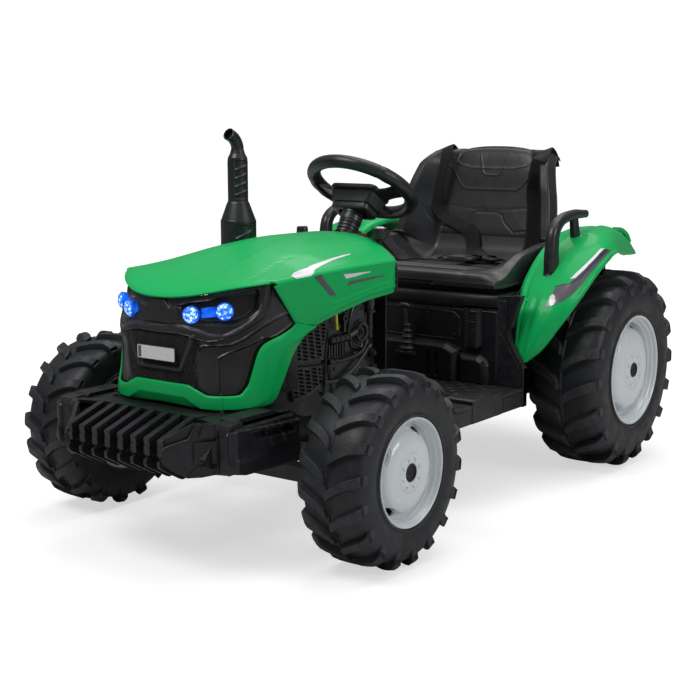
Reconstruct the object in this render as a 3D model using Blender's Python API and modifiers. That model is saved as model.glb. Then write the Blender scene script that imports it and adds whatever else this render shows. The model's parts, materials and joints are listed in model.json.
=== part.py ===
"""Kids electric ride-on farm tractor, as separate pieces in one frame.

Metres, +Z up. The front of the vehicle faces -Y and its left side faces +X.
Z = 0 is the ground under the four tyres.
"""

import math

import bmesh
import bpy
import numpy as np
from mathutils import Matrix, Vector

# ---------------------------------------------------------------- driving dimensions
GAP = 0.0003
NUT_BACK = 0.0168

FRONT_AXLE_Y = -0.380
REAR_AXLE_Y = 0.438
FRONT_R = 0.1615
REAR_R = 0.205
FRONT_W = 0.120
REAR_W = 0.1505
FRONT_OUT_X = 0.380
REAR_OUT_X = 0.392
FRONT_LIP_R = 0.091
REAR_LIP_R = 0.115

KINGPIN_X = 0.215
ARM_Y = -0.2227
TIE_Z0 = 0.1243
TIE_Z1 = 0.1303

WHEEL_C = Vector((0.0, 0.0072, 0.588))
COLUMN_TILT = math.radians(32.13)
COLUMN_N = Vector((0.0, math.sin(COLUMN_TILT), math.cos(COLUMN_TILT)))
COLUMN_E = Vector((0.0, math.cos(COLUMN_TILT), -math.sin(COLUMN_TILT)))
WHEEL_RING_R = 0.0993
WHEEL_TUBE_R = 0.0135
CRANK = 0.050
SHAFT_LEN = 0.4968

HOOD_X = 0.170
HOOD_T = 0.004
FLOOR_TOP = 0.200
FLOOR_BOTTOM = 0.163
SEAT_BOX_TOP = 0.378

# ---------------------------------------------------------------- scene and materials
for old in list(bpy.data.objects):
    bpy.data.objects.remove(old, do_unlink=True)

scene = bpy.context.scene
parts = bpy.data.collections.new("ride_on_tractor")
cutters = bpy.data.collections.new("cutters")
scene.collection.children.link(parts)
scene.collection.children.link(cutters)


def material(name, rgb, rough, metal=0.0, emit=None):
    made = bpy.data.materials.new(name)
    made.use_nodes = True
    shader = made.node_tree.nodes["Principled BSDF"]
    shader.inputs["Base Color"].default_value = (*rgb, 1.0)
    shader.inputs["Roughness"].default_value = rough
    shader.inputs["Metallic"].default_value = metal
    if emit:
        shader.inputs["Emission Color"].default_value = (*emit, 1.0)
        shader.inputs["Emission Strength"].default_value = 2.0
    made.diffuse_color = (*rgb, 1.0)
    return made


GREEN = material("green_gloss", (0.006, 0.352, 0.076), 0.22)
BLACK = material("black_plastic", (0.017, 0.017, 0.019), 0.45)
TYRE = material("tyre_plastic", (0.022, 0.022, 0.024), 0.7)
RIM = material("rim_plastic", (0.70, 0.73, 0.74), 0.3)
STEEL = material("painted_steel", (0.03, 0.03, 0.032), 0.5, 0.2)
ZINC = material("zinc_steel", (0.55, 0.56, 0.57), 0.35, 1.0)
SEAT = material("seat_plastic", (0.030, 0.031, 0.034), 0.5)
PAD = material("seat_leather", (0.026, 0.026, 0.029), 0.6)
WEB = material("webbing", (0.010, 0.010, 0.011), 0.85)
LENS = material("headlight_lens", (0.05, 0.25, 0.9), 0.1, 0.0, (0.03, 0.25, 1.0))
WHITE = material("plate_plastic", (0.72, 0.72, 0.70), 0.4)
YELLOW = material("dipstick_plastic", (0.75, 0.65, 0.05), 0.4)
SILVER = material("silver_plastic", (0.6, 0.6, 0.62), 0.25, 0.9)
MOTOR = material("motor_can", (0.40, 0.40, 0.42), 0.4, 1.0)
BATTERY = material("battery_case", (0.05, 0.05, 0.06), 0.5)


# ---------------------------------------------------------------- modelling helpers
def finish_mesh(obj, mat, cutter=False):
    (cutters if cutter else parts).objects.link(obj)
    obj.data.materials.clear()
    obj.data.materials.append(mat)
    if cutter:
        obj.hide_render = True
        obj.display_type = "WIRE"
    return obj


def smooth(obj, angle=35):
    obj.data.shade_smooth()
    obj.data.set_sharp_from_angle(angle=math.radians(angle))
    return obj


def box(name, lo, hi, mat, bevel=0.0, segments=1, cutter=False):
    lo, hi = Vector(lo), Vector(hi)
    mesh = bpy.data.meshes.new(name)
    bm = bmesh.new()
    bmesh.ops.create_cube(bm, size=1.0)
    size = hi - lo
    for v in bm.verts:
        v.co = Vector((v.co.x * size.x, v.co.y * size.y, v.co.z * size.z))
    bm.to_mesh(mesh)
    bm.free()
    obj = bpy.data.objects.new(name, mesh)
    obj.location = (lo + hi) / 2
    if bevel:
        mod = obj.modifiers.new("Bevel", "BEVEL")
        mod.width = bevel
        mod.segments = segments
    return finish_mesh(obj, mat, cutter)


def axis_matrix(p0, p1):
    d = (Vector(p1) - Vector(p0)).normalized()
    return Matrix.Translation(Vector(p0)) @ d.to_track_quat("Z", "Y").to_matrix().to_4x4()


def cyl(name, p0, p1, r, mat, seg=20, r2=None, cutter=False):
    """A cylinder or cone from p0 to p1, with its origin at p0."""
    length = (Vector(p1) - Vector(p0)).length
    mesh = bpy.data.meshes.new(name)
    bm = bmesh.new()
    bmesh.ops.create_cone(
        bm, cap_ends=True, segments=seg, radius1=r, radius2=r if r2 is None else r2, depth=length
    )
    bmesh.ops.translate(bm, verts=bm.verts, vec=(0, 0, length / 2))
    bm.to_mesh(mesh)
    bm.free()
    obj = bpy.data.objects.new(name, mesh)
    obj.matrix_world = axis_matrix(p0, p1)
    finish_mesh(obj, mat, cutter)
    return smooth(obj)


def turned(name, profile, matrix, mat, steps=32, closed=True, cutter=False):
    """A turned solid: (radius, height) points about local Z, with a Screw modifier."""
    mesh = bpy.data.meshes.new(name)
    bm = bmesh.new()
    verts = [bm.verts.new((r, 0.0, h)) for r, h in profile]
    for a, b in zip(verts, verts[1:]):
        bm.edges.new((a, b))
    if closed:
        bm.edges.new((verts[-1], verts[0]))
    bm.to_mesh(mesh)
    bm.free()
    obj = bpy.data.objects.new(name, mesh)
    obj.matrix_world = matrix
    mod = obj.modifiers.new("Screw", "SCREW")
    mod.steps = steps
    mod.render_steps = steps
    mod.use_merge_vertices = True
    mod.merge_threshold = 0.00001
    mod.use_smooth_shade = True
    return finish_mesh(obj, mat, cutter)


def to_mesh_object(obj, mat, cutter=False):
    """Replaces a curve object by its evaluated mesh with the caps welded."""
    bpy.context.view_layer.update()
    graph = bpy.context.evaluated_depsgraph_get()
    mesh = bpy.data.meshes.new_from_object(obj.evaluated_get(graph))
    bm = bmesh.new()
    bm.from_mesh(mesh)
    bmesh.ops.remove_doubles(bm, verts=bm.verts, dist=0.00001)
    bmesh.ops.recalc_face_normals(bm, faces=bm.faces)
    bm.to_mesh(mesh)
    bm.free()
    made = bpy.data.objects.new(obj.name + "_mesh", mesh)
    made.matrix_world = obj.matrix_world.copy()
    name = obj.name
    data = obj.data
    bpy.data.objects.remove(obj, do_unlink=True)
    bpy.data.curves.remove(data)
    made.name = name
    made.data.name = name
    return finish_mesh(made, mat, cutter)


def plate(name, outline, plane, lo, hi, mat, cutter=False, bevel=0.0):
    """A flat outline, extruded from lo to hi along the normal of its plane (X, Y or Z)."""
    curve = bpy.data.curves.new(name, "CURVE")
    curve.dimensions = "2D"
    curve.fill_mode = "BOTH"
    curve.extrude = (hi - lo) / 2
    spline = curve.splines.new("POLY")
    spline.points.add(len(outline) - 1)
    for point, (u, v) in zip(spline.points, outline):
        point.co = (u, v, 0.0, 1.0)
    spline.use_cyclic_u = True
    obj = bpy.data.objects.new(name, curve)
    mid = (lo + hi) / 2
    if plane == "X":  # outline in (Y, Z)
        obj.matrix_world = Matrix(((0, 0, 1, mid), (1, 0, 0, 0), (0, 1, 0, 0), (0, 0, 0, 1)))
    elif plane == "Y":  # outline in (X, Z)
        obj.matrix_world = Matrix(((1, 0, 0, 0), (0, 0, -1, mid), (0, 1, 0, 0), (0, 0, 0, 1)))
    else:
        obj.matrix_world = Matrix.Translation((0, 0, mid))
    parts.objects.link(obj)
    made = to_mesh_object(obj, mat, cutter)
    if bevel:
        mod = made.modifiers.new("Bevel", "BEVEL")
        mod.width = bevel
        mod.segments = 1
    return made


def spline_points(points, per=4):
    """A smooth open curve through the points (Catmull-Rom), several points for each span."""
    pts = [Vector(p) for p in points]
    ext = [pts[0] * 2 - pts[1]] + pts + [pts[-1] * 2 - pts[-2]]
    out = []
    for i in range(1, len(ext) - 2):
        a, b, c, d = ext[i - 1 : i + 3]
        for k in range(per):
            t = k / per
            out.append(
                0.5
                * (
                    2 * b
                    + (c - a) * t
                    + (2 * a - 5 * b + 4 * c - d) * t * t
                    + (3 * b - a - 3 * c + d) * t**3
                )
            )
    out.append(pts[-1])
    return out


def tube(name, points, r, mat, resolution=2, cutter=False, as_mesh=True, flat=1.0, tilt=0.0):
    curve = bpy.data.curves.new(name, "CURVE")
    curve.dimensions = "3D"
    curve.bevel_depth = r
    curve.bevel_resolution = resolution
    curve.use_fill_caps = True
    spline = curve.splines.new("POLY")
    spline.points.add(len(points) - 1)
    for point, co in zip(spline.points, points):
        point.co = (*co, 1.0)
        point.tilt = tilt
    obj = bpy.data.objects.new(name, curve)
    parts.objects.link(obj)
    return smooth(to_mesh_object(obj, mat, cutter)) if as_mesh else obj


def sheet(name, rows, thickness, mat, offset=-1.0, cutter=False, even=True, angle=35, flip=False):
    """An open surface through rows of points, thickened with Solidify."""
    mesh = bpy.data.meshes.new(name)
    bm = bmesh.new()
    if flip:
        rows = list(reversed(rows))
    grid = [[bm.verts.new(p) for p in row] for row in rows]
    for a, b in zip(grid, grid[1:]):
        for i in range(len(a) - 1):
            bm.faces.new((a[i], a[i + 1], b[i + 1], b[i]))
    bm.to_mesh(mesh)
    bm.free()
    obj = bpy.data.objects.new(name, mesh)
    mod = obj.modifiers.new("Solidify", "SOLIDIFY")
    mod.thickness = thickness
    mod.offset = offset
    mod.use_even_offset = even
    finish_mesh(obj, mat, cutter)
    return smooth(obj, angle)


def loft(name, loops, mat, cutter=False, angle=35):
    """A closed solid through unlike closed sections, all with one number of points."""
    mesh = bpy.data.meshes.new(name)
    bm = bmesh.new()
    rings = [[bm.verts.new(p) for p in loop] for loop in loops]
    n = len(rings[0])
    for a, b in zip(rings, rings[1:]):
        for i in range(n):
            j = (i + 1) % n
            bm.faces.new((a[i], a[j], b[j], b[i]))
    bm.faces.new(list(reversed(rings[0])))
    bm.faces.new(rings[-1])
    bmesh.ops.recalc_face_normals(bm, faces=bm.faces)
    bm.to_mesh(mesh)
    bm.free()
    obj = bpy.data.objects.new(name, mesh)
    finish_mesh(obj, mat, cutter)
    return smooth(obj, angle)


def swept(name, points, sizes, mat, n=10):
    """A bar along points in a plane of constant X; sizes are (width along X, height across it)."""
    loops = []
    for i, p in enumerate(points):
        a, b = points[max(0, i - 1)], points[min(len(points) - 1, i + 1)]
        d = (b - a).normalized()
        up = d.cross(Vector((1, 0, 0))).normalized()
        f = i / (len(points) - 1) * (len(sizes) - 1)
        k = min(len(sizes) - 2, int(f))
        w, h = (sizes[k][j] + (sizes[k + 1][j] - sizes[k][j]) * (f - k) for j in (0, 1))
        loop = []
        for m in range(n):
            t = 2 * math.pi * (m + 0.5) / n
            loop.append(p + Vector((1, 0, 0)) * (w / 2 * math.cos(t)) + up * (h / 2 * math.sin(t)))
        loops.append(loop)
    return loft(name, loops, mat)


def slab(name, rows, bottom, mat, cutter=False):
    """A closed solid between a grid of surface points and a flat bottom."""
    mesh = bpy.data.meshes.new(name)
    bm = bmesh.new()
    top = [[bm.verts.new(p) for p in row] for row in rows]
    low = [[bm.verts.new((p[0], p[1], bottom)) for p in row] for row in rows]
    for grid in (top, low):
        for a, b in zip(grid, grid[1:]):
            for i in range(len(a) - 1):
                bm.faces.new((a[i], a[i + 1], b[i + 1], b[i]))
    rim = lambda g: g[0] + [r[-1] for r in g[1:]] + list(reversed(g[-1][:-1])) + [r[0] for r in reversed(g[1:-1])]
    a, b = rim(top), rim(low)
    for i in range(len(a)):
        j = (i + 1) % len(a)
        bm.faces.new((a[i], a[j], b[j], b[i]))
    bmesh.ops.recalc_face_normals(bm, faces=bm.faces)
    bm.to_mesh(mesh)
    bm.free()
    return finish_mesh(bpy.data.objects.new(name, mesh), mat, cutter)


def demote(obj):
    """Turns a piece into a hidden helper of another piece."""
    for col in list(obj.users_collection):
        col.objects.unlink(obj)
    cutters.objects.link(obj)
    obj.hide_render = True
    obj.display_type = "WIRE"
    return obj


def boolean(obj, other, operation):
    demote(other)
    mod = obj.modifiers.new(operation.title(), "BOOLEAN")
    mod.operation = operation
    mod.object = other
    mod.solver = "EXACT"
    return obj


def join(obj, *others):
    for other in others:
        boolean(obj, other, "UNION")
    return obj


def cut(obj, *others):
    for other in others:
        boolean(obj, other, "DIFFERENCE")
    return obj


def mirrored(points):
    return [(-x, y, z) for x, y, z in points]


# ---------------------------------------------------------------- body surfaces
CROWN_Y = (-0.566, -0.5, -0.4, -0.3, -0.2, -0.1, -0.04)
CROWN_Z = (0.440, 0.4632, 0.4855, 0.5034, 0.5102, 0.5093, 0.508)


def crown_z(y):
    return float(np.interp(y, CROWN_Y, CROWN_Z))


def shoulder_z(y):
    return float(np.interp(y, (-0.566, -0.465, -0.123, -0.04), (0.440, 0.4625, 0.466, 0.466)))


def hood_top_z(x, y):
    """Height of the bonnet's outer surface."""
    rise = crown_z(y) - shoulder_z(y)
    return shoulder_z(y) + rise * (1 - min(1.0, abs(x) / HOOD_X) ** 2.5)


def hood_front_y(x):
    return -0.566 + 0.100 * (abs(x) / 0.165) ** 2.2


def hood_rear_y(x):
    return -0.085 - 0.038 * (x / HOOD_X) ** 2


def nose_y(x, z):
    """Front surface of the nose, between the bonnet's lip and the bottom trim."""
    t = min(1.0, max(0.0, (z - 0.26) / 0.18))
    power = 5.0 + (2.2 - 5.0) * t
    centre = float(np.interp(z, (0.24, 0.27, 0.33, 0.38, 0.44), (-0.545, -0.552, -0.560, -0.562, -0.558)))
    reach = float(np.interp(z, (0.26, 0.44), (0.085, 0.100)))
    return centre + reach * (abs(x) / 0.165) ** power


# ---------------------------------------------------------------- chassis
frame = box("chassis_frame", (0.085, -0.50, 0.140), (0.105, 0.60, 0.162), STEEL)
rail_r = box("rail_right", (-0.105, -0.50, 0.140), (-0.085, 0.60, 0.162), STEEL)
bar_front = box("bar_front", (-0.10, -0.50, 0.1405), (0.10, -0.478, 0.1615), STEEL)
bar_mid = box("bar_mid", (-0.10, -0.10, 0.1405), (0.10, -0.075, 0.1615), STEEL)
bar_seat = box("bar_seat", (-0.10, 0.17, 0.1405), (0.10, 0.195, 0.1615), STEEL)
bar_rear = box("bar_rear", (-0.10, 0.578, 0.1405), (0.10, 0.5995, 0.1615), STEEL)
bracket = box("bracket", (-0.104, -0.268, 0.180), (0.104, -0.222, 0.184), STEEL)
bracket_l = box("bracket_l", (0.096, -0.267, 0.150), (0.1035, -0.223, 0.183), STEEL)
bracket_r = box("bracket_r", (-0.1035, -0.267, 0.150), (-0.096, -0.223, 0.183), STEEL)
tab_l = box("tab_l", (0.0865, 0.413, 0.150), (0.1035, 0.463, 0.226), STEEL)
tab_r = box("tab_r", (-0.1035, 0.413, 0.150), (-0.0865, 0.463, 0.226), STEEL)
pad_front = box("pad_front", (-0.120, -0.499, 0.1605), (0.120, -0.4560, 0.1697), STEEL)
join(frame, pad_front, rail_r, bar_front, bar_mid, bar_seat, bar_rear, bracket, bracket_l, bracket_r, tab_l, tab_r)
cut(
    frame,
    cyl("cut_axle", (-0.13, REAR_AXLE_Y, REAR_R), (0.13, REAR_AXLE_Y, REAR_R), 0.0076, STEEL, 24, cutter=True),
    cyl(
        "cut_shaft",
        WHEEL_C - COLUMN_N * 0.44,
        WHEEL_C - COLUMN_N * 0.52,
        0.0068,
        STEEL,
        24,
        cutter=True,
    ),
)

# Front axle: a bar with a fork at each end for the knuckles.
beam = box("front_axle_beam", (-0.187, -0.395, 0.1135), (0.187, -0.365, 0.1395), STEEL)
extra = []
for s, side in ((1, "l"), (-1, "r")):
    x0, x1 = sorted((s * 0.1795, s * 0.1875))
    extra.append(box("web_" + side, (x0, -0.3955, 0.1133), (x1, -0.3645, 0.2035), STEEL))
    x0, x1 = sorted((s * 0.1805, s * 0.2320))
    extra.append(box("fork_up_" + side, (x0, -0.3945, 0.1975), (x1, -0.3655, 0.2033), STEEL))
    extra.append(box("fork_low_" + side, (x0, -0.3945, 0.1137), (x1, -0.3655, 0.1235), STEEL))
join(beam, *extra)
for s, side in ((1, "l"), (-1, "r")):
    cut(
        beam,
        cyl(
            "cut_pin_" + side,
            (s * KINGPIN_X, FRONT_AXLE_Y, 0.10),
            (s * KINGPIN_X, FRONT_AXLE_Y, 0.22),
            0.0076,
            STEEL,
            24,
            cutter=True,
        ),
    )


def knuckle(side, s):
    """Kingpin block, pin, stub axle and rearward steering arm, with its origin on the kingpin."""
    x = s * KINGPIN_X
    name = "knuckle_" + side
    base = cyl(name, (x, FRONT_AXLE_Y, 0.1245), (x, FRONT_AXLE_Y, 0.1965), 0.0140, ZINC, 20)
    pin = cyl(name + "_pin", (x, FRONT_AXLE_Y, 0.1080), (x, FRONT_AXLE_Y, 0.2090), 0.0070, ZINC, 20)
    stub = cyl(
        name + "_stub",
        (x, FRONT_AXLE_Y, FRONT_R),
        (s * (FRONT_OUT_X - 0.012), FRONT_AXLE_Y, FRONT_R),
        0.0060,
        ZINC,
        20,
    )
    shoulder = cyl(
        name + "_shoulder", (x, FRONT_AXLE_Y, FRONT_R), (s * 0.2580, FRONT_AXLE_Y, FRONT_R), 0.0095, ZINC, 20
    )
    arm = plate(
        name + "_arm",
        [
            (x - 0.011, FRONT_AXLE_Y),
            (x + 0.011, FRONT_AXLE_Y),
            (x + 0.0085, ARM_Y + 0.004),
            (x + 0.0045, ARM_Y + 0.0095),
            (x - 0.0045, ARM_Y + 0.0095),
            (x - 0.0085, ARM_Y + 0.004),
        ],
        "Z",
        0.1310,
        0.1370,
        ZINC,
    )
    ball = cyl(name + "_ball", (x, ARM_Y, 0.1180), (x, ARM_Y, 0.1330), 0.0050, ZINC, 16)
    # The nut in the hollow of the hub.
    nut_x = FRONT_OUT_X - NUT_BACK
    nut = cyl(name + "_nut", (s * nut_x, FRONT_AXLE_Y, FRONT_R), (s * (nut_x + 0.0080), FRONT_AXLE_Y, FRONT_R), 0.0120, ZINC, 6)
    return join(base, pin, stub, shoulder, arm, ball, nut)


knuckle("left", 1)
knuckle("right", -1)

# Tie rod: a flat bar with an eye at each end and a slotted plate for the crank pin.
tie = box("tie_rod", (-0.2125, ARM_Y - 0.0062, TIE_Z0), (0.2125, ARM_Y + 0.0062, TIE_Z1), ZINC)
slot_plate = box("tie_plate", (-0.0150, -0.2535, TIE_Z0 + 0.0002), (0.0150, -0.2020, TIE_Z1 - 0.0002), ZINC)
eye_l = cyl("eye_l", (KINGPIN_X, ARM_Y, TIE_Z0 + 0.0001), (KINGPIN_X, ARM_Y, TIE_Z1 - 0.0001), 0.0105, ZINC, 20)
eye_r = cyl("eye_r", (-KINGPIN_X, ARM_Y, TIE_Z0 + 0.0001), (-KINGPIN_X, ARM_Y, TIE_Z1 - 0.0001), 0.0105, ZINC, 20)
join(tie, slot_plate, eye_l, eye_r)
cut(
    tie,
    cyl("cut_eye_l", (KINGPIN_X, ARM_Y, 0.11), (KINGPIN_X, ARM_Y, 0.14), 0.0056, ZINC, 20, cutter=True),
    cyl("cut_eye_r", (-KINGPIN_X, ARM_Y, 0.11), (-KINGPIN_X, ARM_Y, 0.14), 0.0056, ZINC, 20, cutter=True),
    box("cut_slot", (-0.0068, -0.2450, 0.11), (0.0068, -0.2105, 0.14), ZINC, cutter=True),
)

# Steering shaft: a round rod, cranked at its lower end.
B = WHEEL_C - COLUMN_N * SHAFT_LEN
tip = B + COLUMN_E * CRANK
shaft_pts = [WHEEL_C - COLUMN_N * 0.0525, WHEEL_C - COLUMN_N * 0.20]
bend = 0.010
shaft_pts += [B + COLUMN_N * bend, B + COLUMN_N * (bend * 0.29) + COLUMN_E * (bend * 0.29), B + COLUMN_E * bend]
shaft_pts += [tip - COLUMN_E * bend, tip - COLUMN_E * (bend * 0.29) - COLUMN_N * (bend * 0.29), tip - COLUMN_N * bend]
shaft_pts += [tip - COLUMN_N * 0.030]
tube("steering_shaft", shaft_pts, 0.0055, ZINC, 3)

# ---------------------------------------------------------------- wheels
CROWN = ((0.0, 0.80), (0.03, 0.90), (0.13, 0.967), (0.33, 0.995), (0.67, 0.995), (0.87, 0.967), (0.97, 0.90), (1.0, 0.80))
CROWN_IN = ((0.96, 0.78), (0.86, 0.93), (0.50, 0.965), (0.14, 0.93), (0.04, 0.78))


def wheel(end, side, s, out_x, y, radius, width, lip, bore, dished, hub_reach):
    """Tyre and rim, both turned about the axle; local +Z points outwards along the axle."""
    centre = Vector((s * (out_x - width / 2), y, radius))
    place = axis_matrix(centre, centre + Vector((s, 0, 0)))
    half = width / 2
    top = max(r for _, r in CROWN)
    outer = [(radius * r / top, half - width * f) for f, r in CROWN]
    inner = [(radius * r, half - width * f) for f, r in CROWN_IN]
    bead = lip + 0.0005
    tyre = [(bead, half)] + outer + [(bead, -half), (bead, -half + 0.006)] + inner + [(bead, half - 0.006)]
    turned(f"{end}_tyre_{side}", tyre, place, TYRE, 28)
    k = lip / 0.091
    face = half - 0.0015
    hub_back = half - hub_reach
    rim = [
        (0.0855 * k, face),
        (0.0895 * k, face),
        (lip, face - 0.004),
        (lip, -half + 0.003),
        (0.0865 * k, -half + 0.003),
        (0.0855 * k, face - dished - 0.012),
        (0.0680 * k, face - dished * 0.62 - 0.006),
        (0.0300 * k, face - dished * 0.45 - 0.006),
        (0.0270 * k, hub_back),
        (bore, hub_back),
        (bore, face - 0.020),
        (0.0200 * k, face - 0.0165),
        (0.0270 * k, face - dished * 0.45),
        (0.0660 * k, face - dished * 0.62),
        (0.0790 * k, face - dished),
        (0.0835 * k, face - 0.010),
    ]
    turned(f"{end}_rim_{side}", rim, place, RIM, 28)
    return centre


for side, s in (("left", 1), ("right", -1)):
    wheel("front", side, s, FRONT_OUT_X, FRONT_AXLE_Y, FRONT_R, FRONT_W, FRONT_LIP_R, 0.0065, 0.022, 0.0560)
    wheel("rear", side, s, REAR_OUT_X, REAR_AXLE_Y, REAR_R, REAR_W, REAR_LIP_R, 0.0076, 0.030, REAR_OUT_X - 0.2310)
    # Gearbox: a flat housing that carries the motor in front of the axle.
    gear_outline = []
    for k in range(11):
        a = math.radians(-115 + 23 * k)
        gear_outline.append((REAR_AXLE_Y + 0.052 * math.cos(a), REAR_R + 0.052 * math.sin(a)))
    for k in range(7):
        a = math.radians(110 + 23.5 * k)
        gear_outline.append((REAR_AXLE_Y - 0.055 + 0.030 * math.cos(a), REAR_R + 0.012 + 0.030 * math.sin(a)))
    x0, x1 = sorted((s * 0.1880, s * 0.2305))
    gearbox = plate(f"gearbox_{side}", gear_outline, "X", x0, x1, BLACK)
    cut(
        gearbox,
        cyl(
            f"cut_gearbox_{side}",
            (s * 0.17, REAR_AXLE_Y, REAR_R),
            (s * 0.25, REAR_AXLE_Y, REAR_R),
            0.0074,
            BLACK,
            24,
            cutter=True,
        ),
    )
    cyl(
        f"motor_{side}",
        (s * 0.1877, REAR_AXLE_Y - 0.055, REAR_R + 0.012),
        (s * 0.1180, REAR_AXLE_Y - 0.055, REAR_R + 0.012),
        0.0185,
        MOTOR,
        20,
    )

axle = cyl("rear_axle", (-REAR_OUT_X + 0.012, REAR_AXLE_Y, REAR_R), (REAR_OUT_X - 0.012, REAR_AXLE_Y, REAR_R), 0.0070, ZINC, 24)
for s in (1, -1):
    nut_x = REAR_OUT_X - NUT_BACK
    join(axle, cyl("rear_nut_%d" % s, (s * nut_x, REAR_AXLE_Y, REAR_R), (s * (nut_x + 0.0085), REAR_AXLE_Y, REAR_R), 0.0140, ZINC, 6))

# ---------------------------------------------------------------- floor, seat box, knee panel
floor = box("floor_pan", (-0.285, -0.150, FLOOR_BOTTOM), (0.285, 0.1497, FLOOR_TOP), BLACK, 0.006)
cut(floor, box("cut_floor", (-0.279, -0.144, 0.10), (0.279, 0.1437, 0.194), BLACK, cutter=True))
for s in (1, -1):
    x0, x1 = sorted((s * 0.225, s * 0.2845))
    join(floor, box("step_%d" % s, (x0, 0.000, 0.180), (x1, 0.100, 0.2065), BLACK, 0.002))
    x0, x1 = sorted((s * 0.231, s * 0.2785))
    cut(floor, box("step_cut_%d" % s, (x0, 0.006, 0.12), (x1, 0.094, 0.2005), BLACK, cutter=True))

seat_box = box("seat_box", (-0.2255, 0.150, 0.140), (0.2255, 0.352, SEAT_BOX_TOP), BLACK, 0.010, 2)
cut(seat_box, box("cut_seat_box", (-0.2210, 0.1545, 0.10), (0.2210, 0.3475, 0.3735), BLACK, cutter=True))
cut(seat_box, box("cut_seat_foot", (-0.30, 0.10, 0.10), (0.30, 0.40, FLOOR_BOTTOM), BLACK, cutter=True))
join(seat_box, box("seat_plinth", (-0.19, 0.172, 0.372), (0.19, 0.340, 0.3905), BLACK, 0.004))

knee = plate(
    "knee_panel",
    [(-0.160, FLOOR_TOP + GAP), (0.160, FLOOR_TOP + GAP), (0.160, 0.400), (0.150, 0.425), (-0.150, 0.425), (-0.160, 0.400)],
    "Y",
    -0.1435,
    -0.1375,
    BLACK,
)
cut(knee, cyl("cut_knee", WHEEL_C - COLUMN_N * 0.20, WHEEL_C - COLUMN_N * 0.34, 0.012, BLACK, 20, cutter=True))

# Wheel-arch walls: a side wall inside each rear wheel and a wing in front of it.
for side, s in (("left", 1), ("right", -1)):
    x0, x1 = sorted((s * 0.2262, s * 0.2290))
    arch = plate(
        f"wheel_arch_{side}",
        [
            (0.1515, FLOOR_BOTTOM),
            (0.590, FLOOR_BOTTOM),
            (0.625, 0.300),
            (0.625, 0.425),
            (0.560, 0.450),
            (0.480, 0.466),
            (0.400, 0.466),
            (0.330, 0.446),
            (0.262, 0.404),
            (0.220, 0.370),
            (0.1515, 0.370),
        ],
        "X",
        x0,
        x1,
        BLACK,
    )
    x_in, x_out = s * 0.2264, s * 0.2850
    wing = plate(
        f"wing_{side}",
        [
            (x_in, FLOOR_BOTTOM + 0.0002),
            (x_out, FLOOR_BOTTOM + 0.0002),
            (x_out, 0.240),
            (s * 0.268, 0.262),
            (s * 0.248, 0.290),
            (s * 0.242, 0.340),
            (s * 0.2330, 0.369),
            (x_in, 0.369),
        ],
        "Y",
        0.1517,
        0.1657,
        BLACK,
    )
    hole = cyl(
        f"cut_arch_{side}",
        (s * 0.19, REAR_AXLE_Y, REAR_R),
        (s * 0.26, REAR_AXLE_Y, REAR_R),
        0.0600,
        BLACK,
        32,
        cutter=True,
    )
    hole_2 = cyl(
        f"cut_arch_b_{side}",
        (s * 0.19, REAR_AXLE_Y - 0.055, REAR_R + 0.012),
        (s * 0.26, REAR_AXLE_Y - 0.055, REAR_R + 0.012),
        0.0360,
        BLACK,
        24,
        cutter=True,
    )
    join(arch, wing)
    cut(arch, hole, hole_2)

rear_panel = box("rear_panel", (-0.2256, 0.592, FLOOR_BOTTOM), (0.2256, 0.600, 0.452), BLACK, 0.002)
join(rear_panel, box("rear_deck", (-0.2254, 0.4640, 0.4460), (0.2254, 0.5990, 0.4518), BLACK, 0.0015))
hitch = box("rear_hitch", (-0.060, 0.6003, 0.155), (0.060, 0.608, 0.235), STEEL, 0.002)
join(
    hitch,
    box("hitch_tongue", (-0.030, 0.604, 0.185), (0.030, 0.6715, 0.195), STEEL, 0.0015),
    box("hitch_rib", (-0.003, 0.604, 0.160), (0.003, 0.640, 0.190), STEEL),
)
cut(hitch, cyl("cut_hitch", (0, 0.652, 0.17), (0, 0.652, 0.21), 0.0075, STEEL, 20, cutter=True))

# ---------------------------------------------------------------- battery, control box, pedal
box("battery", (-0.088, 0.200, 0.1626), (0.088, 0.300, 0.265), BATTERY, 0.003)
box("control_box", (0.110, 0.1549, 0.230), (0.200, 0.205, 0.330), BLACK, 0.004)

pedal_y, pedal_z = -0.118, 0.2080
pedal = plate(
    "accelerator_pedal",
    [
        (-0.1180, 0.2040),
        (-0.1145, 0.2035),
        (-0.0420, 0.2330),
        (-0.0405, 0.2365),
        (-0.0430, 0.2385),
        (-0.1190, 0.2125),
        (-0.1220, 0.2085),
    ],
    "X",
    -0.150,
    -0.088,
    BLACK,
)
pedal.name = "accelerator_pedal"
join(
    floor,
    box("pedal_back", (-0.162, -0.1310, 0.1950), (-0.076, -0.1262, 0.216), BLACK),
    box("pedal_ear_a", (-0.162, -0.1295, 0.1955), (-0.1565, -0.106, 0.2155), BLACK),
    box("pedal_ear_b", (-0.0815, -0.1295, 0.1955), (-0.076, -0.106, 0.2155), BLACK),
)
cut(floor, cyl("cut_pedal", (-0.1606, pedal_y, pedal_z), (-0.0774, pedal_y, pedal_z), 0.0042, BLACK, 16, cutter=True))
join(pedal, cyl("pedal_pin", (-0.1600, pedal_y, pedal_z), (-0.0780, pedal_y, pedal_z), 0.0036, BLACK, 12))

# ---------------------------------------------------------------- bonnet and nose
SIDE_LOW = (
    (-0.478, 0.250),
    (-0.470, 0.264),
    (-0.452, 0.293),
    (-0.422, 0.339),
    (-0.401, 0.365),
    (-0.350, 0.380),
    (-0.295, 0.391),
    (-0.211, 0.404),
    (-0.122, 0.410),
)


def side_low_z(y):
    return float(np.interp(y, [p[0] for p in SIDE_LOW], [p[1] for p in SIDE_LOW]))


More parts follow.
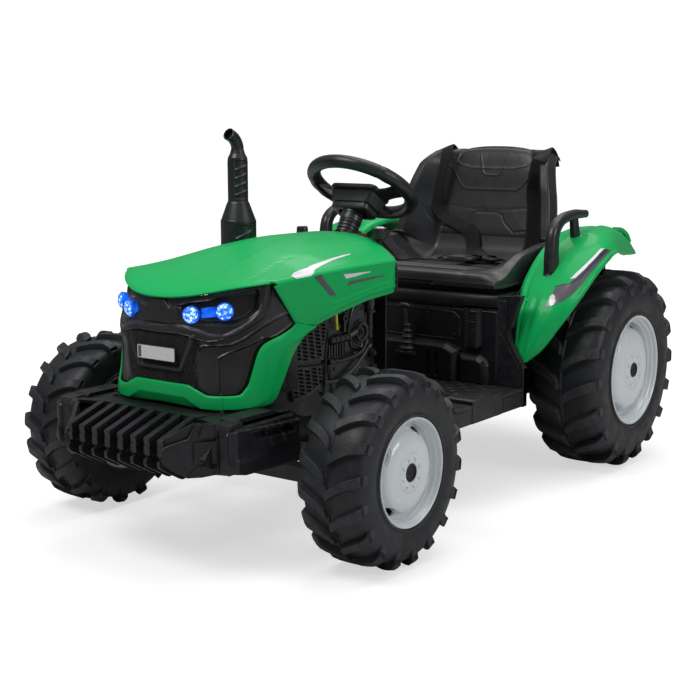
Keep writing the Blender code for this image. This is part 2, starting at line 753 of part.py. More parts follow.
across = [1.0, 0.93, 0.80, 0.62, 0.42, 0.21, 0.0]
across = across + [-a for a in reversed(across[:-1])]
rows = []
for k in range(9):
    t = k / 8
    row = []
    # Down the right side, over the top and down the left side.
    for a in reversed(across):
        x = HOOD_X * a
        y = hood_front_y(x) + (hood_rear_y(x) - hood_front_y(x)) * t
        row.append((x, y, hood_top_z(x, y)))
    y_edge = row[0][1]
    low = side_low_z(y_edge)
    top = row[0][2]
    side = [(HOOD_X + 0.0, y_edge, top + (low - top) * f) for f in (1.0, 0.5, 0.12)]
    row = mirrored(side) + row + list(reversed(side))
    rows.append(row)
hood = sheet("bonnet", rows, HOOD_T, GREEN, even=False)

# Cheeks: the green side of the nose, below and in front of the bonnet's side.
for side, s in (("left", 1), ("right", -1)):
    x0, x1 = sorted((s * 0.1595, s * 0.1700))
    cheek = plate(
        f"cheek_{side}",
        [
            (-0.4645, 0.4455),
            (-0.4360, 0.4140),
            (-0.4215, 0.3940),
            (-0.4330, 0.3800),
            (-0.4880, 0.3500),
            (-0.5080, 0.2900),
            (-0.5010, 0.2632),
            (-0.4716, 0.2632),
            (-0.4535, 0.2925),
            (-0.4237, 0.3380),
            (-0.4035, 0.3640),
            (-0.3950, 0.3670),
            (-0.3950, 0.3620),
            (-0.3830, 0.3620),
            (-0.3830, 0.4580),
            (-0.4500, 0.4580),
        ],
        "X",
        x0,
        x1,
        GREEN,
    )
    join(hood, cheek)

# Nose mask: the black front, following the nose's plan curve.
mask_rows = []
for z in (0.4345, 0.400, 0.360, 0.320, 0.2790):
    mask_rows.append([(x, nose_y(x, z) + 0.004, z) for x in np.linspace(-0.150, 0.150, 13)])
mask = sheet("nose_mask", mask_rows, 0.004, BLACK, even=False)

trim_rows = []
for z in (0.2770, 0.262, 0.2450):
    trim_rows.append([(x, nose_y(x, z) + 0.001 - 0.004 * (z < 0.25), z) for x in np.linspace(-0.152, 0.152, 13)])
sheet("nose_trim", trim_rows, 0.005, GREEN, even=False)

plate(
    "grille_mesh",
    [(-0.088, 0.3700), (0.088, 0.3700), (0.066, 0.2920), (-0.066, 0.2920)],
    "Y",
    -0.5652,
    -0.5617,
    BLACK,
)
box("number_plate", (-0.0425, -0.5682, 0.3315), (0.0425, -0.5655, 0.3555), WHITE)

LAMPS = ((0.067, 0.4106, 0.34), (0.112, 0.4165, 0.72))
for side, s in (("left", 1), ("right", -1)):
    lamps = []
    ends = []
    for x, z, turn in LAMPS:
        aim = Vector((s * turn, -1.0, -0.03)).normalized()
        c = Vector((s * x, nose_y(x, z), z))
        lamps.append(cyl(f"lamp_{side}_{x}", c + aim * 0.0040, c + aim * 0.0130, 0.0140, LENS, 20, r2=0.0100))
        ends.append(c + aim * 0.0105)
    bridge = cyl(f"headlight_{side}", ends[0], ends[1], 0.0030, LENS, 10)
    join(bridge, *lamps)

# ---------------------------------------------------------------- bumper and guard
def bumper_section(x, inset, grow, top, back):
    return [
        (x, back, top),
        (x, back, 0.1700 + grow + inset),
        (x, -0.556 + inset + grow, 0.1720 + grow + inset),
        (x, -0.612 + inset + grow, 0.1830 + grow + inset),
        (x, -0.628 + inset + grow, 0.2000 + grow),
        (x, -0.585 + inset + grow, top),
    ]


bumper = loft(
    "front_bumper",
    [
        bumper_section(-0.1580, 0.0, 0.0, 0.2400, -0.4540),
        bumper_section(0.1580, 0.0, 0.0, 0.2400, -0.4540),
    ],
    BLACK,
)
for s, side in ((1, "left"), (-1, "right")):
    xs = [s * 0.1560, s * 0.1900, s * 0.2000]
    loops = [
        bumper_section(xs[0], 0.0, 0.0, 0.2400, -0.4540),
        bumper_section(xs[1], 0.0, 0.0, 0.2400, -0.4540),
        bumper_section(xs[2], 0.008, 0.002, 0.2360, -0.4560),
    ]
    join(bumper, loft("pod_" + side, loops, BLACK))
    x0, x1 = sorted((s * 0.1712, s * 0.1960))
    join(bumper, box("block_" + side, (x0, -0.5900, 0.2300), (x1, -0.4560, 0.2600), BLACK, 0.005))
cut(
    bumper,
    loft(
        "cut_bumper",
        [
            bumper_section(-0.1920, 0.004, 0.002, 0.2360, -0.4300),
            bumper_section(0.1920, 0.004, 0.002, 0.2360, -0.4300),
        ],
        BLACK,
        cutter=True,
    ),
)

guard_frame = box("guard_grille", (-0.1120, -0.5850, 0.2403 + GAP), (0.1120, -0.5560, 0.2460), BLACK)
blades = []
for k in range(8):
    x = -0.102 + 0.204 * k / 7
    blades.append(
        plate(
            "blade_%d" % k,
            [
                (-0.5570, 0.2445),
                (-0.5570, 0.2600),
                (-0.6560, 0.2300),
                (-0.6660, 0.2200),
                (-0.6715, 0.1960),
                (-0.6680, 0.1840),
                (-0.6400, 0.1600),
                (-0.6200, 0.1600),
                (-0.6480, 0.1840),
                (-0.6560, 0.1980),
                (-0.6520, 0.2120),
                (-0.6000, 0.2445),
            ],
            "X",
            x - 0.0038,
            x + 0.0038,
            BLACK,
        )
    )
guard_bar = box("guard_bar", (-0.1058, -0.6410, 0.1606), (0.1058, -0.6330, 0.1690), BLACK)
join(guard_frame, *blades, guard_bar)

# ---------------------------------------------------------------- engine relief panels
for side, s in (("left", 1), ("right", -1)):
    x0, x1 = sorted((s * 0.1340, s * 0.1400))
    panel = plate(
        f"engine_panel_{side}",
        [(-0.4400, 0.2450), (-0.3500, 0.2150), (-0.1475, 0.2050), (-0.1475, 0.4100), (-0.3900, 0.4100), (-0.4400, 0.3800)],
        "X",
        x0,
        x1,
        BLACK,
    )
    pulley = cyl(
        f"pulley_{side}", (s * 0.1370, -0.208, 0.345), (s * 0.1500, -0.208, 0.345), 0.0230, BLACK, 20
    )
    join(panel, pulley)
    if s > 0:
        join(panel, cyl("dipstick", (0.1400, -0.268, 0.352), (0.1400, -0.272, 0.384), 0.0030, YELLOW, 10))
    # Feet that stand the panel on the rails.
    x0, x1 = sorted((s * 0.0980, s * 0.1350))
    join(panel, box(f"foot_{side}", (x0, -0.3300, 0.1625), (x1, -0.3000, 0.2300), BLACK))

# ---------------------------------------------------------------- dash
dash_rows = []
for x in np.linspace(-0.158, 0.158, 13):
    y_r = -0.030 - 0.085 * (abs(x) / 0.16) ** 2
    z_t = hood_top_z(x * 1.03, -0.100) - 0.0072
    dash_rows.append(
        [(x, -0.1330, z_t - 0.002), (x, y_r - 0.012, z_t), (x, y_r, z_t - 0.010), (x, y_r - 0.004, 0.4400)]
    )
dash = sheet("dashboard", dash_rows, 0.004, BLACK, even=False, flip=True)
LEVER = Vector((0.110, -0.092, 0.452))
KNOB = Vector((-0.085, -0.074, 0.470))
cut(
    dash,
    cyl("cut_dash", WHEEL_C - COLUMN_N * 0.06, WHEEL_C - COLUMN_N * 0.22, 0.0085, BLACK, 20, cutter=True),
    box("cut_lever", (LEVER.x - 0.0070, LEVER.y - 0.0068, 0.472), (LEVER.x + 0.0070, LEVER.y + 0.0132, 0.52), BLACK, cutter=True),
    cyl("cut_knob", (KNOB.x, KNOB.y, 0.465), (KNOB.x, KNOB.y, 0.52), 0.0045, BLACK, 16, cutter=True),
)

column = turned(
    "column_tube",
    [(0.0090, 0.0), (0.0215, 0.0), (0.0215, -0.0280), (0.0205, -0.0290), (0.0205, -0.0900), (0.0090, -0.0900)],
    axis_matrix(WHEEL_C - COLUMN_N * 0.0540, WHEEL_C + COLUMN_N),
    BLACK,
    24,
)
cut(column, box("cut_column", (-0.06, -0.12, 0.44), (0.06, 0.03, 0.5028), BLACK, cutter=True))

lever = cyl("shift_lever", LEVER + Vector((0, 0, 0.0480)), LEVER + Vector((0, 0, 0.0710)), 0.0140, BLACK, 20)
join(
    lever,
    cyl("lever_stem", LEVER + Vector((0, 0, -0.003)), LEVER + Vector((0, 0, 0.052)), 0.0044, BLACK, 12),
    cyl("lever_hub", LEVER + Vector((-0.0065, 0, 0)), LEVER + Vector((0.0065, 0, 0)), 0.0046, BLACK, 12),
)
knob_z = hood_top_z(KNOB.x, -0.100) - 0.0050
knob = cyl("mode_knob", (KNOB.x, KNOB.y, knob_z), (KNOB.x, KNOB.y, knob_z + 0.018), 0.0115, BLACK, 20)
join(knob, cyl("knob_stem", (KNOB.x, KNOB.y, knob_z - 0.020), (KNOB.x, KNOB.y, knob_z + 0.004), 0.0038, BLACK, 12))

# ---------------------------------------------------------------- steering wheel
wheel_place = Matrix.Translation(WHEEL_C) @ Matrix((Vector((1, 0, 0)), COLUMN_E, COLUMN_N)).transposed().to_4x4()


def ring_profile(radius, tube_r, n=8):
    return [
        (radius + tube_r * math.cos(math.radians(-360 * k / n)), tube_r * math.sin(math.radians(-360 * k / n)))
        for k in range(n)
    ]


ring = turned("steering_wheel", ring_profile(WHEEL_RING_R, WHEEL_TUBE_R), wheel_place, BLACK, 32)
# The hub is a deep box below the ring's plane. Local +Y points down the wheel, towards the driver.
hub = box("wheel_hub", (-0.054, -0.031, -0.0520), (0.054, 0.031, -0.0060), BLACK, 0.008, 2)
hub.matrix_world = wheel_place @ hub.matrix_basis
spokes = []
for name, lo, hi in (
    ("spoke_left", (0.0450, -0.0250, -0.0160), (0.0960, 0.0200, -0.0030)),
    ("spoke_right", (-0.0960, -0.0250, -0.0160), (-0.0450, 0.0200, -0.0030)),
    ("spoke_low", (-0.0180, 0.0250, -0.0160), (0.0180, 0.0960, -0.0030)),
):
    spoke = box(name, lo, hi, BLACK, 0.003)
    spoke.matrix_world = wheel_place @ spoke.matrix_basis
    spokes.append(spoke)
join(ring, hub, *spokes)
cut(
    ring,
    cyl("cut_horn", WHEEL_C - COLUMN_N * 0.0120, WHEEL_C + COLUMN_N * 0.02, 0.0178, BLACK, 24, cutter=True),
)
cyl("horn_button", WHEEL_C - COLUMN_N * 0.0085, WHEEL_C - COLUMN_N * 0.0010, 0.0170, BLACK, 24)

# ---------------------------------------------------------------- dash switches
for name, x in (("power_switch", 0.045), ("speed_switch", -0.045)):
    y_r = -0.030 - 0.085 * (abs(x) / 0.16) ** 2
    z_t = hood_top_z(x, -0.100) - 0.0068
    cut(
        dash,
        box("cut_" + name, (x - 0.0088, y_r - 0.0270, z_t - 0.02), (x + 0.0088, y_r - 0.0150, z_t + 0.02), BLACK, cutter=True),
    )
    plate(
        name,
        [
            (y_r - 0.0262, z_t - 0.0060),
            (y_r - 0.0158, z_t - 0.0060),
            (y_r - 0.0158, z_t + 0.0010),
            (y_r - 0.0210, z_t + 0.0018),
            (y_r - 0.0262, z_t + 0.0042),
        ],
        "X",
        x - 0.0082,
        x + 0.0082,
        BLACK,
    )

# ---------------------------------------------------------------- exhaust
EX = Vector((-0.130, -0.210, 0.0))
ex_z = hood_top_z(EX.x, EX.y)
stack = turned(
    "exhaust_stack",
    [
        (0.0, 0.6480),
        (0.0190, 0.6480),
        (0.0190, 0.5680),
        (0.0205, 0.5660),
        (0.0335, 0.5330),
        (0.0335, 0.4400),
        (0.0, 0.4400),
    ],
    Matrix.Translation(EX),
    BLACK,
    24,
    closed=False,
)
pipe_pts = spline_points(
    [
        EX + Vector((0, 0, 0.630)),
        EX + Vector((0, 0, 0.650)),
        EX + Vector((0, -0.003, 0.668)),
        EX + Vector((0, -0.011, 0.684)),
        EX + Vector((0, -0.024, 0.6930)),
    ],
    3,
)
join(stack, tube("pipe_neck", pipe_pts, 0.0115, BLACK, 3))
foot_rows = []
for y in np.linspace(EX.y - 0.045, EX.y + 0.045, 7):
    foot_rows.append([(x, y, hood_top_z(x, y) + 0.0012) for x in np.linspace(EX.x - 0.0395, EX.x + 0.045, 13)])
cut(stack, slab("cut_foot", foot_rows, 0.4000, BLACK, cutter=True))

# ---------------------------------------------------------------- seat
SEAT_LINE = (
    (0.150, 0.409),
    (0.158, 0.424),
    (0.190, 0.4270),
    (0.270, 0.4220),
    (0.350, 0.4180),
    (0.405, 0.4200),
    (0.432, 0.4400),
    (0.446, 0.4900),
    (0.458, 0.5500),
    (0.470, 0.6100),
    (0.480, 0.6480),
    (0.492, 0.6560),
)
SEAT_HALF = (0.212, 0.214, 0.216, 0.212, 0.208, 0.204, 0.202, 0.198, 0.194, 0.186, 0.160, 0.146)
SEAT_RISE = (0.000, 0.002, 0.006, 0.016, 0.030, 0.042, 0.050, 0.045, 0.038, 0.026, 0.006, 0.000)


def seat_point(i, u, lift=0.0):
    """A point of the seat's surface: station i along its profile, u from -1 to 1 across it."""
    n = len(SEAT_LINE)
    a = Vector((0, *SEAT_LINE[max(0, i - 1)]))
    b = Vector((0, *SEAT_LINE[min(n - 1, i + 1)]))
    d = (b - a).normalized()
    normal = Vector((0, -d.z, d.y))
    rise = SEAT_RISE[i] * min(1.0, max(0.0, (abs(u) - 0.62) / 0.30)) ** 1.5
    return Vector((SEAT_HALF[i] * u, *SEAT_LINE[i])) + normal * (rise + lift)


us = (-1.0, -0.92, -0.80, -0.62, -0.31, 0.0, 0.31, 0.62, 0.80, 0.92, 1.0)
seat_rows = []
for i in range(len(SEAT_LINE)):
    row = [seat_point(i, u) for u in us]
    # The rim turns down and back behind each edge.
    n = len(SEAT_LINE)
    a = Vector((0, *SEAT_LINE[max(0, i - 1)]))
    b = Vector((0, *SEAT_LINE[min(n - 1, i + 1)]))
    d = (b - a).normalized()
    back = Vector((0, d.z, -d.y)) * 0.026
    left_edge = row[0] + back + Vector((-0.004, 0, 0))
    right_edge = row[-1] + back + Vector((0.004, 0, 0))
    seat_rows.append([left_edge] + row + [right_edge])
sheet("seat_shell", seat_rows, 0.006, SEAT, even=False)

def seat_facet(i, u, lift):
    """A point above the shell's facets: like seat_point, but straight between the mesh's columns."""
    for a, b in zip(us, us[1:]):
        if a <= u <= b:
            f = (u - a) / (b - a)
            return seat_point(i, a, lift).lerp(seat_point(i, b, lift), f)
    return seat_point(i, u, lift)


# Pads lie in the shell's hollow, 0.5 mm clear of it.
pad_u = (-0.60, -0.42, 0.0, 0.42, 0.60)


def pad(name, stations, thick):
    loops = []
    for i in stations:
        lower = [seat_point(i, u, 0.0006) for u in pad_u]
        upper = [seat_point(i, u, thick * (0.45 if abs(u) > 0.5 else 1.0)) for u in reversed(pad_u)]
        loops.append(lower + upper)
    return loft(name, loops, PAD)


pad("seat_pad", (2, 3, 4), 0.009)
pad("back_pad", (7, 8, 9), 0.012)

# Harness: shoulder straps over the top edge, the lap belt on the pan, and the buckle.
for side, s in (("left", 1), ("right", -1)):
    rows = []
    for i, u, lift in ((11, 0.93, 0.0040), (10, 0.86, 0.0065), (9, 0.80, 0.0060), (8, 0.76, 0.0045), (7, 0.72, 0.0040), (6, 0.68, 0.0040)):
        reach = 0.0125 / SEAT_HALF[i]
        rows.append([seat_facet(i, s * u - reach, lift), seat_facet(i, s * u, lift), seat_facet(i, s * u + reach, lift)])
    sheet(f"harness_strap_{side}", rows, 0.0015, WEB, offset=0.0, even=False)

lap = []
for u in (0.60, 0.42, 0.22, 0.0, -0.22, -0.42, -0.60):
    p = seat_point(4, u, 0.0120)
    lap.append([p + Vector((0, -0.0125, 0)), p + Vector((0, 0.0125, 0))])
sheet("lap_belt", lap, 0.0015, WEB, offset=0.0, even=False)
buckle_c = seat_point(4, 0.02, 0.0210)
box("harness_buckle", buckle_c - Vector((0.0130, 0.0200, 0.0070)), buckle_c + Vector((0.0130, 0.0200, 0.0060)), BLACK, 0.003)

# ---------------------------------------------------------------- fenders and grab handles
FENDER = (
    # y, z, inner x, outer x, depth of the outer lip
    (0.1720, 0.2480, 0.2520, 0.2720, 0.006),
    (0.1745, 0.2760, 0.2480, 0.3000, 0.012),
    (0.1830, 0.3200, 0.2440, 0.3260, 0.018),
    (0.2040, 0.3660, 0.2380, 0.3480, 0.022),
    (0.2380, 0.4060, 0.2300, 0.3600, 0.024),
    (0.2820, 0.4440, 0.2300, 0.3680, 0.024),
    (0.3320, 0.4720, 0.2300, 0.3720, 0.024),
    (0.3900, 0.4900, 0.2300, 0.3740, 0.023),
    (0.4500, 0.4950, 0.2300, 0.3740, 0.022),
    (0.5100, 0.4890, 0.2300, 0.3720, 0.020),
    (0.5700, 0.4760, 0.2330, 0.3640, 0.018),
    (0.6250, 0.4580, 0.2400, 0.3500, 0.014),
    (0.6600, 0.4380, 0.2520, 0.3300, 0.008),
)
FENDER_AXLE = Vector((0, REAR_AXLE_Y, REAR_R))


def fender_row(k, s):
    y, z, x_in, x_out, depth = FENDER[k]
    path = Vector((0, y, z))
    radial = (path - FENDER_AXLE).normalized()
    if k >= 10:
        radial = Vector((0, 0.35, 1.0)).normalized()
    width = x_out - x_in
    pts = []
    for f, lift in ((0.0, -0.012), (0.03, -0.003), (0.12, 0.0), (0.45, 0.002), (0.72, -0.001), (0.88, -0.008), (0.97, -0.019)):
        p = path + radial * (lift if f < 0.5 else lift * (depth / 0.024))
        pts.append(Vector((s * (x_in + width * f), p.y, p.z)))
    p = path - radial * (depth + 0.008)
    pts.append(Vector((s * x_out, p.y, p.z)))
    return pts


for side, s in (("left", 1), ("right", -1)):
    rows = [fender_row(k, s) for k in range(len(FENDER))]
    if s < 0:
        rows = [list(reversed(r)) for r in rows]
    sheet(f"fender_{side}", rows, 0.004, GREEN, even=False)
    x = s * 0.282
    path = spline_points(
        [(x, 0.2620, 0.4150), (x, 0.2600, 0.4600), (x, 0.2680, 0.5000), (x, 0.3000, 0.5210), (x, 0.3520, 0.5280), (x, 0.4120, 0.5270)],
        3,
    )
    handle = swept(f"grab_handle_{side}", path, [(0.024, 0.030), (0.022, 0.027), (0.019, 0.022), (0.017, 0.016)], BLACK)
    leg = [Vector((x, 0.3720, 0.4700)), Vector((x, 0.3660, 0.5000)), Vector((x, 0.3600, 0.5240))]
    join(handle, swept(f"handle_leg_{side}", leg, [(0.015, 0.020), (0.015, 0.017), (0.013, 0.020)], BLACK, 8))
    # The handle's feet stand on the fender.
    seat_on = []
    for k in range(2, 10):
        row = fender_row(k, s)[0:6]
        seat_on.append([q + Vector((0, 0, 0.0006)) for q in row])
    cut(handle, slab(f"cut_feet_{side}", seat_on, 0.300, BLACK, cutter=True))

bpy.context.view_layer.update()
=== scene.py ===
import json
import math

import bmesh
import bpy
import numpy as np
from mathutils import Matrix, Vector

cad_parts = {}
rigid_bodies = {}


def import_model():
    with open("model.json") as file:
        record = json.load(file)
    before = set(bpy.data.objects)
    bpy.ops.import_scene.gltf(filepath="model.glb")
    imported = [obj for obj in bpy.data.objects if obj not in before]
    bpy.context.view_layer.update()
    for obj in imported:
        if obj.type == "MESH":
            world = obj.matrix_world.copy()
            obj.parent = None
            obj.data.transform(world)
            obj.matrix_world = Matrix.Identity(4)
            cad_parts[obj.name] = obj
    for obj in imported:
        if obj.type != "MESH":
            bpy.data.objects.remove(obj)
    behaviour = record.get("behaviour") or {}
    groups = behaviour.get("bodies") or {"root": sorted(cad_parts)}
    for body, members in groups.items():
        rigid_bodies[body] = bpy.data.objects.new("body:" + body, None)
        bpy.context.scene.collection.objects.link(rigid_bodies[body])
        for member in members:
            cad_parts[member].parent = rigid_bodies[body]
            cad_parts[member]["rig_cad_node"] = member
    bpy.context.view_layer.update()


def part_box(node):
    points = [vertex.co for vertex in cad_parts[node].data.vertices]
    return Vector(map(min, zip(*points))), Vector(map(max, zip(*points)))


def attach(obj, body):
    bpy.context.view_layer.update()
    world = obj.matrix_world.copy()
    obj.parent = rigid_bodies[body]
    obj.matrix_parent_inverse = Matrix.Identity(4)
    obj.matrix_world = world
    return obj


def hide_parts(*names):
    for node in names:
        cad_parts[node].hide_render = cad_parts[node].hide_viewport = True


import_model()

R = math.radians

scene = bpy.context.scene
scene.view_settings.view_transform = "Standard"
scene.view_settings.look = "None"
HOME = bpy.data.collections.new("visual")
scene.collection.children.link(HOME)


# ---------------------------------------------------------------- materials
def link(tree, a, out, b, into):
    tree.links.new(a.outputs[out], b.inputs[into])


def ramp(tree, source, out, a, b, lo, hi):
    """Maps a value from a..b to lo..hi, clamped."""
    n = tree.nodes.new("ShaderNodeMapRange")
    n.clamp = True
    n.inputs["From Min"].default_value = a
    n.inputs["From Max"].default_value = b
    n.inputs["To Min"].default_value = lo
    n.inputs["To Max"].default_value = hi
    link(tree, source, out, n, "Value")
    return n


def noise(tree, coord, scale, detail=4.0, rough=0.55, stretch=None):
    n = tree.nodes.new("ShaderNodeTexNoise")
    n.inputs["Scale"].default_value = scale
    n.inputs["Detail"].default_value = detail
    n.inputs["Roughness"].default_value = rough
    if stretch:
        m = tree.nodes.new("ShaderNodeMapping")
        m.inputs["Scale"].default_value = stretch
        link(tree, coord, "Object", m, "Vector")
        link(tree, m, "Vector", n, "Vector")
    else:
        link(tree, coord, "Object", n, "Vector")
    return n


def mixed(tree, factor, out, a, b):
    """A colour between a and b; each is an rgb triple or a node's colour socket."""
    n = tree.nodes.new("ShaderNodeMix")
    n.data_type = "RGBA"
    if factor is None:
        n.inputs[0].default_value = out
    else:
        tree.links.new(factor.outputs[out], n.inputs[0])
    for k, v in ((6, a), (7, b)):
        if isinstance(v, tuple):
            n.inputs[k].default_value = (*v, 1.0)
        else:
            tree.links.new(v, n.inputs[k])
    return n


def shade(rgb, f):
    return tuple(min(1.0, c * f) for c in rgb)


def finish_of(
    name, rgb, rough, metal=0.0, coat=0.0, coat_rough=0.06, vary=0.18, patch=9.0, rough_vary=0.10, smudge=38.0,
    grain=420.0, grain_depth=0.0002, grain_kind="noise", wave=None, edge_wear_highlight=0.0, edge_wear_highlight_rgb=None, dust=0.0,
    dust_rgb=(0.32, 0.30, 0.27), sheen=0.0, emit=None, spec=0.5, scratches=0.0,
):
    """One procedural finish: colour patches, smudged gloss, a moulded grain, lighter edges that are partly wear and
    partly a painted edge highlight, and dust.
    """
    mat = bpy.data.materials.new(name)
    mat.use_nodes = True
    t = mat.node_tree
    p = t.nodes["Principled BSDF"]
    coord = t.nodes.new("ShaderNodeTexCoord")
    big = noise(t, coord, patch, 3.0)
    spread = ramp(t, big, "Fac", 0.32, 0.68, 0.0, 1.0)
    base = mixed(t, spread, "Result", shade(rgb, 1 - vary), shade(rgb, 1 + vary))
    colour = base.outputs[2]
    geo = t.nodes.new("ShaderNodeNewGeometry")
    # Lighter edges from pointiness, broken up by a noise: partly wear, partly a painted highlight along the edges.
    if edge_wear_highlight:
        edge = ramp(t, geo, "Pointiness", 0.515, 0.60, 0.0, edge_wear_highlight)
        edge_breakup = noise(t, coord, 130.0, 6.0, 0.7)
        edge_breakup_mask = ramp(t, edge_breakup, "Fac", 0.42, 0.62, 0.0, 1.0)
        both = t.nodes.new("ShaderNodeMath")
        both.operation = "MULTIPLY"
        link(t, edge, "Result", both, 0)
        link(t, edge_breakup_mask, "Result", both, 1)
        worn_and_lit = mixed(t, both, "Value", colour, edge_wear_highlight_rgb or shade(rgb, 3.0))
        colour = worn_and_lit.outputs[2]
    if dust:
        sep = t.nodes.new("ShaderNodeSeparateXYZ")
        link(t, geo, "Normal", sep, "Vector")
        up = ramp(t, sep, "Z", 0.35, 1.0, 0.0, dust)
        cloud = noise(t, coord, 22.0, 5.0)
        fall = ramp(t, cloud, "Fac", 0.35, 0.75, 0.2, 1.0)
        both = t.nodes.new("ShaderNodeMath")
        both.operation = "MULTIPLY"
        link(t, up, "Result", both, 0)
        link(t, fall, "Result", both, 1)
        dusty = mixed(t, both, "Value", colour, dust_rgb)
        colour = dusty.outputs[2]
    t.links.new(colour, p.inputs["Base Color"])
    gloss = noise(t, coord, smudge, 5.0, 0.6)
    rmap = ramp(t, gloss, "Fac", 0.3, 0.7, max(0.02, rough - rough_vary), min(1.0, rough + rough_vary))
    link(t, rmap, "Result", p, "Roughness")
    p.inputs["Metallic"].default_value = metal
    p.inputs["Specular IOR Level"].default_value = spec
    p.inputs["Coat Weight"].default_value = coat
    p.inputs["Coat Roughness"].default_value = coat_rough
    if sheen:
        p.inputs["Sheen Weight"].default_value = sheen
        p.inputs["Sheen Roughness"].default_value = 0.5
    if emit:
        p.inputs["Emission Color"].default_value = (*emit[0], 1.0)
        p.inputs["Emission Strength"].default_value = emit[1]
    # The moulded grain.
    if grain_kind == "leather":
        g = t.nodes.new("ShaderNodeTexVoronoi")
        g.feature = "SMOOTH_F1"
        g.inputs["Scale"].default_value = grain
        link(t, coord, "Object", g, "Vector")
        height, out = g, "Distance"
    elif grain_kind == "weave":
        g = t.nodes.new("ShaderNodeTexWave")
        g.bands_direction = wave or "DIAGONAL"
        g.inputs["Scale"].default_value = grain
        g.inputs["Distortion"].default_value = 0.6
        g.inputs["Detail"].default_value = 2.0
        link(t, coord, "Object", g, "Vector")
        h = t.nodes.new("ShaderNodeTexWave")
        h.bands_direction = "X"
        h.inputs["Scale"].default_value = grain * 0.8
        h.inputs["Distortion"].default_value = 0.6
        link(t, coord, "Object", h, "Vector")
        both = t.nodes.new("ShaderNodeMath")
        both.operation = "MULTIPLY"
        link(t, g, "Fac", both, 0)
        link(t, h, "Fac", both, 1)
        height, out = both, "Value"
    else:
        height, out = noise(t, coord, grain, 2.0), "Fac"
    bump = t.nodes.new("ShaderNodeBump")
    bump.inputs["Strength"].default_value = 0.9
    bump.inputs["Distance"].default_value = grain_depth
    link(t, height, out, bump, "Height")
    last = bump
    if scratches:
        lines = noise(t, coord, 60.0, 8.0, 0.8, stretch=(1.0, 14.0, 1.0))
        s = ramp(t, lines, "Fac", 0.62, 0.72, 0.0, 1.0)
        scr = t.nodes.new("ShaderNodeBump")
        scr.inputs["Strength"].default_value = scratches
        scr.inputs["Distance"].default_value = 0.0002
        link(t, s, "Result", scr, "Height")
        link(t, bump, "Normal", scr, "Normal")
        last = scr
    link(t, last, "Normal", p, "Normal")
    if coat:
        ripple = noise(t, coord, 34.0, 1.0)
        peel = t.nodes.new("ShaderNodeBump")
        peel.inputs["Strength"].default_value = 0.35
        peel.inputs["Distance"].default_value = 0.0006
        link(t, ripple, "Fac", peel, "Height")
        link(t, peel, "Normal", p, "Coat Normal")
    mat.diffuse_color = (*rgb, 1.0)
    return mat


GREEN = finish_of(
    "green_gloss_v", (0.0030, 0.415, 0.102), 0.40, coat=0.14, coat_rough=0.07, spec=0.14, vary=0.05, patch=4.0, rough_vary=0.05,
    grain=160.0, grain_depth=0.00012, edge_wear_highlight=0.25, edge_wear_highlight_rgb=(0.04, 0.62, 0.20), dust=0.0,
)
BLACK = finish_of(
    "black_plastic_v", (0.0088, 0.0092, 0.0114), 0.38, vary=0.16, grain=520.0, grain_depth=0.00016, edge_wear_highlight=0.55, spec=0.36,
    edge_wear_highlight_rgb=(0.055, 0.056, 0.062), dust=0.02, scratches=0.10,
)
SATIN = finish_of(
    "satin_black_v", (0.0125, 0.0127, 0.0145), 0.35, vary=0.14, grain=380.0, grain_depth=0.00010, edge_wear_highlight=0.5,
    edge_wear_highlight_rgb=(0.075, 0.075, 0.08), dust=0.04,
)
DEEP = finish_of("deep_black_v", (0.0060, 0.0060, 0.0068), 0.62, vary=0.2, grain=300.0, grain_depth=0.0003)
TYRE = finish_of(
    "tyre_plastic_v", (0.0125, 0.0135, 0.0160), 0.48, vary=0.22, patch=14.0, rough_vary=0.12, grain=260.0,
    grain_depth=0.00035, edge_wear_highlight=0.85, edge_wear_highlight_rgb=(0.070, 0.073, 0.080), dust=0.05, dust_rgb=(0.12, 0.12, 0.12), scratches=0.18, spec=0.4,
)
RIM = finish_of(
    "rim_plastic_v", (0.650, 0.690, 0.715), 0.25, coat=0.7, coat_rough=0.06, vary=0.012, patch=5.0, rough_vary=0.03, grain=200.0,
    grain_depth=0.00003,
)
SEAT = finish_of(
    "seat_plastic_v", (0.0140, 0.0150, 0.0178), 0.40, vary=0.14, patch=7.0, rough_vary=0.09, grain=420.0,
    grain_depth=0.00012, grain_kind="leather", edge_wear_highlight=0.4, edge_wear_highlight_rgb=(0.07, 0.07, 0.078), dust=0.04,
)
PAD = finish_of(
    "seat_leather_v", (0.0098, 0.0094, 0.0118), 0.44, vary=0.20, patch=16.0, rough_vary=0.10, grain=420.0,
    grain_depth=0.00014, grain_kind="leather", edge_wear_highlight=0.3, edge_wear_highlight_rgb=(0.06, 0.06, 0.065), sheen=0.15,
)
WEB = finish_of(
    "webbing_v", (0.0070, 0.0068, 0.0080), 0.80, vary=0.22, patch=40.0, rough_vary=0.08, grain=230.0,
    grain_depth=0.0007, grain_kind="weave", sheen=0.12, spec=0.25,
)
ZINC = finish_of(
    "zinc_steel_v", (0.46, 0.47, 0.48), 0.33, metal=1.0, vary=0.15, patch=45.0, rough_vary=0.12, grain=700.0,
    grain_depth=0.00008, edge_wear_highlight=0.3, scratches=0.4,
)
STEEL = finish_of(
    "painted_steel_v", (0.026, 0.026, 0.028), 0.42, vary=0.15, grain=180.0, grain_depth=0.00025, edge_wear_highlight=0.7,
    edge_wear_highlight_rgb=(0.16, 0.15, 0.145), dust=0.12, scratches=0.2,
)
MOTOR = finish_of(
    "motor_can_v", (0.34, 0.34, 0.36), 0.36, metal=1.0, vary=0.12, patch=50.0, grain=500.0, grain_depth=0.0001,
    scratches=0.5,
)
BATTERY = finish_of("battery_case_v", (0.040, 0.040, 0.048), 0.5, vary=0.12, grain=330.0, grain_depth=0.0003, edge_wear_highlight=0.4, dust=0.15)
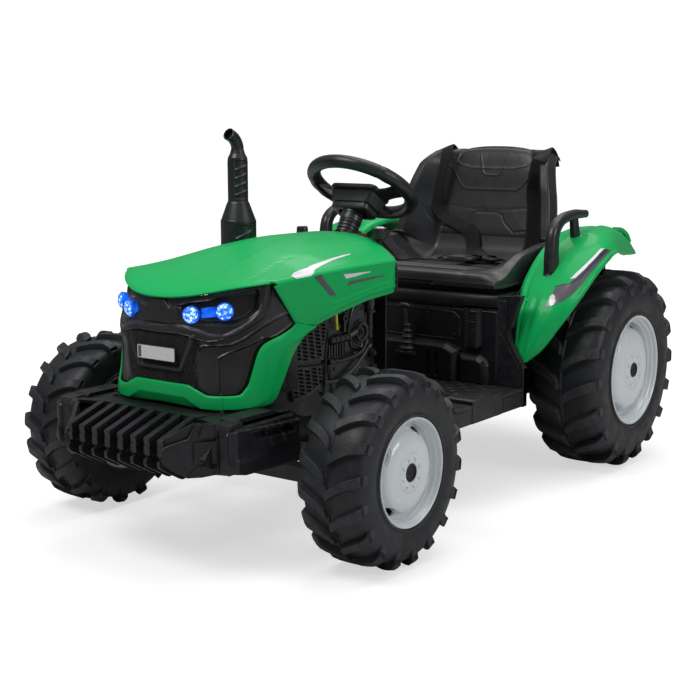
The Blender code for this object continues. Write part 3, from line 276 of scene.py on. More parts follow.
WHITE = finish_of(
    "plate_plastic_v", (0.66, 0.66, 0.65), 0.34, vary=0.05, grain=150.0, grain_depth=0.00008, scratches=0.1, dust=0.05
)
DECAL_WHITE = finish_of("stripe_white_v", (0.70, 0.70, 0.73), 0.30, coat=0.4, vary=0.04, grain=120.0, grain_depth=0.00005)
DECAL_GREY = finish_of("stripe_grey_v", (0.075, 0.068, 0.085), 0.34, coat=0.4, vary=0.10, grain=150.0, grain_depth=0.00006)
DECAL_NAVY = finish_of("stripe_navy_v", (0.018, 0.017, 0.040), 0.32, coat=0.4, vary=0.12, grain=150.0, grain_depth=0.00006)
YELLOW = finish_of("dipstick_v", (0.62, 0.55, 0.03), 0.4, vary=0.08, grain=300.0, grain_depth=0.0001)
SILVER = finish_of("silver_v", (0.62, 0.63, 0.66), 0.20, metal=1.0, vary=0.06, patch=60.0, grain=500.0, grain_depth=0.00003)
HOSE = finish_of("hose_v", (0.020, 0.020, 0.023), 0.38, vary=0.18, grain=480.0, grain_depth=0.0003, edge_wear_highlight=0.4)
RED_LENS = finish_of(
    "tail_lens_v", (0.30, 0.010, 0.010), 0.16, coat=0.6, vary=0.1, grain=120.0, grain_depth=0.0003, grain_kind="leather"
)


def lens_material():
    """Blue-white glowing lens: a bright faceted core in a deep blue ring."""
    mat = bpy.data.materials.new("headlight_lens_v")
    mat.use_nodes = True
    t = mat.node_tree
    p = t.nodes["Principled BSDF"]
    coord = t.nodes.new("ShaderNodeTexCoord")
    cells = t.nodes.new("ShaderNodeTexVoronoi")
    cells.inputs["Scale"].default_value = 185.0
    link(t, coord, "Object", cells, "Vector")
    spot = ramp(t, cells, "Distance", 0.10, 0.62, 1.0, 0.0)
    body = mixed(t, spot, "Result", (0.004, 0.150, 1.0), (0.62, 0.93, 1.0))
    t.links.new(body.outputs[2], p.inputs["Base Color"])
    t.links.new(body.outputs[2], p.inputs["Emission Color"])
    power = ramp(t, cells, "Distance", 0.08, 0.6, 1.70, 0.60)
    link(t, power, "Result", p, "Emission Strength")
    p.inputs["Roughness"].default_value = 0.08
    p.inputs["Coat Weight"].default_value = 1.0
    bump = t.nodes.new("ShaderNodeBump")
    bump.inputs["Distance"].default_value = 0.0015
    link(t, cells, "Distance", bump, "Height")
    link(t, bump, "Normal", p, "Normal")
    return mat


def glow_material():
    """The reflector bowl behind the lenses, with a painted blue glow standing in for the blue reflections in the lamp
    pockets.
    """
    mat = finish_of("reflector_v", (0.02, 0.10, 0.55), 0.25, metal=0.6, vary=0.3, patch=60.0, grain=90.0, grain_depth=0.0008)
    t = mat.node_tree
    p = t.nodes["Principled BSDF"]
    coord = t.nodes.new("ShaderNodeTexCoord")
    n = noise(t, coord, 70.0, 3.0)
    # Painted glow: emission in noisy patches on the reflector, standing in for blue reflections, not a lamp of its own.
    power = ramp(t, n, "Fac", 0.38, 0.64, 0.08, 0.85)
    p.inputs["Emission Color"].default_value = (0.006, 0.16, 1.0, 1.0)
    link(t, power, "Result", p, "Emission Strength")
    return mat


LENS = lens_material()
PAINTED_GLOW = glow_material()


# ---------------------------------------------------------------- mesh helpers
def axis_matrix(p0, p1):
    d = (Vector(p1) - Vector(p0)).normalized()
    return Matrix.Translation(Vector(p0)) @ d.to_track_quat("Z", "Y").to_matrix().to_4x4()


def smooth_interp(x, xs, ys):
    """A smooth curve through the points (cubic with limited slopes), for a number or an array."""
    xs, ys = np.asarray(xs, float), np.asarray(ys, float)
    h = np.diff(xs)
    d = np.diff(ys) / h
    m = np.zeros(len(xs))
    m[0], m[-1] = d[0], d[-1]
    for i in range(1, len(xs) - 1):
        if d[i - 1] * d[i] > 0:
            w1, w2 = 2 * h[i] + h[i - 1], h[i] + 2 * h[i - 1]
            m[i] = (w1 + w2) / (w1 / d[i - 1] + w2 / d[i])
    q = np.clip(x, xs[0], xs[-1])
    k = np.clip(np.searchsorted(xs, q, side="right") - 1, 0, len(xs) - 2)
    u = (q - xs[k]) / h[k]
    return (
        (2 * u**3 - 3 * u**2 + 1) * ys[k] + (u**3 - 2 * u**2 + u) * h[k] * m[k]
        + (-2 * u**3 + 3 * u**2) * ys[k + 1] + (u**3 - u**2) * h[k] * m[k + 1]
    )


def spline_points(points, per=4):
    pts = [Vector(p) for p in points]
    ext = [pts[0] * 2 - pts[1]] + pts + [pts[-1] * 2 - pts[-2]]
    out = []
    for i in range(1, len(ext) - 2):
        a, b, c, d = ext[i - 1 : i + 3]
        for k in range(per):
            t = k / per
            out.append(0.5 * (2 * b + (c - a) * t + (2 * a - 5 * b + 4 * c - d) * t * t + (3 * b - a - 3 * c + d) * t**3))
    out.append(pts[-1])
    return out


class Build:
    """Collects the surfaces of one piece and makes a single object of them."""

    def __init__(self):
        self.v, self.f, self.m = [], [], []

    def add(self, verts, faces, mat=0):
        base = len(self.v)
        self.v.extend(tuple(map(float, p)) for p in verts)
        self.f.extend(tuple(base + i for i in f) for f in faces)
        self.m.extend([mat] * len(faces))
        return self

    def grid(self, rows, mat=0, loop_rows=False, loop_cols=False):
        n, k = len(rows), len(rows[0])
        verts = [p for row in rows for p in row]
        faces = []
        for i in range(n if loop_rows else n - 1):
            for j in range(k if loop_cols else k - 1):
                a, b = (i + 1) % n, (j + 1) % k
                faces.append((i * k + j, i * k + b, a * k + b, a * k + j))
        return self.add(verts, faces, mat)

    def loft(self, loops, mat=0, caps=True):
        n = len(loops[0])
        verts = [p for loop in loops for p in loop]
        faces = []
        for i in range(len(loops) - 1):
            for j in range(n):
                b = (j + 1) % n
                faces.append((i * n + j, i * n + b, (i + 1) * n + b, (i + 1) * n + j))
        if caps:
            faces.append(tuple(reversed(range(n))))
            faces.append(tuple((len(loops) - 1) * n + j for j in range(n)))
        return self.add(verts, faces, mat)

    def box(self, lo, hi, mat=0, place=None):
        (x0, y0, z0), (x1, y1, z1) = lo, hi
        v = [Vector(p) for p in ((x0, y0, z0), (x1, y0, z0), (x1, y1, z0), (x0, y1, z0), (x0, y0, z1), (x1, y0, z1), (x1, y1, z1), (x0, y1, z1))]
        if place is not None:
            v = [place @ p for p in v]
        return self.add(v, [(3, 2, 1, 0), (4, 5, 6, 7), (0, 1, 5, 4), (1, 2, 6, 5), (2, 3, 7, 6), (3, 0, 4, 7)], mat)

    def plate(self, outline, plane, lo, hi, mat=0, place=None):
        def at(u, v, w):
            p = {"X": (w, u, v), "Y": (u, w, v), "Z": (u, v, w)}[plane]
            return place @ Vector(p) if place is not None else p

        n = len(outline)
        verts = [at(u, v, lo) for u, v in outline] + [at(u, v, hi) for u, v in outline]
        faces = [tuple(reversed(range(n))), tuple(range(n, 2 * n))]
        faces += [(i, (i + 1) % n, n + (i + 1) % n, n + i) for i in range(n)]
        return self.add(verts, faces, mat)

    def tube(self, pts, r, n=10, mat=0, caps=True, squash=1.0, side=None):
        pts = [Vector(p) for p in pts]
        side = Vector(side) if side is not None else None
        loops = []
        u = None
        for i, p in enumerate(pts):
            d = (pts[min(len(pts) - 1, i + 1)] - pts[max(0, i - 1)]).normalized()
            if side is not None:
                u = (side - d * side.dot(d)).normalized()
            elif u is None:
                u = d.orthogonal().normalized()
            else:
                u = (u - d * u.dot(d)).normalized()
            w = d.cross(u)
            rr = r[i] if hasattr(r, "__len__") else r
            loops.append([p + u * rr * math.cos(2 * math.pi * k / n) + w * rr * squash * math.sin(2 * math.pi * k / n) for k in range(n)])
        return self.loft(loops, mat, caps)

    def revolve(self, profile, place, steps=48, mat=0, closed=False):
        rows = []
        for r, h in profile:
            rows.append([place @ Vector((r * math.cos(2 * math.pi * k / steps), r * math.sin(2 * math.pi * k / steps), h)) for k in range(steps)])
        return self.grid(rows, mat, loop_rows=closed, loop_cols=True)

    def ball(self, centre, radii, mat=0, n=10, place=None):
        rows = []
        for i in range(1, n):
            a = math.pi * i / n
            rows.append([Vector((radii[0] * math.sin(a) * math.cos(2 * math.pi * k / (2 * n)), radii[1] * math.sin(a) * math.sin(2 * math.pi * k / (2 * n)), radii[2] * math.cos(a))) for k in range(2 * n)])
        c = Vector(centre)
        if place is not None:
            rows = [[place @ (c + p) for p in row] for row in rows]
        else:
            rows = [[c + p for p in row] for row in rows]
        return self.loft(rows, mat, True)

    def done(
        self, name, mats, body="chassis", replaces=(), slot=None, bevel=0.0, seg=2, angle=32, subd=0, solid=0.0,
        offset=-1.0, weld=0.00001, recalc=True, limit=32, after=None,
    ):
        mesh = bpy.data.meshes.new(name)
        mesh.from_pydata(self.v, [], self.f)
        mesh.polygons.foreach_set("material_index", self.m)
        bm = bmesh.new()
        bm.from_mesh(mesh)
        if weld:
            bmesh.ops.remove_doubles(bm, verts=bm.verts, dist=weld)
        if recalc:
            bmesh.ops.recalc_face_normals(bm, faces=bm.faces)
        if after:
            after(bm)
        bm.to_mesh(mesh)
        bm.free()
        for m in mats if isinstance(mats, (list, tuple)) else [mats]:
            mesh.materials.append(m)
        mesh.shade_smooth()
        mesh.set_sharp_from_angle(angle=R(angle))
        obj = bpy.data.objects.new(name, mesh)
        HOME.objects.link(obj)
        if solid:
            mod = obj.modifiers.new("Solidify", "SOLIDIFY")
            mod.thickness = solid
            mod.offset = offset
            mod.use_even_offset = False
        if bevel:
            mod = obj.modifiers.new("Bevel", "BEVEL")
            mod.width = bevel
            mod.segments = seg
            mod.limit_method = "ANGLE"
            mod.angle_limit = R(limit)
            mod.harden_normals = True
            mod.use_clamp_overlap = True
        if subd:
            mod = obj.modifiers.new("Subdivision", "SUBSURF")
            mod.levels = subd
            mod.render_levels = subd
        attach(obj, body)
        if replaces:
            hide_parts(*([replaces] if isinstance(replaces, str) else replaces))
        return obj


def flip_normals(obj):
    bm = bmesh.new()
    bm.from_mesh(obj.data)
    bmesh.ops.reverse_faces(bm, faces=bm.faces)
    bm.to_mesh(obj.data)
    bm.free()


# Distances to flat outlines, in metres, for moulded relief; negative inside.
def sd_box(u, v, cu, cv, hu, hv, r=0.0):
    a, b = np.abs(u - cu) - (hu - r), np.abs(v - cv) - (hv - r)
    return np.hypot(np.maximum(a, 0), np.maximum(b, 0)) + np.minimum(np.maximum(a, b), 0) - r


def sd_circle(u, v, cu, cv, r):
    return np.hypot(u - cu, v - cv) - r


def sd_line(u, v, pts):
    """Distance to an open polyline."""
    best = np.full(np.shape(u), 1e9)
    for (ax, ay), (bx, by) in zip(pts, pts[1:]):
        dx, dy = bx - ax, by - ay
        t = np.clip(((u - ax) * dx + (v - ay) * dy) / max(1e-12, dx * dx + dy * dy), 0, 1)
        best = np.minimum(best, np.hypot(u - ax - t * dx, v - ay - t * dy))
    return best


def sd_poly(u, v, pts):
    d = sd_line(u, v, list(pts) + [pts[0]])
    inside = np.zeros(np.shape(u), bool)
    n = len(pts)
    for i in range(n):
        (ax, ay), (bx, by) = pts[i], pts[(i + 1) % n]
        cross = ((ay > v) != (by > v)) & (u < (bx - ax) * (v - ay) / (by - ay + 1e-15) + ax)
        inside ^= cross
    return np.where(inside, -d, d)


def step(d, width=0.0012):
    """1 inside a shape, 0 outside it, with a ramp of that width."""
    t = np.clip(0.5 - d / width, 0, 1)
    return t * t * (3 - 2 * t)


def bead(d, half, soft=0.6):
    """A rounded ridge or groove of that half width round a line."""
    t = np.clip(1 - np.abs(d) / half, 0, 1)
    return t ** soft


# ---------------------------------------------------------------- camera, floor and light
yaw, pitch = R(36.2351), R(9.8788)
back = Vector((math.sin(yaw) * math.cos(pitch), -math.cos(yaw) * math.cos(pitch), math.sin(pitch)))
cam_data = bpy.data.cameras.new("camera")
cam_data.sensor_fit = "HORIZONTAL"
cam_data.sensor_width = 36.0
cam_data.lens = 36.0 * 1314.9 / 700.0
cam_data.clip_end = 60.0
cam = bpy.data.objects.new("camera", cam_data)
cam.location = (1.500165, -2.08034, 0.715275)
cam.rotation_mode = "QUATERNION"
cam.rotation_quaternion = (-back).to_track_quat("-Z", "Y")
scene.collection.objects.link(cam)
scene.camera = cam

floor_mat = finish_of(
    "studio_floor", (0.58, 0.58, 0.58), 0.55, vary=0.004, patch=1.2, rough_vary=0.05, grain=60.0, grain_depth=0.0001, spec=0.3
)
floor_mesh = bpy.data.meshes.new("studio_floor")
floor_mesh.from_pydata([(-14, -14, 0), (14, -14, 0), (14, 14, 0), (-14, 14, 0)], [], [(0, 1, 2, 3)])
floor_mesh.materials.append(floor_mat)
floor_obj = bpy.data.objects.new("studio_floor", floor_mesh)
HOME.objects.link(floor_obj)
# Away from the part the sweep glows a little, as a lit backdrop does, so the floor runs into a white background.
ftree = floor_mat.node_tree
fp = ftree.nodes["Principled BSDF"]
fcoord = ftree.nodes.new("ShaderNodeTexCoord")
flen = ftree.nodes.new("ShaderNodeVectorMath")
flen.operation = "LENGTH"
link(ftree, fcoord, "Object", flen, 0)
fall = ramp(ftree, flen, "Value", 0.55, 4.2, 0.60, 0.90)
fpath = ftree.nodes.new("ShaderNodeLightPath")
fboth = ftree.nodes.new("ShaderNodeMath")
fboth.operation = "MULTIPLY"
link(ftree, fall, "Result", fboth, 0)
link(ftree, fpath, "Is Camera Ray", fboth, 1)
fp.inputs["Emission Color"].default_value = (1.0, 1.0, 1.0, 1.0)
link(ftree, fboth, "Value", fp, "Emission Strength")

world = bpy.data.worlds.new("studio")
scene.world = world
world.use_nodes = True
wt = world.node_tree
bg = wt.nodes["Background"]
path = wt.nodes.new("ShaderNodeLightPath")
# A soft tent: bright overhead, dim at the horizon; what the camera sees directly is plain white.
wcoord = wt.nodes.new("ShaderNodeTexCoord")
wsep = wt.nodes.new("ShaderNodeSeparateXYZ")
link(wt, wcoord, "Generated", wsep, "Vector")
tent = ramp(wt, wsep, "Z", 0.0, 0.9, 0.11, 0.38)
seen = wt.nodes.new("ShaderNodeMix")
link(wt, path, "Is Camera Ray", seen, 0)
link(wt, tent, "Result", seen, 2)
seen.inputs[3].default_value = 1.05
link(wt, seen, 0, bg, "Strength")
bg.inputs["Color"].default_value = (1.0, 1.0, 1.0, 1.0)


def area(name, at, to, size, power, size_y=None):
    data = bpy.data.lights.new(name, "AREA")
    data.energy = power
    data.shape = "RECTANGLE"
    data.size = size
    data.size_y = size_y or size
    obj = bpy.data.objects.new(name, data)
    obj.location = at
    obj.rotation_mode = "QUATERNION"
    obj.rotation_quaternion = (Vector(to) - Vector(at)).to_track_quat("-Z", "Y")
    scene.collection.objects.link(obj)
    return obj


area("key", (-0.6, -2.2, 3.0), (0, -0.1, 0.3), 1.8, 52.0, 1.2)
area("top", (0.4, 0.6, 3.4), (0, 0, 0.3), 2.4, 46.0)
area("side", (3.2, 0.3, 1.7), (0.1, 0, 0.3), 1.6, 29.0, 1.0)
area("rear", (-1.4, 2.4, 3.2), (0, 0.2, 0.4), 1.8, 16.0, 1.2)


# ---------------------------------------------------------------- wheels
FRONT_AXLE_Y, REAR_AXLE_Y = -0.380, 0.438
PITCH = 20.0


def tyre_piece(end, side, s, out_x, y, radius, width, lip, lug_h, phase, bar):
    """A lugged tractor tyre: phi is 0 at the front and 90 degrees at the top of the wheel."""
    cx, half = out_x - width / 2, width / 2

    def at(phi, r, w):
        a = R(phi)
        return Vector((s * (cx + w), y - r * math.cos(a), radius + r * math.sin(a)))

    body_r = radius - lug_h
    b = Build()
    bead_r = lip + 0.0004
    # Carcass: (offset from the wheel's middle as a part of its half width, radius).
    prof = [
        (0.945, bead_r), (0.985, bead_r + 0.0003), (0.998, bead_r + 0.0022), (0.992, bead_r + 0.0042), (0.962, bead_r + 0.0050),
        (0.962, bead_r + 0.0085), (0.975, bead_r + 0.0105), (0.990, radius * 0.665), (1.0, radius * 0.705), (0.998, radius * 0.745),
        (0.985, radius * 0.79), (0.962, radius * 0.825), (0.925, radius * 0.862), (0.87, body_r * 0.945), (0.76, body_r * 0.972),
        (0.60, body_r * 0.986), (0.40, body_r * 0.995), (0.20, body_r), (0.030, body_r), (0.012, body_r + 0.0022), (-0.012, body_r + 0.0022),
    ]
    full = prof + [(-w, r) for w, r in reversed(prof[:-1])]
    steps = 108
    rows = [[at(360.0 * k / steps, r, half * w) for k in range(steps)] for w, r in full]
    b.grid(rows, 0, loop_rows=True, loop_cols=True)
    spread = bar / radius * 57.2958
    pits = []
    for hand in (1, -1):
        for i in range(18):
            tail = phase + PITCH * i + (0 if hand > 0 else PITCH / 2)
            loops = []
            # (part of the half width, rise of the trailing edge in degrees, bar's part, height, radius factor)
            st = [
                (0.012, 0.0, 0.62, 0.86), (0.05, 0.35, 0.90, 1.0), (0.115, 1.6, 1.02, 1.0), (0.25, 3.8, 1.02, 1.0),
                (0.42, 6.0, 1.0, 1.0), (0.60, 7.9, 1.0, 1.0), (0.78, 9.3, 1.04, 0.985), (0.90, 10.0, 1.12, 0.93),
            ]
            for k, (w, rise, part, up) in enumerate(st):
                lo_phi = tail + rise
                hi_phi = lo_phi + spread * part
                base = np.interp(w, (0.2, 0.6, 0.87), (body_r, body_r * 0.986, body_r * 0.945)) - 0.002
                top = radius * (1.0 - 0.0 * w) * float(np.interp(w, (0.0, 0.55, 0.80, 0.90), (1.0, 0.998, 0.985, 0.960)))
                top = base + (top - base) * up
                mid = base + (top - base) * 0.55
                x = hand * half * w
                flare = 0.16 * spread
                loops.append([
                    at(lo_phi - flare, base, x), at(lo_phi - flare * 0.35, mid, x), at(lo_phi + flare * 0.25, top, x),
                    at(hi_phi - flare * 0.25, top, x), at(hi_phi + flare * 0.35, mid, x), at(hi_phi + flare, base, x),
                ])
            # Down over the shoulder and on to the sidewall.
            for w_out, r_out, w_in, r_in, rise, part in (
                (0.995, 0.915, 0.86, 0.85, 10.6, 1.20), (1.0, 0.862, 0.90, 0.82, 11.0, 1.22), (0.999, 0.812, 0.93, 0.79, 11.3, 1.14),
                (0.985, 0.782, 0.95, 0.775, 11.6, 0.95),
            ):
                lo_phi = tail + rise
                hi_phi = lo_phi + spread * part
                flare = 0.13 * spread
                xo, xi = hand * half * min(w_out, 0.9995), hand * half * w_in
                xm = (xo + xi) / 2
                ro, ri = radius * r_out, radius * r_in
                rm = (ro + ri) / 2
                loops.append([
                    at(lo_phi - flare, ri, xi), at(lo_phi - flare * 0.35, rm, xm), at(lo_phi + flare * 0.25, ro, xo),
                    at(hi_phi - flare * 0.25, ro, xo), at(hi_phi + flare * 0.35, rm, xm), at(hi_phi + flare, ri, xi),
                ])
            base_i = len(b.f)
            b.loft(loops, 0, True)
            # The top face of the shoulder block takes a small diamond pit.
            pits.append(base_i + (len(st)) * 6 + 2)
    pit_set = set(pits)
    centres = []
    for i in pit_set:
        f = b.f[i]
        c = sum((Vector(b.v[k]) for k in f), Vector()) / len(f)
        centres.append(c)

    def dig(bm):
        bm.faces.ensure_lookup_table()
        tree = {}
        for c in centres:
            tree[(round(c.x, 4), round(c.y, 4), round(c.z, 4))] = c
        chosen = [f for f in bm.faces if len(f.verts) == 4 and (round(f.calc_center_median().x, 4), round(f.calc_center_median().y, 4), round(f.calc_center_median().z, 4)) in tree]
        out = bmesh.ops.inset_individual(bm, faces=chosen, thickness=0.0036, depth=0.0)
        for f in chosen:
            n = f.normal.copy()
            for v in f.verts:
                v.co -= n * 0.0035

    return b.done(
        f"{end}_tyre_{side}_v", TYRE, f"{end}_wheel_{side}", f"{end}_tyre_{side}", "tyre_plastic", bevel=0.0011, seg=2,
        angle=40, weld=0.0, after=dig, limit=28,
    )


def rim_piece(end, side, s, out_x, y, radius, width, lip, bore, dished, hub_reach, turn):
    half = width / 2
    centre = Vector((s * (out_x - half), y, radius))
    place = Matrix.Translation(centre) @ Matrix(((0, 0, s, 0), (-1, 0, 0, 0), (0, -s, 0, 0), (0, 0, 0, 1)))
    # Local x runs to the front, local y (for s > 0) down, local z out along the axle.
    k = lip / 0.091
    face = half - 0.0008
    hb = half - hub_reach
    d = dished
    prof = [
        (lip, -half + 0.0045), (lip, face - 0.0055), (0.0908 * k, face - 0.0028), (0.0898 * k, face - 0.0006), (0.0884 * k, face),
        (0.0868 * k, face - 0.0008), (0.0856 * k, face - 0.0030), (0.0850 * k, face - 0.0078), (0.0838 * k, face - 0.0090),
        (0.0826 * k, face - 0.0088), (0.0818 * k, face - 0.0100), (0.0812 * k, face - 0.0150), (0.0802 * k, face - 0.0165),
        (0.0790 * k, face - 0.0168), (0.0782 * k, face - 0.0180), (0.0776 * k, face - d * 0.95), (0.0768 * k, face - d * 1.05),
        (0.0752 * k, face - d * 1.10), (0.0730 * k, face - d * 1.08), (0.0705 * k, face - d * 0.98), (0.0682 * k, face - d * 0.80),
        (0.0662 * k, face - d * 0.62), (0.0636 * k, face - d * 0.47), (0.0600 * k, face - d * 0.35), (0.0550 * k, face - d * 0.27),
        (0.0490 * k, face - d * 0.23), (0.0420 * k, face - d * 0.21), (0.0345 * k, face - d * 0.20), (0.0325 * k, face - d * 0.195),
        (0.0318 * k, face - d * 0.17), (0.0306 * k, face - d * 0.155), (0.0180 * k, face - d * 0.15),
        (0.0160, face - d * 0.15), (0.0152, face - d * 0.15 - 0.0008), (0.0150, face - 0.0158), (0.0148, face - 0.0166),
        (bore, face - 0.0190), (bore, hb), (0.0255 * k, hb), (0.0270 * k, hb + 0.002), (0.0300 * k, face - d * 0.45 - 0.006),
        (0.0660 * k, face - d * 0.80 - 0.006), (0.0765 * k, face - d * 1.1 - 0.008), (0.0860 * k, face - d - 0.016), (0.0868 * k, -half + 0.0045),
    ]
    b = Build()
    b.revolve(prof, place, 120, 0, closed=True)
    e = Build()
    slots = Build()
    arcs = Build()
    for j in range(4):
        a0 = R(turn + 90 * j)
        c_r = 0.0698 * k
        ring = []
        for m in range(20):
            t = 2 * math.pi * m / 20
            du, dv = 0.0150 * k * math.cos(t), 0.0058 * k * math.sin(t)
            rr, tt = c_r + dv, a0 + du / c_r
            ring.append((rr * math.cos(tt), rr * math.sin(tt)))
        slots.loft([[place @ Vector((p[0], p[1], z)) for p in ring] for z in (face - 0.040, face + 0.02)], 1)
        pts = []
        for m in range(13):
            t = math.pi * m / 12
            rr = c_r - 0.0010 * k - 0.0068 * k * math.sin(t) ** 0.8
            tt = a0 + 0.0175 * k * math.cos(t) / c_r
            z = face - float(np.interp(rr / k, (0.060, 0.0636, 0.0662, 0.0682, 0.0705, 0.073), (d * 0.35, d * 0.47, d * 0.62, d * 0.80, d * 0.98, d * 1.08)))
            pts.append(place @ Vector((rr * math.cos(tt), rr * math.sin(tt), z + 0.0004)))
        e.tube(pts, [0.0005] + [0.0010 * k] * 11 + [0.0005], 8)
    for j in range(8):
        a = math.pi / 4 * j + 0.3
        e.revolve([(0.0046 * k, -0.0004), (0.0046 * k, 0.0006), (0.0038 * k, 0.0012), (0.0033 * k, 0.0016), (0.0031 * k, 0.0024), (0.0024 * k, 0.0029), (0.0, 0.0031)], place @ Matrix.Translation((0.0238 * k * math.cos(a), 0.0238 * k * math.sin(a), face - d * 0.15 - 0.0004)), 18, 0)
    e.done(f"{end}_bolts_{side}_v", [RIM], f"{end}_wheel_{side}", (), "rim_plastic", angle=40)
    cutter_mesh = bpy.data.meshes.new("slot_cut")
    cutter_mesh.from_pydata(slots.v, [], slots.f)
    bm = bmesh.new()
    bm.from_mesh(cutter_mesh)
    bmesh.ops.recalc_face_normals(bm, faces=bm.faces)
    bm.to_mesh(cutter_mesh)
    bm.free()
    cutter = bpy.data.objects.new("slot_cut", cutter_mesh)
    HOME.objects.link(cutter)
    obj = b.done(f"{end}_rim_{side}_v", [RIM], f"{end}_wheel_{side}", f"{end}_rim_{side}", "rim_plastic", angle=40)
    mod = obj.modifiers.new("Slots", "BOOLEAN")
    mod.operation = "DIFFERENCE"
    mod.object = cutter
    mod.solver = "EXACT"
    bake(obj)
    bpy.data.objects.remove(cutter, do_unlink=True)
    # A dark ring behind the slots, painted shade where they look into the wheel, and the black socket round the axle's
    # end.
    n = Build()
    n.revolve([(0.0480 * k, face - d * 1.1 - 0.0130), (0.084 * k, face - d * 1.1 - 0.0150), (0.084 * k, face - d * 1.1 - 0.0165), (0.0480 * k, face - d * 1.1 - 0.0145)], place, 60, 0, True)
    n.revolve(
        [
            (0.0148, face - 0.0160), (0.0148, face - 0.0034), (0.0140, face - 0.0026), (0.0126, face - 0.0026), (0.0118, face - 0.0034),
            (0.0114, face - 0.0048), (0.0, face - 0.0050), (0.0, face - 0.0054), (0.0142, face - 0.0054), (0.0142, face - 0.0160),
        ],
        place, 36, 0, False,
    )
    for j in range(10 if end == "rear" else 6):
        a = 2 * math.pi * j / (10 if end == "rear" else 6)
        n.ball((0.0098 * math.cos(a), 0.0098 * math.sin(a), face - 0.0050), (0.0016, 0.0016, 0.0012), 0, 4, place)
    n.ball((0, 0, face - 0.0050), (0.0042, 0.0042, 0.0018), 0, 6, place)
    n.done(f"{end}_hub_{side}_v", DEEP, f"{end}_wheel_{side}", (), "black_plastic", angle=40)
    # Thin bead ring between rim and tyre.
    q = Build()
    q.revolve([(lip + 0.0002, face - 0.003), (lip + 0.0030, face - 0.0012), (lip + 0.0034, face - 0.0035), (lip + 0.0004, face - 0.006)], place, 72, 0, True)
    q.done(f"{end}_bead_{side}_v", DEEP, f"{end}_wheel_{side}", (), "tyre_plastic", angle=40)


def bake(obj):
    """Applies an object's modifiers."""
    bpy.context.view_layer.update()
    graph = bpy.context.evaluated_depsgraph_get()
    mesh = bpy.data.meshes.new_from_object(obj.evaluated_get(graph))
    old = obj.data
    obj.modifiers.clear()
    obj.data = mesh
    bpy.data.meshes.remove(old)
    obj.data.shade_smooth()
    obj.data.set_sharp_from_angle(angle=R(38))
    return obj


for side, s in (("left", 1), ("right", -1)):
    tyre_piece("front", side, s, 0.380, FRONT_AXLE_Y, 0.1615, 0.120, 0.091, 0.0100, 12.5, 0.0165)
    rim_piece("front", side, s, 0.380, FRONT_AXLE_Y, 0.1615, 0.120, 0.091, 0.0065, 0.022, 0.0560, 58)
    tyre_piece("rear", side, s, 0.392, REAR_AXLE_Y, 0.205, 0.1505, 0.115, 0.0130, 4.8, 0.0205)
    rim_piece("rear", side, s, 0.392, REAR_AXLE_Y, 0.205, 0.1505, 0.115, 0.0076, 0.030, 0.392 - 0.2310, 58)


# ---------------------------------------------------------------- body surfaces
CROWN_Y = (-0.566, -0.5, -0.4, -0.3, -0.2, -0.1, -0.04)
CROWN_Z = (0.440, 0.4632, 0.4855, 0.5034, 0.5102, 0.5093, 0.508)
SHOULDER_Y = (-0.566, -0.465, -0.123, -0.04)
SHOULDER_Z = (0.440, 0.4625, 0.466, 0.466)


def hood_top_z(x, y):
    low = np.interp(y, SHOULDER_Y, SHOULDER_Z)
    rise = smooth_interp(y, CROWN_Y, CROWN_Z) - low
    return low + rise * (1 - np.minimum(1.0, np.abs(x) / 0.170) ** 2.5)


def hood_front_y(x):
    return -0.566 + 0.100 * (np.abs(x) / 0.165) ** 2.2


def nose_y(x, z):
    t = np.clip((z - 0.26) / 0.18, 0, 1)
    power = 5.0 + (2.2 - 5.0) * t
    centre = smooth_interp(z, (0.24, 0.27, 0.33, 0.38, 0.44), (-0.545, -0.552, -0.560, -0.562, -0.558))
    reach = np.interp(z, (0.26, 0.44), (0.085, 0.100))
    return centre + reach * (np.abs(x) / 0.165) ** power


def skin(s, z):
    """A point of the nose's skin: s runs round the plan from the middle, over the corner and along the side."""
    a = np.abs(s)
    x = np.where(a <= 0.150, a, 0.150 + 0.020 * (1 - np.exp(-(np.maximum(a, 0.150) - 0.150) / 0.020)))
    y = nose_y(np.minimum(a, 0.163), z) + np.maximum(0, a - 0.163)
    return np.sign(s) * x, y


def skin_point(s, z, lift=0.0):
    """The same, moved out by lift along the plan's normal."""
    s, z, lift = np.broadcast_arrays(np.asarray(s, float), np.asarray(z, float), np.asarray(lift, float))
    e = 0.0004
    x0, y0 = skin(s - e, z)
    x1, y1 = skin(s + e, z)
    tx, ty = x1 - x0, y1 - y0
    n = np.hypot(tx, ty) + 1e-12
    x, y = skin(s, z)
    return np.stack([x + ty / n * lift, y - tx / n * lift, z], axis=-1)


def facing(point):
    """Makes an open sheet's faces look away from a point."""
    c = Vector(point)

    def turn(bm):
        total = sum(f.normal.dot(f.calc_center_median() - c) * f.calc_area() for f in bm.faces)
        if total < 0:
            bmesh.ops.reverse_faces(bm, faces=bm.faces)

    return turn


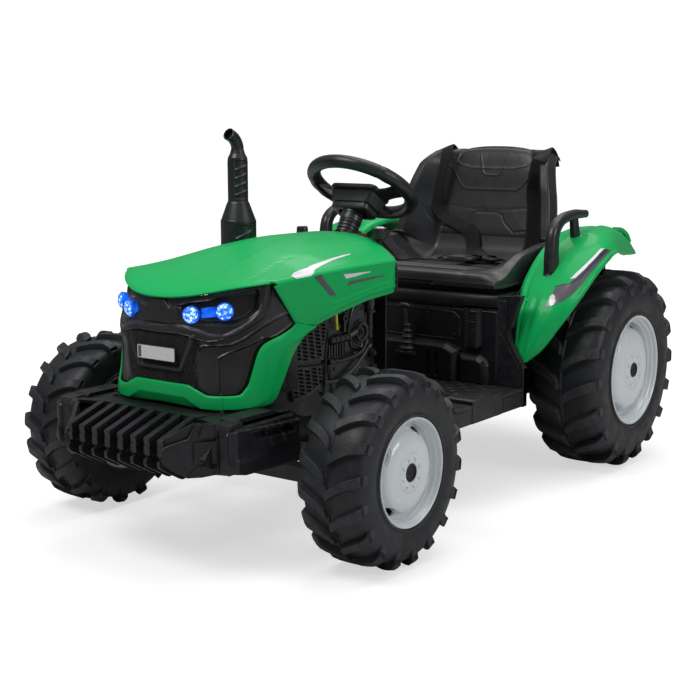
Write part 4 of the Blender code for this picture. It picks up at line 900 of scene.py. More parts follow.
# ---------------------------------------------------------------- bonnet with its cheeks
SIDE_LOW = (
    (-0.478, 0.250), (-0.470, 0.264), (-0.452, 0.293), (-0.422, 0.339), (-0.401, 0.365), (-0.350, 0.380), (-0.295, 0.391),
    (-0.211, 0.404), (-0.122, 0.410),
)
REAR_Y = -0.123
PANEL = [(-0.3700, 0.4600), (-0.3620, 0.4540), (-0.3158, 0.4145), (-0.2886, 0.4142), (-0.1420, 0.4325), (-0.1320, 0.4500), (-0.1300, 0.52), (-0.37, 0.52)]
SEAM = [(0.1330, -0.5120), (0.1296, -0.491), (0.1226, -0.4541), (0.1080, -0.3949), (0.1010, -0.3347), (0.0992, -0.3057), (0.0975, -0.2763), (0.0970, -0.2500)]
FOLD = [(0.0742, -0.4742), (0.0551, -0.4333), (0.0494, -0.3972), (0.0443, -0.361), (0.0377, -0.3117), (0.0268, -0.2448)]


def bonnet_rows():
    nt = 150
    ts = np.linspace(0, 1, nt)
    # across: -0.945 .. 0.945 of the width on the top, then the corner and the side
    aa = np.linspace(-1, 1, 77)
    aa = np.sign(aa) * np.abs(aa) ** 0.9 * 0.945
    cols = []
    for a in aa:
        x = 0.170 * a
        y0, y1 = hood_front_y(x), -0.085 - 0.038 * (x / 0.170) ** 2
        y = y0 + (y1 - y0) * ts
        z = hood_top_z(np.full(nt, x), y)
        z = z - 0.0009 * bead(sd_line(np.full(nt, abs(x)), y, SEAM), 0.0016) + 0.0010 * step(sd_line(np.full(nt, abs(x)), y, FOLD) - 0.0, 0.020)
        # A soft roll at the front lip.
        z = z - 0.0030 * np.exp(-(ts * (y1 - y0)) / 0.0035)
        cols.append(np.stack([np.full(nt, x), y, z], axis=-1))
    side_cols = []
    fs = list(np.linspace(1, 0, 46) ** 1.0)
    edge_x = 0.170 * 0.945
    for j, f in enumerate([1.10, 1.07, 1.04, 1.02] + fs):
        if f > 1:
            k = (1.12 - f) / 0.12
            ang = math.pi / 2 * k * 0.92
            x = edge_x + (0.170 - edge_x) * math.sin(ang)
            y0 = float(hood_front_y(x))
            y = y0 + (REAR_Y - y0) * ts
            top = hood_top_z(np.full(nt, edge_x), y)
            z = top - 0.0105 * (1 - math.cos(ang))
            side_cols.append(np.stack([np.full(nt, x), y, z], axis=-1))
            continue
        yf = float(np.interp(f, (0, 0.136, 0.284, 0.60, 0.92, 1.0), (-0.3592, -0.4133, -0.4223, -0.4420, -0.4622, -0.4660)))
        y = yf + (REAR_Y - yf) * ts
        low = np.interp(y, [p[0] for p in SIDE_LOW], [p[1] for p in SIDE_LOW])
        top = hood_top_z(np.full(nt, edge_x), y) - 0.0105
        z0 = 0.3770 + (float(hood_top_z(edge_x, -0.463)) - 0.0105 - 0.3770) * f
        z = low + (top - low) * f
        z = z + (z0 - z[0]) * (1 - ts) ** 6
        h = np.zeros(nt)
        h -= 0.0019 * step(sd_poly(y, z, PANEL), 0.0045)
        # Rear bevel and tucked lower band, with a fine crease above it.
        h -= 0.0026 * np.clip((y + 0.1340) / 0.010, 0, 1)
        gap = z - low
        h -= 0.0022 * np.clip(1 - gap / 0.0105, 0, 1)
        h += 0.0008 * np.exp(-((gap - 0.0115) / 0.0025) ** 2)
        # The front edge rolls in to the mask.
        front = y - y[0]
        h -= 0.0022 * np.exp(-front / 0.0030)
        side_cols.append(np.stack([0.170 + h, y, z], axis=-1))
    left = [np.array(c) for c in side_cols]
    right = []
    for c in side_cols:
        m = c.copy()
        m[:, 0] *= -1
        right.append(m)
    return [list(map(tuple, c)) for c in list(reversed(right)) + cols + left]


CHEEK_T = [
    (0.1166, 0.2803), (0.1300, 0.2808), (0.1366, 0.2822), (0.1412, 0.2890), (0.1450, 0.2977), (0.1475, 0.3110), (0.1495, 0.3246),
    (0.1510, 0.3360), (0.1532, 0.3490), (0.1575, 0.3600), (0.1660, 0.3668), (0.1790, 0.3712), (0.1934, 0.3760), (0.2090, 0.3825), (0.2205, 0.3886),
]
CHEEK_L = [
    (0.1166, 0.2580), (0.1330, 0.2581), (0.1480, 0.2586), (0.1620, 0.2618), (0.1730, 0.2700), (0.1830, 0.2850), (0.1897, 0.2956),
    (0.1980, 0.3100), (0.2055, 0.3230), (0.2132, 0.3365), (0.2235, 0.3480), (0.2345, 0.3580), (0.2470, 0.3660), (0.2610, 0.3718), (0.2766, 0.3762),
]
CHEEK_V = [0.97, 0.97, 0.90, 0.74, 0.64, 0.58, 0.56, 0.55, 0.53, 0.52, 0.56, 0.70, 0.86, 0.95, 0.95]


def cheek_rows(sign):
    n = len(CHEEK_T)
    q = np.linspace(0, n - 1, 85)
    idx = np.arange(n)
    pick = lambda pts, k: smooth_interp(q, idx, [p[k] for p in pts])
    ts, tz, ls, lz = pick(CHEEK_T, 0), pick(CHEEK_T, 1), pick(CHEEK_L, 0), pick(CHEEK_L, 1)
    vc = np.interp(q, idx, CHEEK_V)
    rows = []
    for v in np.concatenate([[0, 0.02, 0.05], np.linspace(0.1, 0.95, 20), [0.98, 1.0]]):
        s = ts + (ls - ts) * v
        z = tz + (lz - tz) * v
        crest = np.where(v < vc, (v / vc) ** 0.8, 1 - (v - vc) / (1 - vc + 1e-6) * 1.7)
        h = 0.0020 + 0.0024 * crest
        h = h - 0.0034 * math.exp(-v / 0.035)
        # Blend into the bonnet's side at the rear end.
        end = np.clip((q - 11.0) / 3.0, 0, 1)
        h = h * (1 - end) + 0.0002 * end
        p = skin_point(s * 1.0, z, h)
        p[:, 0] *= sign
        rows.append(list(map(tuple, p)))
    return rows


b = Build()
b.grid(bonnet_rows())
bonnet = b.done("bonnet_v", GREEN, "chassis", "bonnet", "green_gloss", solid=0.0036, angle=50, weld=0.0, recalc=True, after=facing((0, -0.30, 0.36)), bevel=0.0008, seg=2, limit=60)
for side, s in (("left", 1), ("right", -1)):
    c = Build()
    c.grid(cheek_rows(s))
    c.done(f"bonnet_cheek_{side}_v", GREEN, "chassis", (), "green_gloss", solid=0.0042, angle=40, weld=0.0, after=facing((0, -0.35, 0.33)), bevel=0.0012, seg=3, limit=60)

# ---------------------------------------------------------------- green trim under the mask
ss = np.linspace(-0.1172, 0.1172, 175)
top_z = np.interp(np.abs(ss), (0, 0.0570, 0.0640, 0.0900, 0.0960, 0.118), (0.2955, 0.2955, 0.2930, 0.2812, 0.2803, 0.2803))
low_z = np.interp(np.abs(ss), (0, 0.02, 0.0799, 0.118), (0.2600, 0.2596, 0.2574, 0.2580))
mid_z = np.interp(np.abs(ss), (0, 0.0515, 0.0799, 0.118), (0.2748, 0.2744, 0.2582, 0.2586))
rows = []
for v in np.concatenate([[0, 0.03, 0.07], np.linspace(0.12, 1.0, 22)]):
    z = top_z + (low_z - top_z) * v
    vc = (top_z - mid_z) / (top_z - low_z)
    crest = np.where(v < vc, v / vc, 1 - (v - vc) / (1 - vc + 0.02) * 1.6)
    h = 0.0016 + 0.0034 * crest - 0.0032 * math.exp(-v / 0.05)
    far = np.clip((np.abs(ss) - 0.0850) / 0.020, 0, 1)
    h = h * (1 - far) + (0.0020 + 0.0024 * min(1, (v / 0.97) ** 0.8) - 0.0032 * math.exp(-v / 0.05)) * far
    h = h - 0.0016 * np.exp(-(0.1172 - np.abs(ss)) / 0.0012)
    rows.append(list(map(tuple, skin_point(ss, z, h))))
b = Build()
b.grid(rows)
b.done("nose_trim_v", GREEN, "chassis", "nose_trim", "green_gloss", solid=0.0042, angle=40, weld=0.0, after=facing((0, -0.35, 0.27)), bevel=0.0010, seg=2, limit=60)

# ---------------------------------------------------------------- nose mask
POCKET = [
    (0.0440, 0.4225), (0.0560, 0.4262), (0.0890, 0.4318), (0.1183, 0.4390), (0.1459, 0.4500), (0.1478, 0.4249), (0.1471, 0.4163),
    (0.1397, 0.4046), (0.1255, 0.3968), (0.0921, 0.3962), (0.0726, 0.3978), (0.0545, 0.4060),
]
CHIN = [(-0.0435, 0.4235), (-0.0247, 0.4199), (-0.0130, 0.4330), (0.0130, 0.4330), (0.0247, 0.4199), (0.0435, 0.4235), (0.0425, 0.3972), (0.030, 0.3940), (-0.030, 0.3940), (-0.0425, 0.3972)]
L0 = [(0.0, 0.3900), (0.0539, 0.3905), (0.0700, 0.3872), (0.0831, 0.3838), (0.0960, 0.3795), (0.1075, 0.3778), (0.1160, 0.3785), (0.1239, 0.3823), (0.1330, 0.3895), (0.1404, 0.3968), (0.1460, 0.4055), (0.1499, 0.4138), (0.1518, 0.4250), (0.1532, 0.4600)]
L1 = [(0.0, 0.3778), (0.0439, 0.3785), (0.0652, 0.3755), (0.0800, 0.3705), (0.0926, 0.3679), (0.1040, 0.3685), (0.1150, 0.3715), (0.1306, 0.3799), (0.1437, 0.3922), (0.1561, 0.4068), (0.1599, 0.4175), (0.1600, 0.4600)]
L2 = [(0.0700, 0.2900), (0.0727, 0.3062), (0.0797, 0.3526), (0.0840, 0.3590), (0.0930, 0.3612), (0.1254, 0.3623), (0.1383, 0.3705), (0.1569, 0.3911), (0.1700, 0.3990), (0.1859, 0.4041), (0.2100, 0.4100)]
L3 = [(0.1118, 0.2800), (0.1105, 0.3403), (0.1164, 0.3447), (0.1456, 0.3610), (0.1568, 0.3688)]
U_BAR = [(-0.0700, 0.3760), (-0.0450, 0.3180), (0.0450, 0.3180), (0.0700, 0.3760)]


def mask_height(s, z):
    a = np.abs(s)
    h = np.zeros(np.shape(s)) + 0.0
    band = L0 + list(reversed(L1))
    h += 0.0036 * step(sd_poly(a, z, band), 0.0020)
    h += 0.0018 * bead(sd_line(a, z, L0), 0.0024) + 0.0018 * bead(sd_line(a, z, L1), 0.0022)
    lower = L2 + [(0.24, 0.40), (0.24, 0.27), (0.0690, 0.27)]
    h -= 0.0030 * step(sd_poly(a, z, lower), 0.0020)
    h += 0.0034 * bead(sd_line(a, z, L2), 0.0030)
    inner = L3 + [(0.20, 0.372), (0.20, 0.26), (0.1118, 0.26)]
    h -= 0.0034 * step(sd_poly(a, z, inner), 0.0020)
    h += 0.0030 * bead(sd_line(a, z, L3), 0.0028)
    # Outer rim beside the green.
    rim = [(x - 0.0035, y + 0.0005) for x, y in CHEEK_T]
    h += 0.0012 * bead(sd_line(a, z, rim), 0.0024)
    # Shelf in front of the lamps, chin and brow.
    shelf = [(0.0, 0.3950), (0.0430, 0.3965), (0.0560, 0.4040), (0.0726, 0.3970), (0.0921, 0.3956), (0.1255, 0.3962), (0.1400, 0.4050), (0.1404, 0.3968), (0.1239, 0.3823), (0.1075, 0.3778), (0.0831, 0.3838), (0.0539, 0.3905), (0.0, 0.3900)]
    h += 0.0015 * step(sd_poly(a, z, shelf), 0.0040)
    h -= 0.0170 * step(sd_poly(a, z, POCKET), 0.0028)
    h += 0.0012 * bead(sd_line(a, z, POCKET + [POCKET[0]]) - 0.0012, 0.0016)
    h += 0.0046 * step(sd_poly(s, z, CHIN), 0.0036)
    h -= 0.0022 * bead(np.where(z > 0.388, np.abs(s), 1.0), 0.0008)
    h -= 0.0018 * bead(np.where((z > 0.378) & (z < 0.394), np.abs(s - 0.0), 1.0), 0.0008)
    h += 0.0052 * bead(sd_line(s, z, U_BAR), 0.0056, 0.45) * (z < 0.3775)
    return h


ns, nz = 300, 124
sv = np.linspace(-0.232, 0.232, ns)
rows = []
lip = np.where(np.abs(sv) < 0.160, hood_top_z(np.minimum(np.abs(sv), 0.16), hood_front_y(np.minimum(np.abs(sv), 0.16))) - 0.0062, 0.4550)
for v in np.linspace(0, 1, nz):
    z = 0.2760 + (lip - 0.2760) * v
    rows.append(list(map(tuple, skin_point(sv, z, mask_height(sv, z) - 0.0026))))
b = Build()
b.grid(rows)
b.done("nose_mask_v", SATIN, "chassis", "nose_mask", "black_plastic", solid=0.0025, angle=60, weld=0.0, after=facing((0, -0.35, 0.35)))

# Woven grille behind the plate: a diamond mesh with deep holes.
nu, nv = 236, 100
rows = []
for v in np.linspace(0, 1, nv):
    z0 = 0.2965
    half = 0.0735 + (0.0805 - 0.0735) * v
    s_row = np.linspace(-half, half, nu)
    z1 = np.interp(np.abs(s_row), [p[0] for p in L1], [p[1] for p in L1]) - 0.0015
    z = z0 + (z1 - z0) * v
    p, q = (s_row / 0.0052 + z / 0.0040), (s_row / 0.0052 - z / 0.0040)
    web = np.minimum(np.abs((p % 1) - 0.5), np.abs((q % 1) - 0.5))
    strand = np.clip(1 - web / 0.17, 0, 1) ** 0.7
    h = -0.0018 + 0.0026 * strand + 0.0006 * np.sin(p * 2 * math.pi) * np.sin(q * 2 * math.pi)
    rows.append(list(map(tuple, skin_point(s_row, z, h - 0.0006))))
b = Build()
b.grid(rows)
b.done("grille_mesh_v", DEEP, "chassis", "grille_mesh", "black_plastic", solid=0.0012, angle=70, weld=0.0, after=facing((0, -0.35, 0.35)))

# Number plate, blank: a rounded plate with a thin dark frame and two fixings.
b = Build()


def rounded(hu, hv, r, n=6, cu=0.0, cv=0.0):
    pts = []
    for qx, qy, a0 in ((1, 1, 0), (-1, 1, 90), (-1, -1, 180), (1, -1, 270)):
        for k in range(n + 1):
            a = R(a0 + 90 * k / n)
            pts.append((cu + qx * (hu - r) + r * math.cos(a), cv + qy * (hv - r) + r * math.sin(a)))
    return pts


b.plate(rounded(0.0425, 0.0120, 0.0022, 6, 0.0, 0.3435), "Y", -0.5676, -0.5655, 1)
b.plate(rounded(0.0413, 0.0108, 0.0018, 6, 0.0, 0.3435), "Y", -0.5682, -0.5674, 0)
b.plate(rounded(0.0036, 0.0096, 0.0009, 4, -0.0362, 0.3435), "Y", -0.56828, -0.5680, 2)
for x in (-0.024, 0.027):
    b.revolve([(0, 0.0004), (0.0009, 0.0004), (0.0014, 0.0001), (0.0015, -0.0004)], axis_matrix((x, -0.5679, 0.3435), (x, -0.6, 0.3435)), 16, 3)
b.done("number_plate_v", [WHITE, SATIN, DECAL_GREY, SILVER], "chassis", "number_plate", "plate_plastic", bevel=0.0002, seg=2, angle=40, limit=50)

# Headlights: reflector cup, faceted lens dome and bezel; ribbed blue reflector between the two. Cup and ribs take a
# painted blue glow.
LAMPS = ((0.067, 0.4106, 0.34), (0.112, 0.4165, 0.72))
for side, s in (("left", 1), ("right", -1)):
    lens, cup = Build(), Build()
    ends = []
    for x, z, turn in LAMPS:
        aim = Vector((s * turn, -1.0, -0.03)).normalized()
        c = Vector((s * x, float(nose_y(x, z)), z))
        place = axis_matrix(c, c + aim)
        lens.revolve([(0.0128, 0.0056), (0.0126, 0.0075), (0.0112, 0.0100), (0.0088, 0.0116), (0.0058, 0.0126), (0.0028, 0.0130), (0.0, 0.0130)], place, 36, 0)
        cup.revolve(
            [(0.0, -0.0040), (0.0060, -0.0030), (0.0105, 0.0010), (0.0130, 0.0056), (0.0133, 0.0074), (0.0140, 0.0074), (0.0146, 0.0052), (0.0142, 0.0010), (0.0120, -0.0050), (0.0, -0.0070)],
            place, 36, 0,
        )
        for k in range(5):
            a = 2 * math.pi * k / 5 + 0.4
            lens.ball((0.0062 * math.cos(a), 0.0062 * math.sin(a), 0.0112), (0.0026, 0.0026, 0.0014), 0, 5, place)
        lens.ball((0, 0, 0.0124), (0.0024, 0.0024, 0.0012), 0, 5, place)
        ends.append(c - aim * 0.002)
    d = ends[1] - ends[0]
    mid_aim = Vector((s * 0.52, -1.0, -0.03)).normalized()
    for k in range(7):
        p = ends[0] + d * (0.30 + 0.065 * k)
        cup.tube([p + Vector((0, 0, -0.0075)) + mid_aim * 0.001, p + Vector((0, 0, 0.0085)) + mid_aim * 0.001], 0.0019, 8)
    lens.done(f"headlight_{side}_v", LENS, "chassis", f"headlight_{side}", "headlight_lens", angle=30)
    cup.done(f"headlight_cup_{side}_v", PAINTED_GLOW, "chassis", (), "headlight_lens", angle=40)

# ---------------------------------------------------------------- plain stripes on the bonnet


def hood_hit(y, z, lift):
    """The bonnet's surface point at that y and z on the left side, from the outside."""
    edge = float(hood_top_z(0.16065, y))
    if z <= edge - 0.0105:
        x = 0.170 - 0.0019 * float(step(sd_poly(np.array(y), np.array(z), PANEL), 0.0045))
        return Vector((x + lift, y, z))
    lo, hi = 0.05, 0.16065
    if z > edge:
        for _ in range(30):
            m = (lo + hi) / 2
            if hood_top_z(m, y) > z:
                lo = m
            else:
                hi = m
        return Vector((lo + lift * 0.55, y, z + lift * 0.85))
    k = math.acos(max(-1, min(1, 1 - (edge - z) / 0.0105)))
    return Vector((0.16065 + (0.170 - 0.16065) * math.sin(k) + lift * 0.8, y, z + lift * 0.6))


def ribbon(name, low, top, mat, sign, lift=0.0005, n=40, m=6, slot="plate_plastic"):
    """A thin plain stripe between two curves of (y, z) on the bonnet's flank."""
    def along(pts, u):
        k = np.linspace(0, 1, len(pts))
        return float(np.interp(u, k, [p[0] for p in pts])), float(np.interp(u, k, [p[1] for p in pts]))

    rows = []
    for i in range(n):
        u = i / (n - 1)
        (y0, z0), (y1, z1) = along(low, u), along(top, u)
        row = []
        for j in range(m):
            v = j / (m - 1)
            p = hood_hit(y0 + (y1 - y0) * v, z0 + (z1 - z0) * v, lift)
            row.append((sign * p.x, p.y, p.z))
        rows.append(row)
    b = Build()
    b.grid(rows)
    return b.done(name, mat, "chassis", (), slot, angle=60, weld=0.0, after=facing((0, -0.30, 0.40)))


for side, s in (("left", 1), ("right", -1)):
    ribbon(f"stripe_white_{side}", [(-0.4112, 0.4612), (-0.3912, 0.4618), (-0.3732, 0.4623), (-0.3601, 0.4664), (-0.3447, 0.4702), (-0.3133, 0.4747), (-0.2786, 0.4789), (-0.2459, 0.4816), (-0.2180, 0.4838)],
           [(-0.4160, 0.4655), (-0.3960, 0.4690), (-0.3735, 0.4715), (-0.3560, 0.4730), (-0.3380, 0.4757), (-0.3021, 0.4791), (-0.2699, 0.4821), (-0.2393, 0.4841), (-0.2163, 0.4848)], DECAL_WHITE, s)
    ribbon(f"stripe_grey_{side}", [(-0.3625, 0.4615), (-0.3480, 0.4480), (-0.3330, 0.4360), (-0.3190, 0.4238)], [(-0.3455, 0.4622), (-0.3310, 0.4490), (-0.3160, 0.4360), (-0.3020, 0.4230)], DECAL_GREY, s)
    ribbon(f"stripe_bar_{side}", [(-0.2717, 0.4360), (-0.2438, 0.4385), (-0.1978, 0.4405), (-0.1560, 0.4422)], [(-0.2640, 0.4430), (-0.2400, 0.4440), (-0.2000, 0.4447), (-0.1580, 0.4440)], DECAL_GREY, s)
    ribbon(f"stripe_tip_{side}", [(-0.2740, 0.4485), (-0.2500, 0.4498), (-0.2260, 0.4520), (-0.2010, 0.4535)], [(-0.2820, 0.4570), (-0.2560, 0.4560), (-0.2280, 0.4556), (-0.2020, 0.4548)], DECAL_WHITE, s)


# ---------------------------------------------------------------- front bumper: core, deck, corner walls and pods
def frame_of(origin, along, up=(0, 0, 1)):
    """Local x runs along, local y is up and local z points out of the page."""
    a, u = Vector(along).normalized(), Vector(up).normalized()
    n = a.cross(u).normalized()
    m = Matrix((a, u, n)).transposed().to_4x4()
    m.translation = Vector(origin)
    return m


def slab(b, outline, place, lo, hi, mat=0):
    """A polygon of (along, up) with thickness lo..hi along the frame's third axis."""
    n = len(outline)
    verts = [tuple(place @ Vector((u, v, lo))) for u, v in outline] + [tuple(place @ Vector((u, v, hi))) for u, v in outline]
    faces = [list(range(n))[::-1], list(range(n, 2 * n))] + [[k, (k + 1) % n, n + (k + 1) % n, n + k] for k in range(n)]
    b.add(verts, faces, mat)


def hexagon(b, centre, out, r, h, mat=0, washer=True):
    """A hex bolt head with a washer and a domed top."""
    place = axis_matrix(centre, Vector(centre) + Vector(out))
    if washer:
        b.revolve([(0, 0), (r * 1.5, 0), (r * 1.5, h * 0.22), (r * 1.42, h * 0.3), (0, h * 0.3)], place, 20, mat)
    b.revolve([(r, h * 0.2), (r, h * 0.85), (r * 0.86, h), (0, h * 1.04)], place, 6, mat)


core = Build()
core.plate([(-0.454, 0.170), (-0.556, 0.172), (-0.612, 0.183), (-0.628, 0.200), (-0.592, 0.240), (-0.454, 0.240)], "X", -0.158, 0.158)
core.plate([(-0.120, -0.592), (0.120, -0.592), (0.152, -0.601), (0.186, -0.580), (0.186, -0.470), (0.150, -0.470), (0.150, -0.440), (-0.150, -0.440), (-0.150, -0.470), (-0.186, -0.470), (-0.186, -0.580), (-0.152, -0.601)], "Z", 0.2470, 0.2532)
core.box((-0.130, -0.478, 0.246), (0.130, -0.470, 0.330))
core.plate([(-0.150, -0.5205), (0.108, -0.5205), (0.108, -0.5165), (-0.150, -0.5165)], "Z", 0.2525, 0.2560)
core.plate([(-0.064, -0.5215), (-0.012, -0.5215), (-0.016, -0.5060), (-0.060, -0.5060)], "Z", 0.2525, 0.2572)
for s in (1, -1):
    # Closed corner between the guard and the pod.
    wall = frame_of((s * 0.108, -0.670, 0), (s * 0.048, 0.066, 0))
    n = s
    for piece in (
        [(0.0, 0.1950), (0.0, 0.2060), (0.0044, 0.2190), (0.0434, 0.2301), (0.0885, 0.2301), (0.0880, 0.1720), (0.0631, 0.1690), (0.0394, 0.1695), (0.0190, 0.1801)],
        [(0.0430, 0.2299), (0.0560, 0.2540), (0.0890, 0.2540), (0.0885, 0.2299)],
    ):
        slab(core, piece, wall, *(sorted((0.0, -0.007 * n))))
    # The recessed cheek of the last rib and its raised edge.
    slab(core, [(0.0, 0.2060), (0.0, 0.2280), (0.030, 0.2450), (0.052, 0.2540), (0.062, 0.2540), (0.062, 0.2060)], wall, *(sorted((-0.006 * n, -0.012 * n))))
    edge = [wall @ Vector((u, v, w * n)) for u, v, w in ((0.0010, 0.2150, -0.0012), (0.0060, 0.2200, -0.0012), (0.0240, 0.2252, -0.0012), (0.0425, 0.2302, -0.0012), (0.0480, 0.2400, -0.0020), (0.0560, 0.2545, -0.0040))]
    core.tube(edge, 0.0026, 10)
    # Bracket, fin and lower seam.
    slab(core, [(0.0498, 0.2246), (0.0520, 0.2262), (0.0872, 0.2272), (0.0872, 0.1900), (0.0520, 0.1926), (0.0500, 0.1945)], wall, *(sorted((0.0052 * n, -0.002 * n))))
    slab(core, [(0.0520, 0.2150), (0.0872, 0.2158), (0.0872, 0.2135), (0.0520, 0.2128)], wall, *(sorted((0.0060 * n, 0.002 * n))))
    slab(core, [(0.0600, 0.2330), (0.0604, 0.2420), (0.0636, 0.2490), (0.0690, 0.2528), (0.0860, 0.2545), (0.0880, 0.2545), (0.0880, 0.2330)], wall, *(sorted((0.0046 * n, -0.002 * n))))
    slab(core, [(0.0400, 0.1740), (0.0860, 0.1762), (0.0860, 0.1880), (0.0560, 0.1880)], wall, *(sorted((0.0020 * n, -0.002 * n))))
    # Upper shelf over the pod.
    core.plate([(-0.5830, 0.2400), (-0.5810, 0.2560), (-0.5760, 0.2596), (-0.4960, 0.2598), (-0.4860, 0.2560), (-0.4780, 0.2530), (-0.4560, 0.2520), (-0.4560, 0.2360), (-0.5830, 0.2360)], "X", min(s * 0.150, s * 0.186), max(s * 0.150, s * 0.186))
    core.box((min(s * 0.150, s * 0.1990), -0.6000, 0.2400), (max(s * 0.150, s * 0.1990), -0.4560, 0.2475))
    core.plate([(-0.6050, 0.2440), (-0.6050, 0.2540), (-0.5860, 0.2560), (-0.5760, 0.2560), (-0.5760, 0.2440)], "X", min(s * 0.162, s * 0.192), max(s * 0.162, s * 0.192))
    hexagon(core, (s * 0.121, -0.545, 0.2530), (0, 0, 1), 0.0042, 0.0040)
    hexagon(core, (s * 0.1880, -0.6075, 0.2408), (0, -1, 0), 0.0013, 0.0012, 1, washer=False)
    core.plate([(-0.4575, 0.172), (-0.4545, 0.172), (-0.4545, 0.254), (-0.4575, 0.254)], "X", min(s * 0.186, s * 0.1998), max(s * 0.186, s * 0.1998))
core.done("front_bumper_v", [BLACK, SILVER], "chassis", "front_bumper", "black_plastic", bevel=0.0011, seg=3, angle=36, limit=30, weld=0.0)

POD_L = (0.0345, 0.0118, 0.1500)


def pod_plan(u):
    """The pod's plan: along the front, round the corner and back along the side; returns x, y and the outward normal."""
    u = np.asarray(u, float)
    x0, r = 0.158, 0.0075
    a = np.clip((u - POD_L[0]) / POD_L[1], 0, 1) * math.pi / 2
    cx, cy = x0 + POD_L[0], -0.6055 + r
    x = np.where(u < POD_L[0], x0 + u, cx + r * np.sin(a))
    y = np.where(u < POD_L[0], -0.6055, cy - r * np.cos(a))
    y = np.where(u > POD_L[0] + POD_L[1], cy + (u - POD_L[0] - POD_L[1]), y)
    return x, y, np.sin(a), -np.cos(a)


def pod_height(u, z, y):
    side = np.clip((u - 0.028) / 0.004, 0, 1)
    line = np.interp(u, (0, 0.008, 0.0345, 0.0463, 0.20), (0.2330, 0.2336, 0.2440, 0.2458, 0.2392))
    h = 0.0030 * side * step(z - line - 0.0006, 0.0018)
    h -= 0.0012 * (1 - side) * step(z - line, 0.0012)
    h += 0.0014 * bead(z - line, 0.0014)
    h += side * 0.0026 * np.clip((0.2100 - z) / 0.016, 0, 1) ** 1.4
    h -= 0.0024 * bead(u - 0.0085, 0.0011)
    h -= (z > line + 0.0010) * side * 0.0040
    pocket = [(-0.5670, 0.2385), (-0.4600, 0.2350), (-0.4620, 0.2225), (-0.5540, 0.2272)]
    h -= 0.0075 * step(sd_poly(y, z, pocket), 0.0016) * (u > 0.046)
    for yd in (-0.5300, -0.4960):
        h += 0.0060 * step(sd_box(y, z, yd - (z - 0.23) * 0.5, 0.2300, 0.0026, 0.0200), 0.0010) * (u > 0.046)
    h += 0.0010 * bead(sd_poly(y, z, pocket) - 0.0012, 0.0012) * (u > 0.046)
    h -= 0.0010 * bead(z - np.interp(u, (0.03, 0.2), (0.2030, 0.1960)), 0.0010) * side * 0.6
    return h


for side, s in (("left", 1), ("right", -1)):
    uu = np.concatenate([np.linspace(0, 0.0345, 34), np.linspace(0.0355, 0.0463, 12), np.linspace(0.0475, 0.1960, 118)])
    x, y, nx, ny = pod_plan(uu)
    rows = []
    low = np.interp(uu, (0, 0.0300, 0.0380, 0.0600, 0.1963), (0.1716, 0.1745, 0.1800, 0.1745, 0.1702))
    for v in np.concatenate([[-0.02], np.linspace(0, 1, 62), [1.01]]):
        z = low + (0.2480 - low) * np.clip(v, 0, 1)
        h = pod_height(uu, z, y) - (0.014 if v < 0 or v > 1 else 0.0) - 0.0016 * math.exp(-abs(v) / 0.02)
        rows.append([(s * (a + nx_ * hh), b_ + ny_ * hh, zz) for a, b_, nx_, ny_, hh, zz in zip(x, y, nx, ny, h, z)])
    pod = Build()
    pod.grid(rows)
    pod.done(f"bumper_pod_{side}_v", BLACK, "chassis", (), "black_plastic", solid=0.003, angle=34, weld=0.0, after=facing((s * 0.17, -0.52, 0.21)))

# ---------------------------------------------------------------- guard: eight ribs, their hooked prongs and the backing
RIB = [
    (-0.5600, 0.2480), (-0.5935, 0.2556), (-0.5955, 0.2554), (-0.6660, 0.2318), (-0.6676, 0.2300), (-0.6655, 0.2180), (-0.6672, 0.2166),
    (-0.6660, 0.2040), (-0.6620, 0.2018), (-0.6540, 0.2020), (-0.6540, 0.2190), (-0.6000, 0.2390), (-0.5600, 0.2400),
]
PRONG = [(-0.6712, 0.1980), (-0.6714, 0.1900), (-0.6690, 0.1862), (-0.6220, 0.1602), (-0.6160, 0.1604), (-0.6140, 0.1650), (-0.6500, 0.1990), (-0.6600, 0.2010)]
g = Build()
for k in range(8):
    x = -0.102 + 0.204 * k / 7
    g.plate(RIB, "X", x - 0.0058, x + 0.0058)
    g.plate(PRONG, "X", x - 0.0034, x + 0.0034)
    g.plate([(-0.6620, 0.1990), (-0.6560, 0.2060), (-0.6460, 0.2060), (-0.6460, 0.1960)], "X", x - 0.0068, x + 0.0068)
    if k < 7:
        xm = x + 0.0146
        hexagon(g, (xm, -0.6510, 0.2120), (0, -1, 0.25), 0.0034, 0.0050)
        g.plate([(-0.6560, 0.2010), (-0.6560, 0.2050), (-0.6440, 0.2080), (-0.6440, 0.1990)], "X", xm - 0.0060, xm + 0.0060)
g.plate([(-0.5860, 0.2400), (-0.5860, 0.2440), (-0.6480, 0.2240), (-0.6520, 0.2200), (-0.6520, 0.1990), (-0.6480, 0.1990), (-0.6480, 0.2180), (-0.6440, 0.2200)], "X", -0.110, 0.110)
g.plate([(-0.6520, 0.2030), (-0.6480, 0.1970), (-0.6180, 0.1650), (-0.6080, 0.1640), (-0.6080, 0.1690), (-0.6140, 0.1700), (-0.6440, 0.2030)], "X", -0.110, 0.110)
g.plate([(-0.5930, 0.2476), (-0.5930, 0.2560), (-0.5600, 0.2535), (-0.5600, 0.2470)], "X", -0.112, 0.112)
g.done("guard_grille_v", BLACK, "chassis", "guard_grille", "black_plastic", bevel=0.0013, seg=3, angle=32, limit=26)


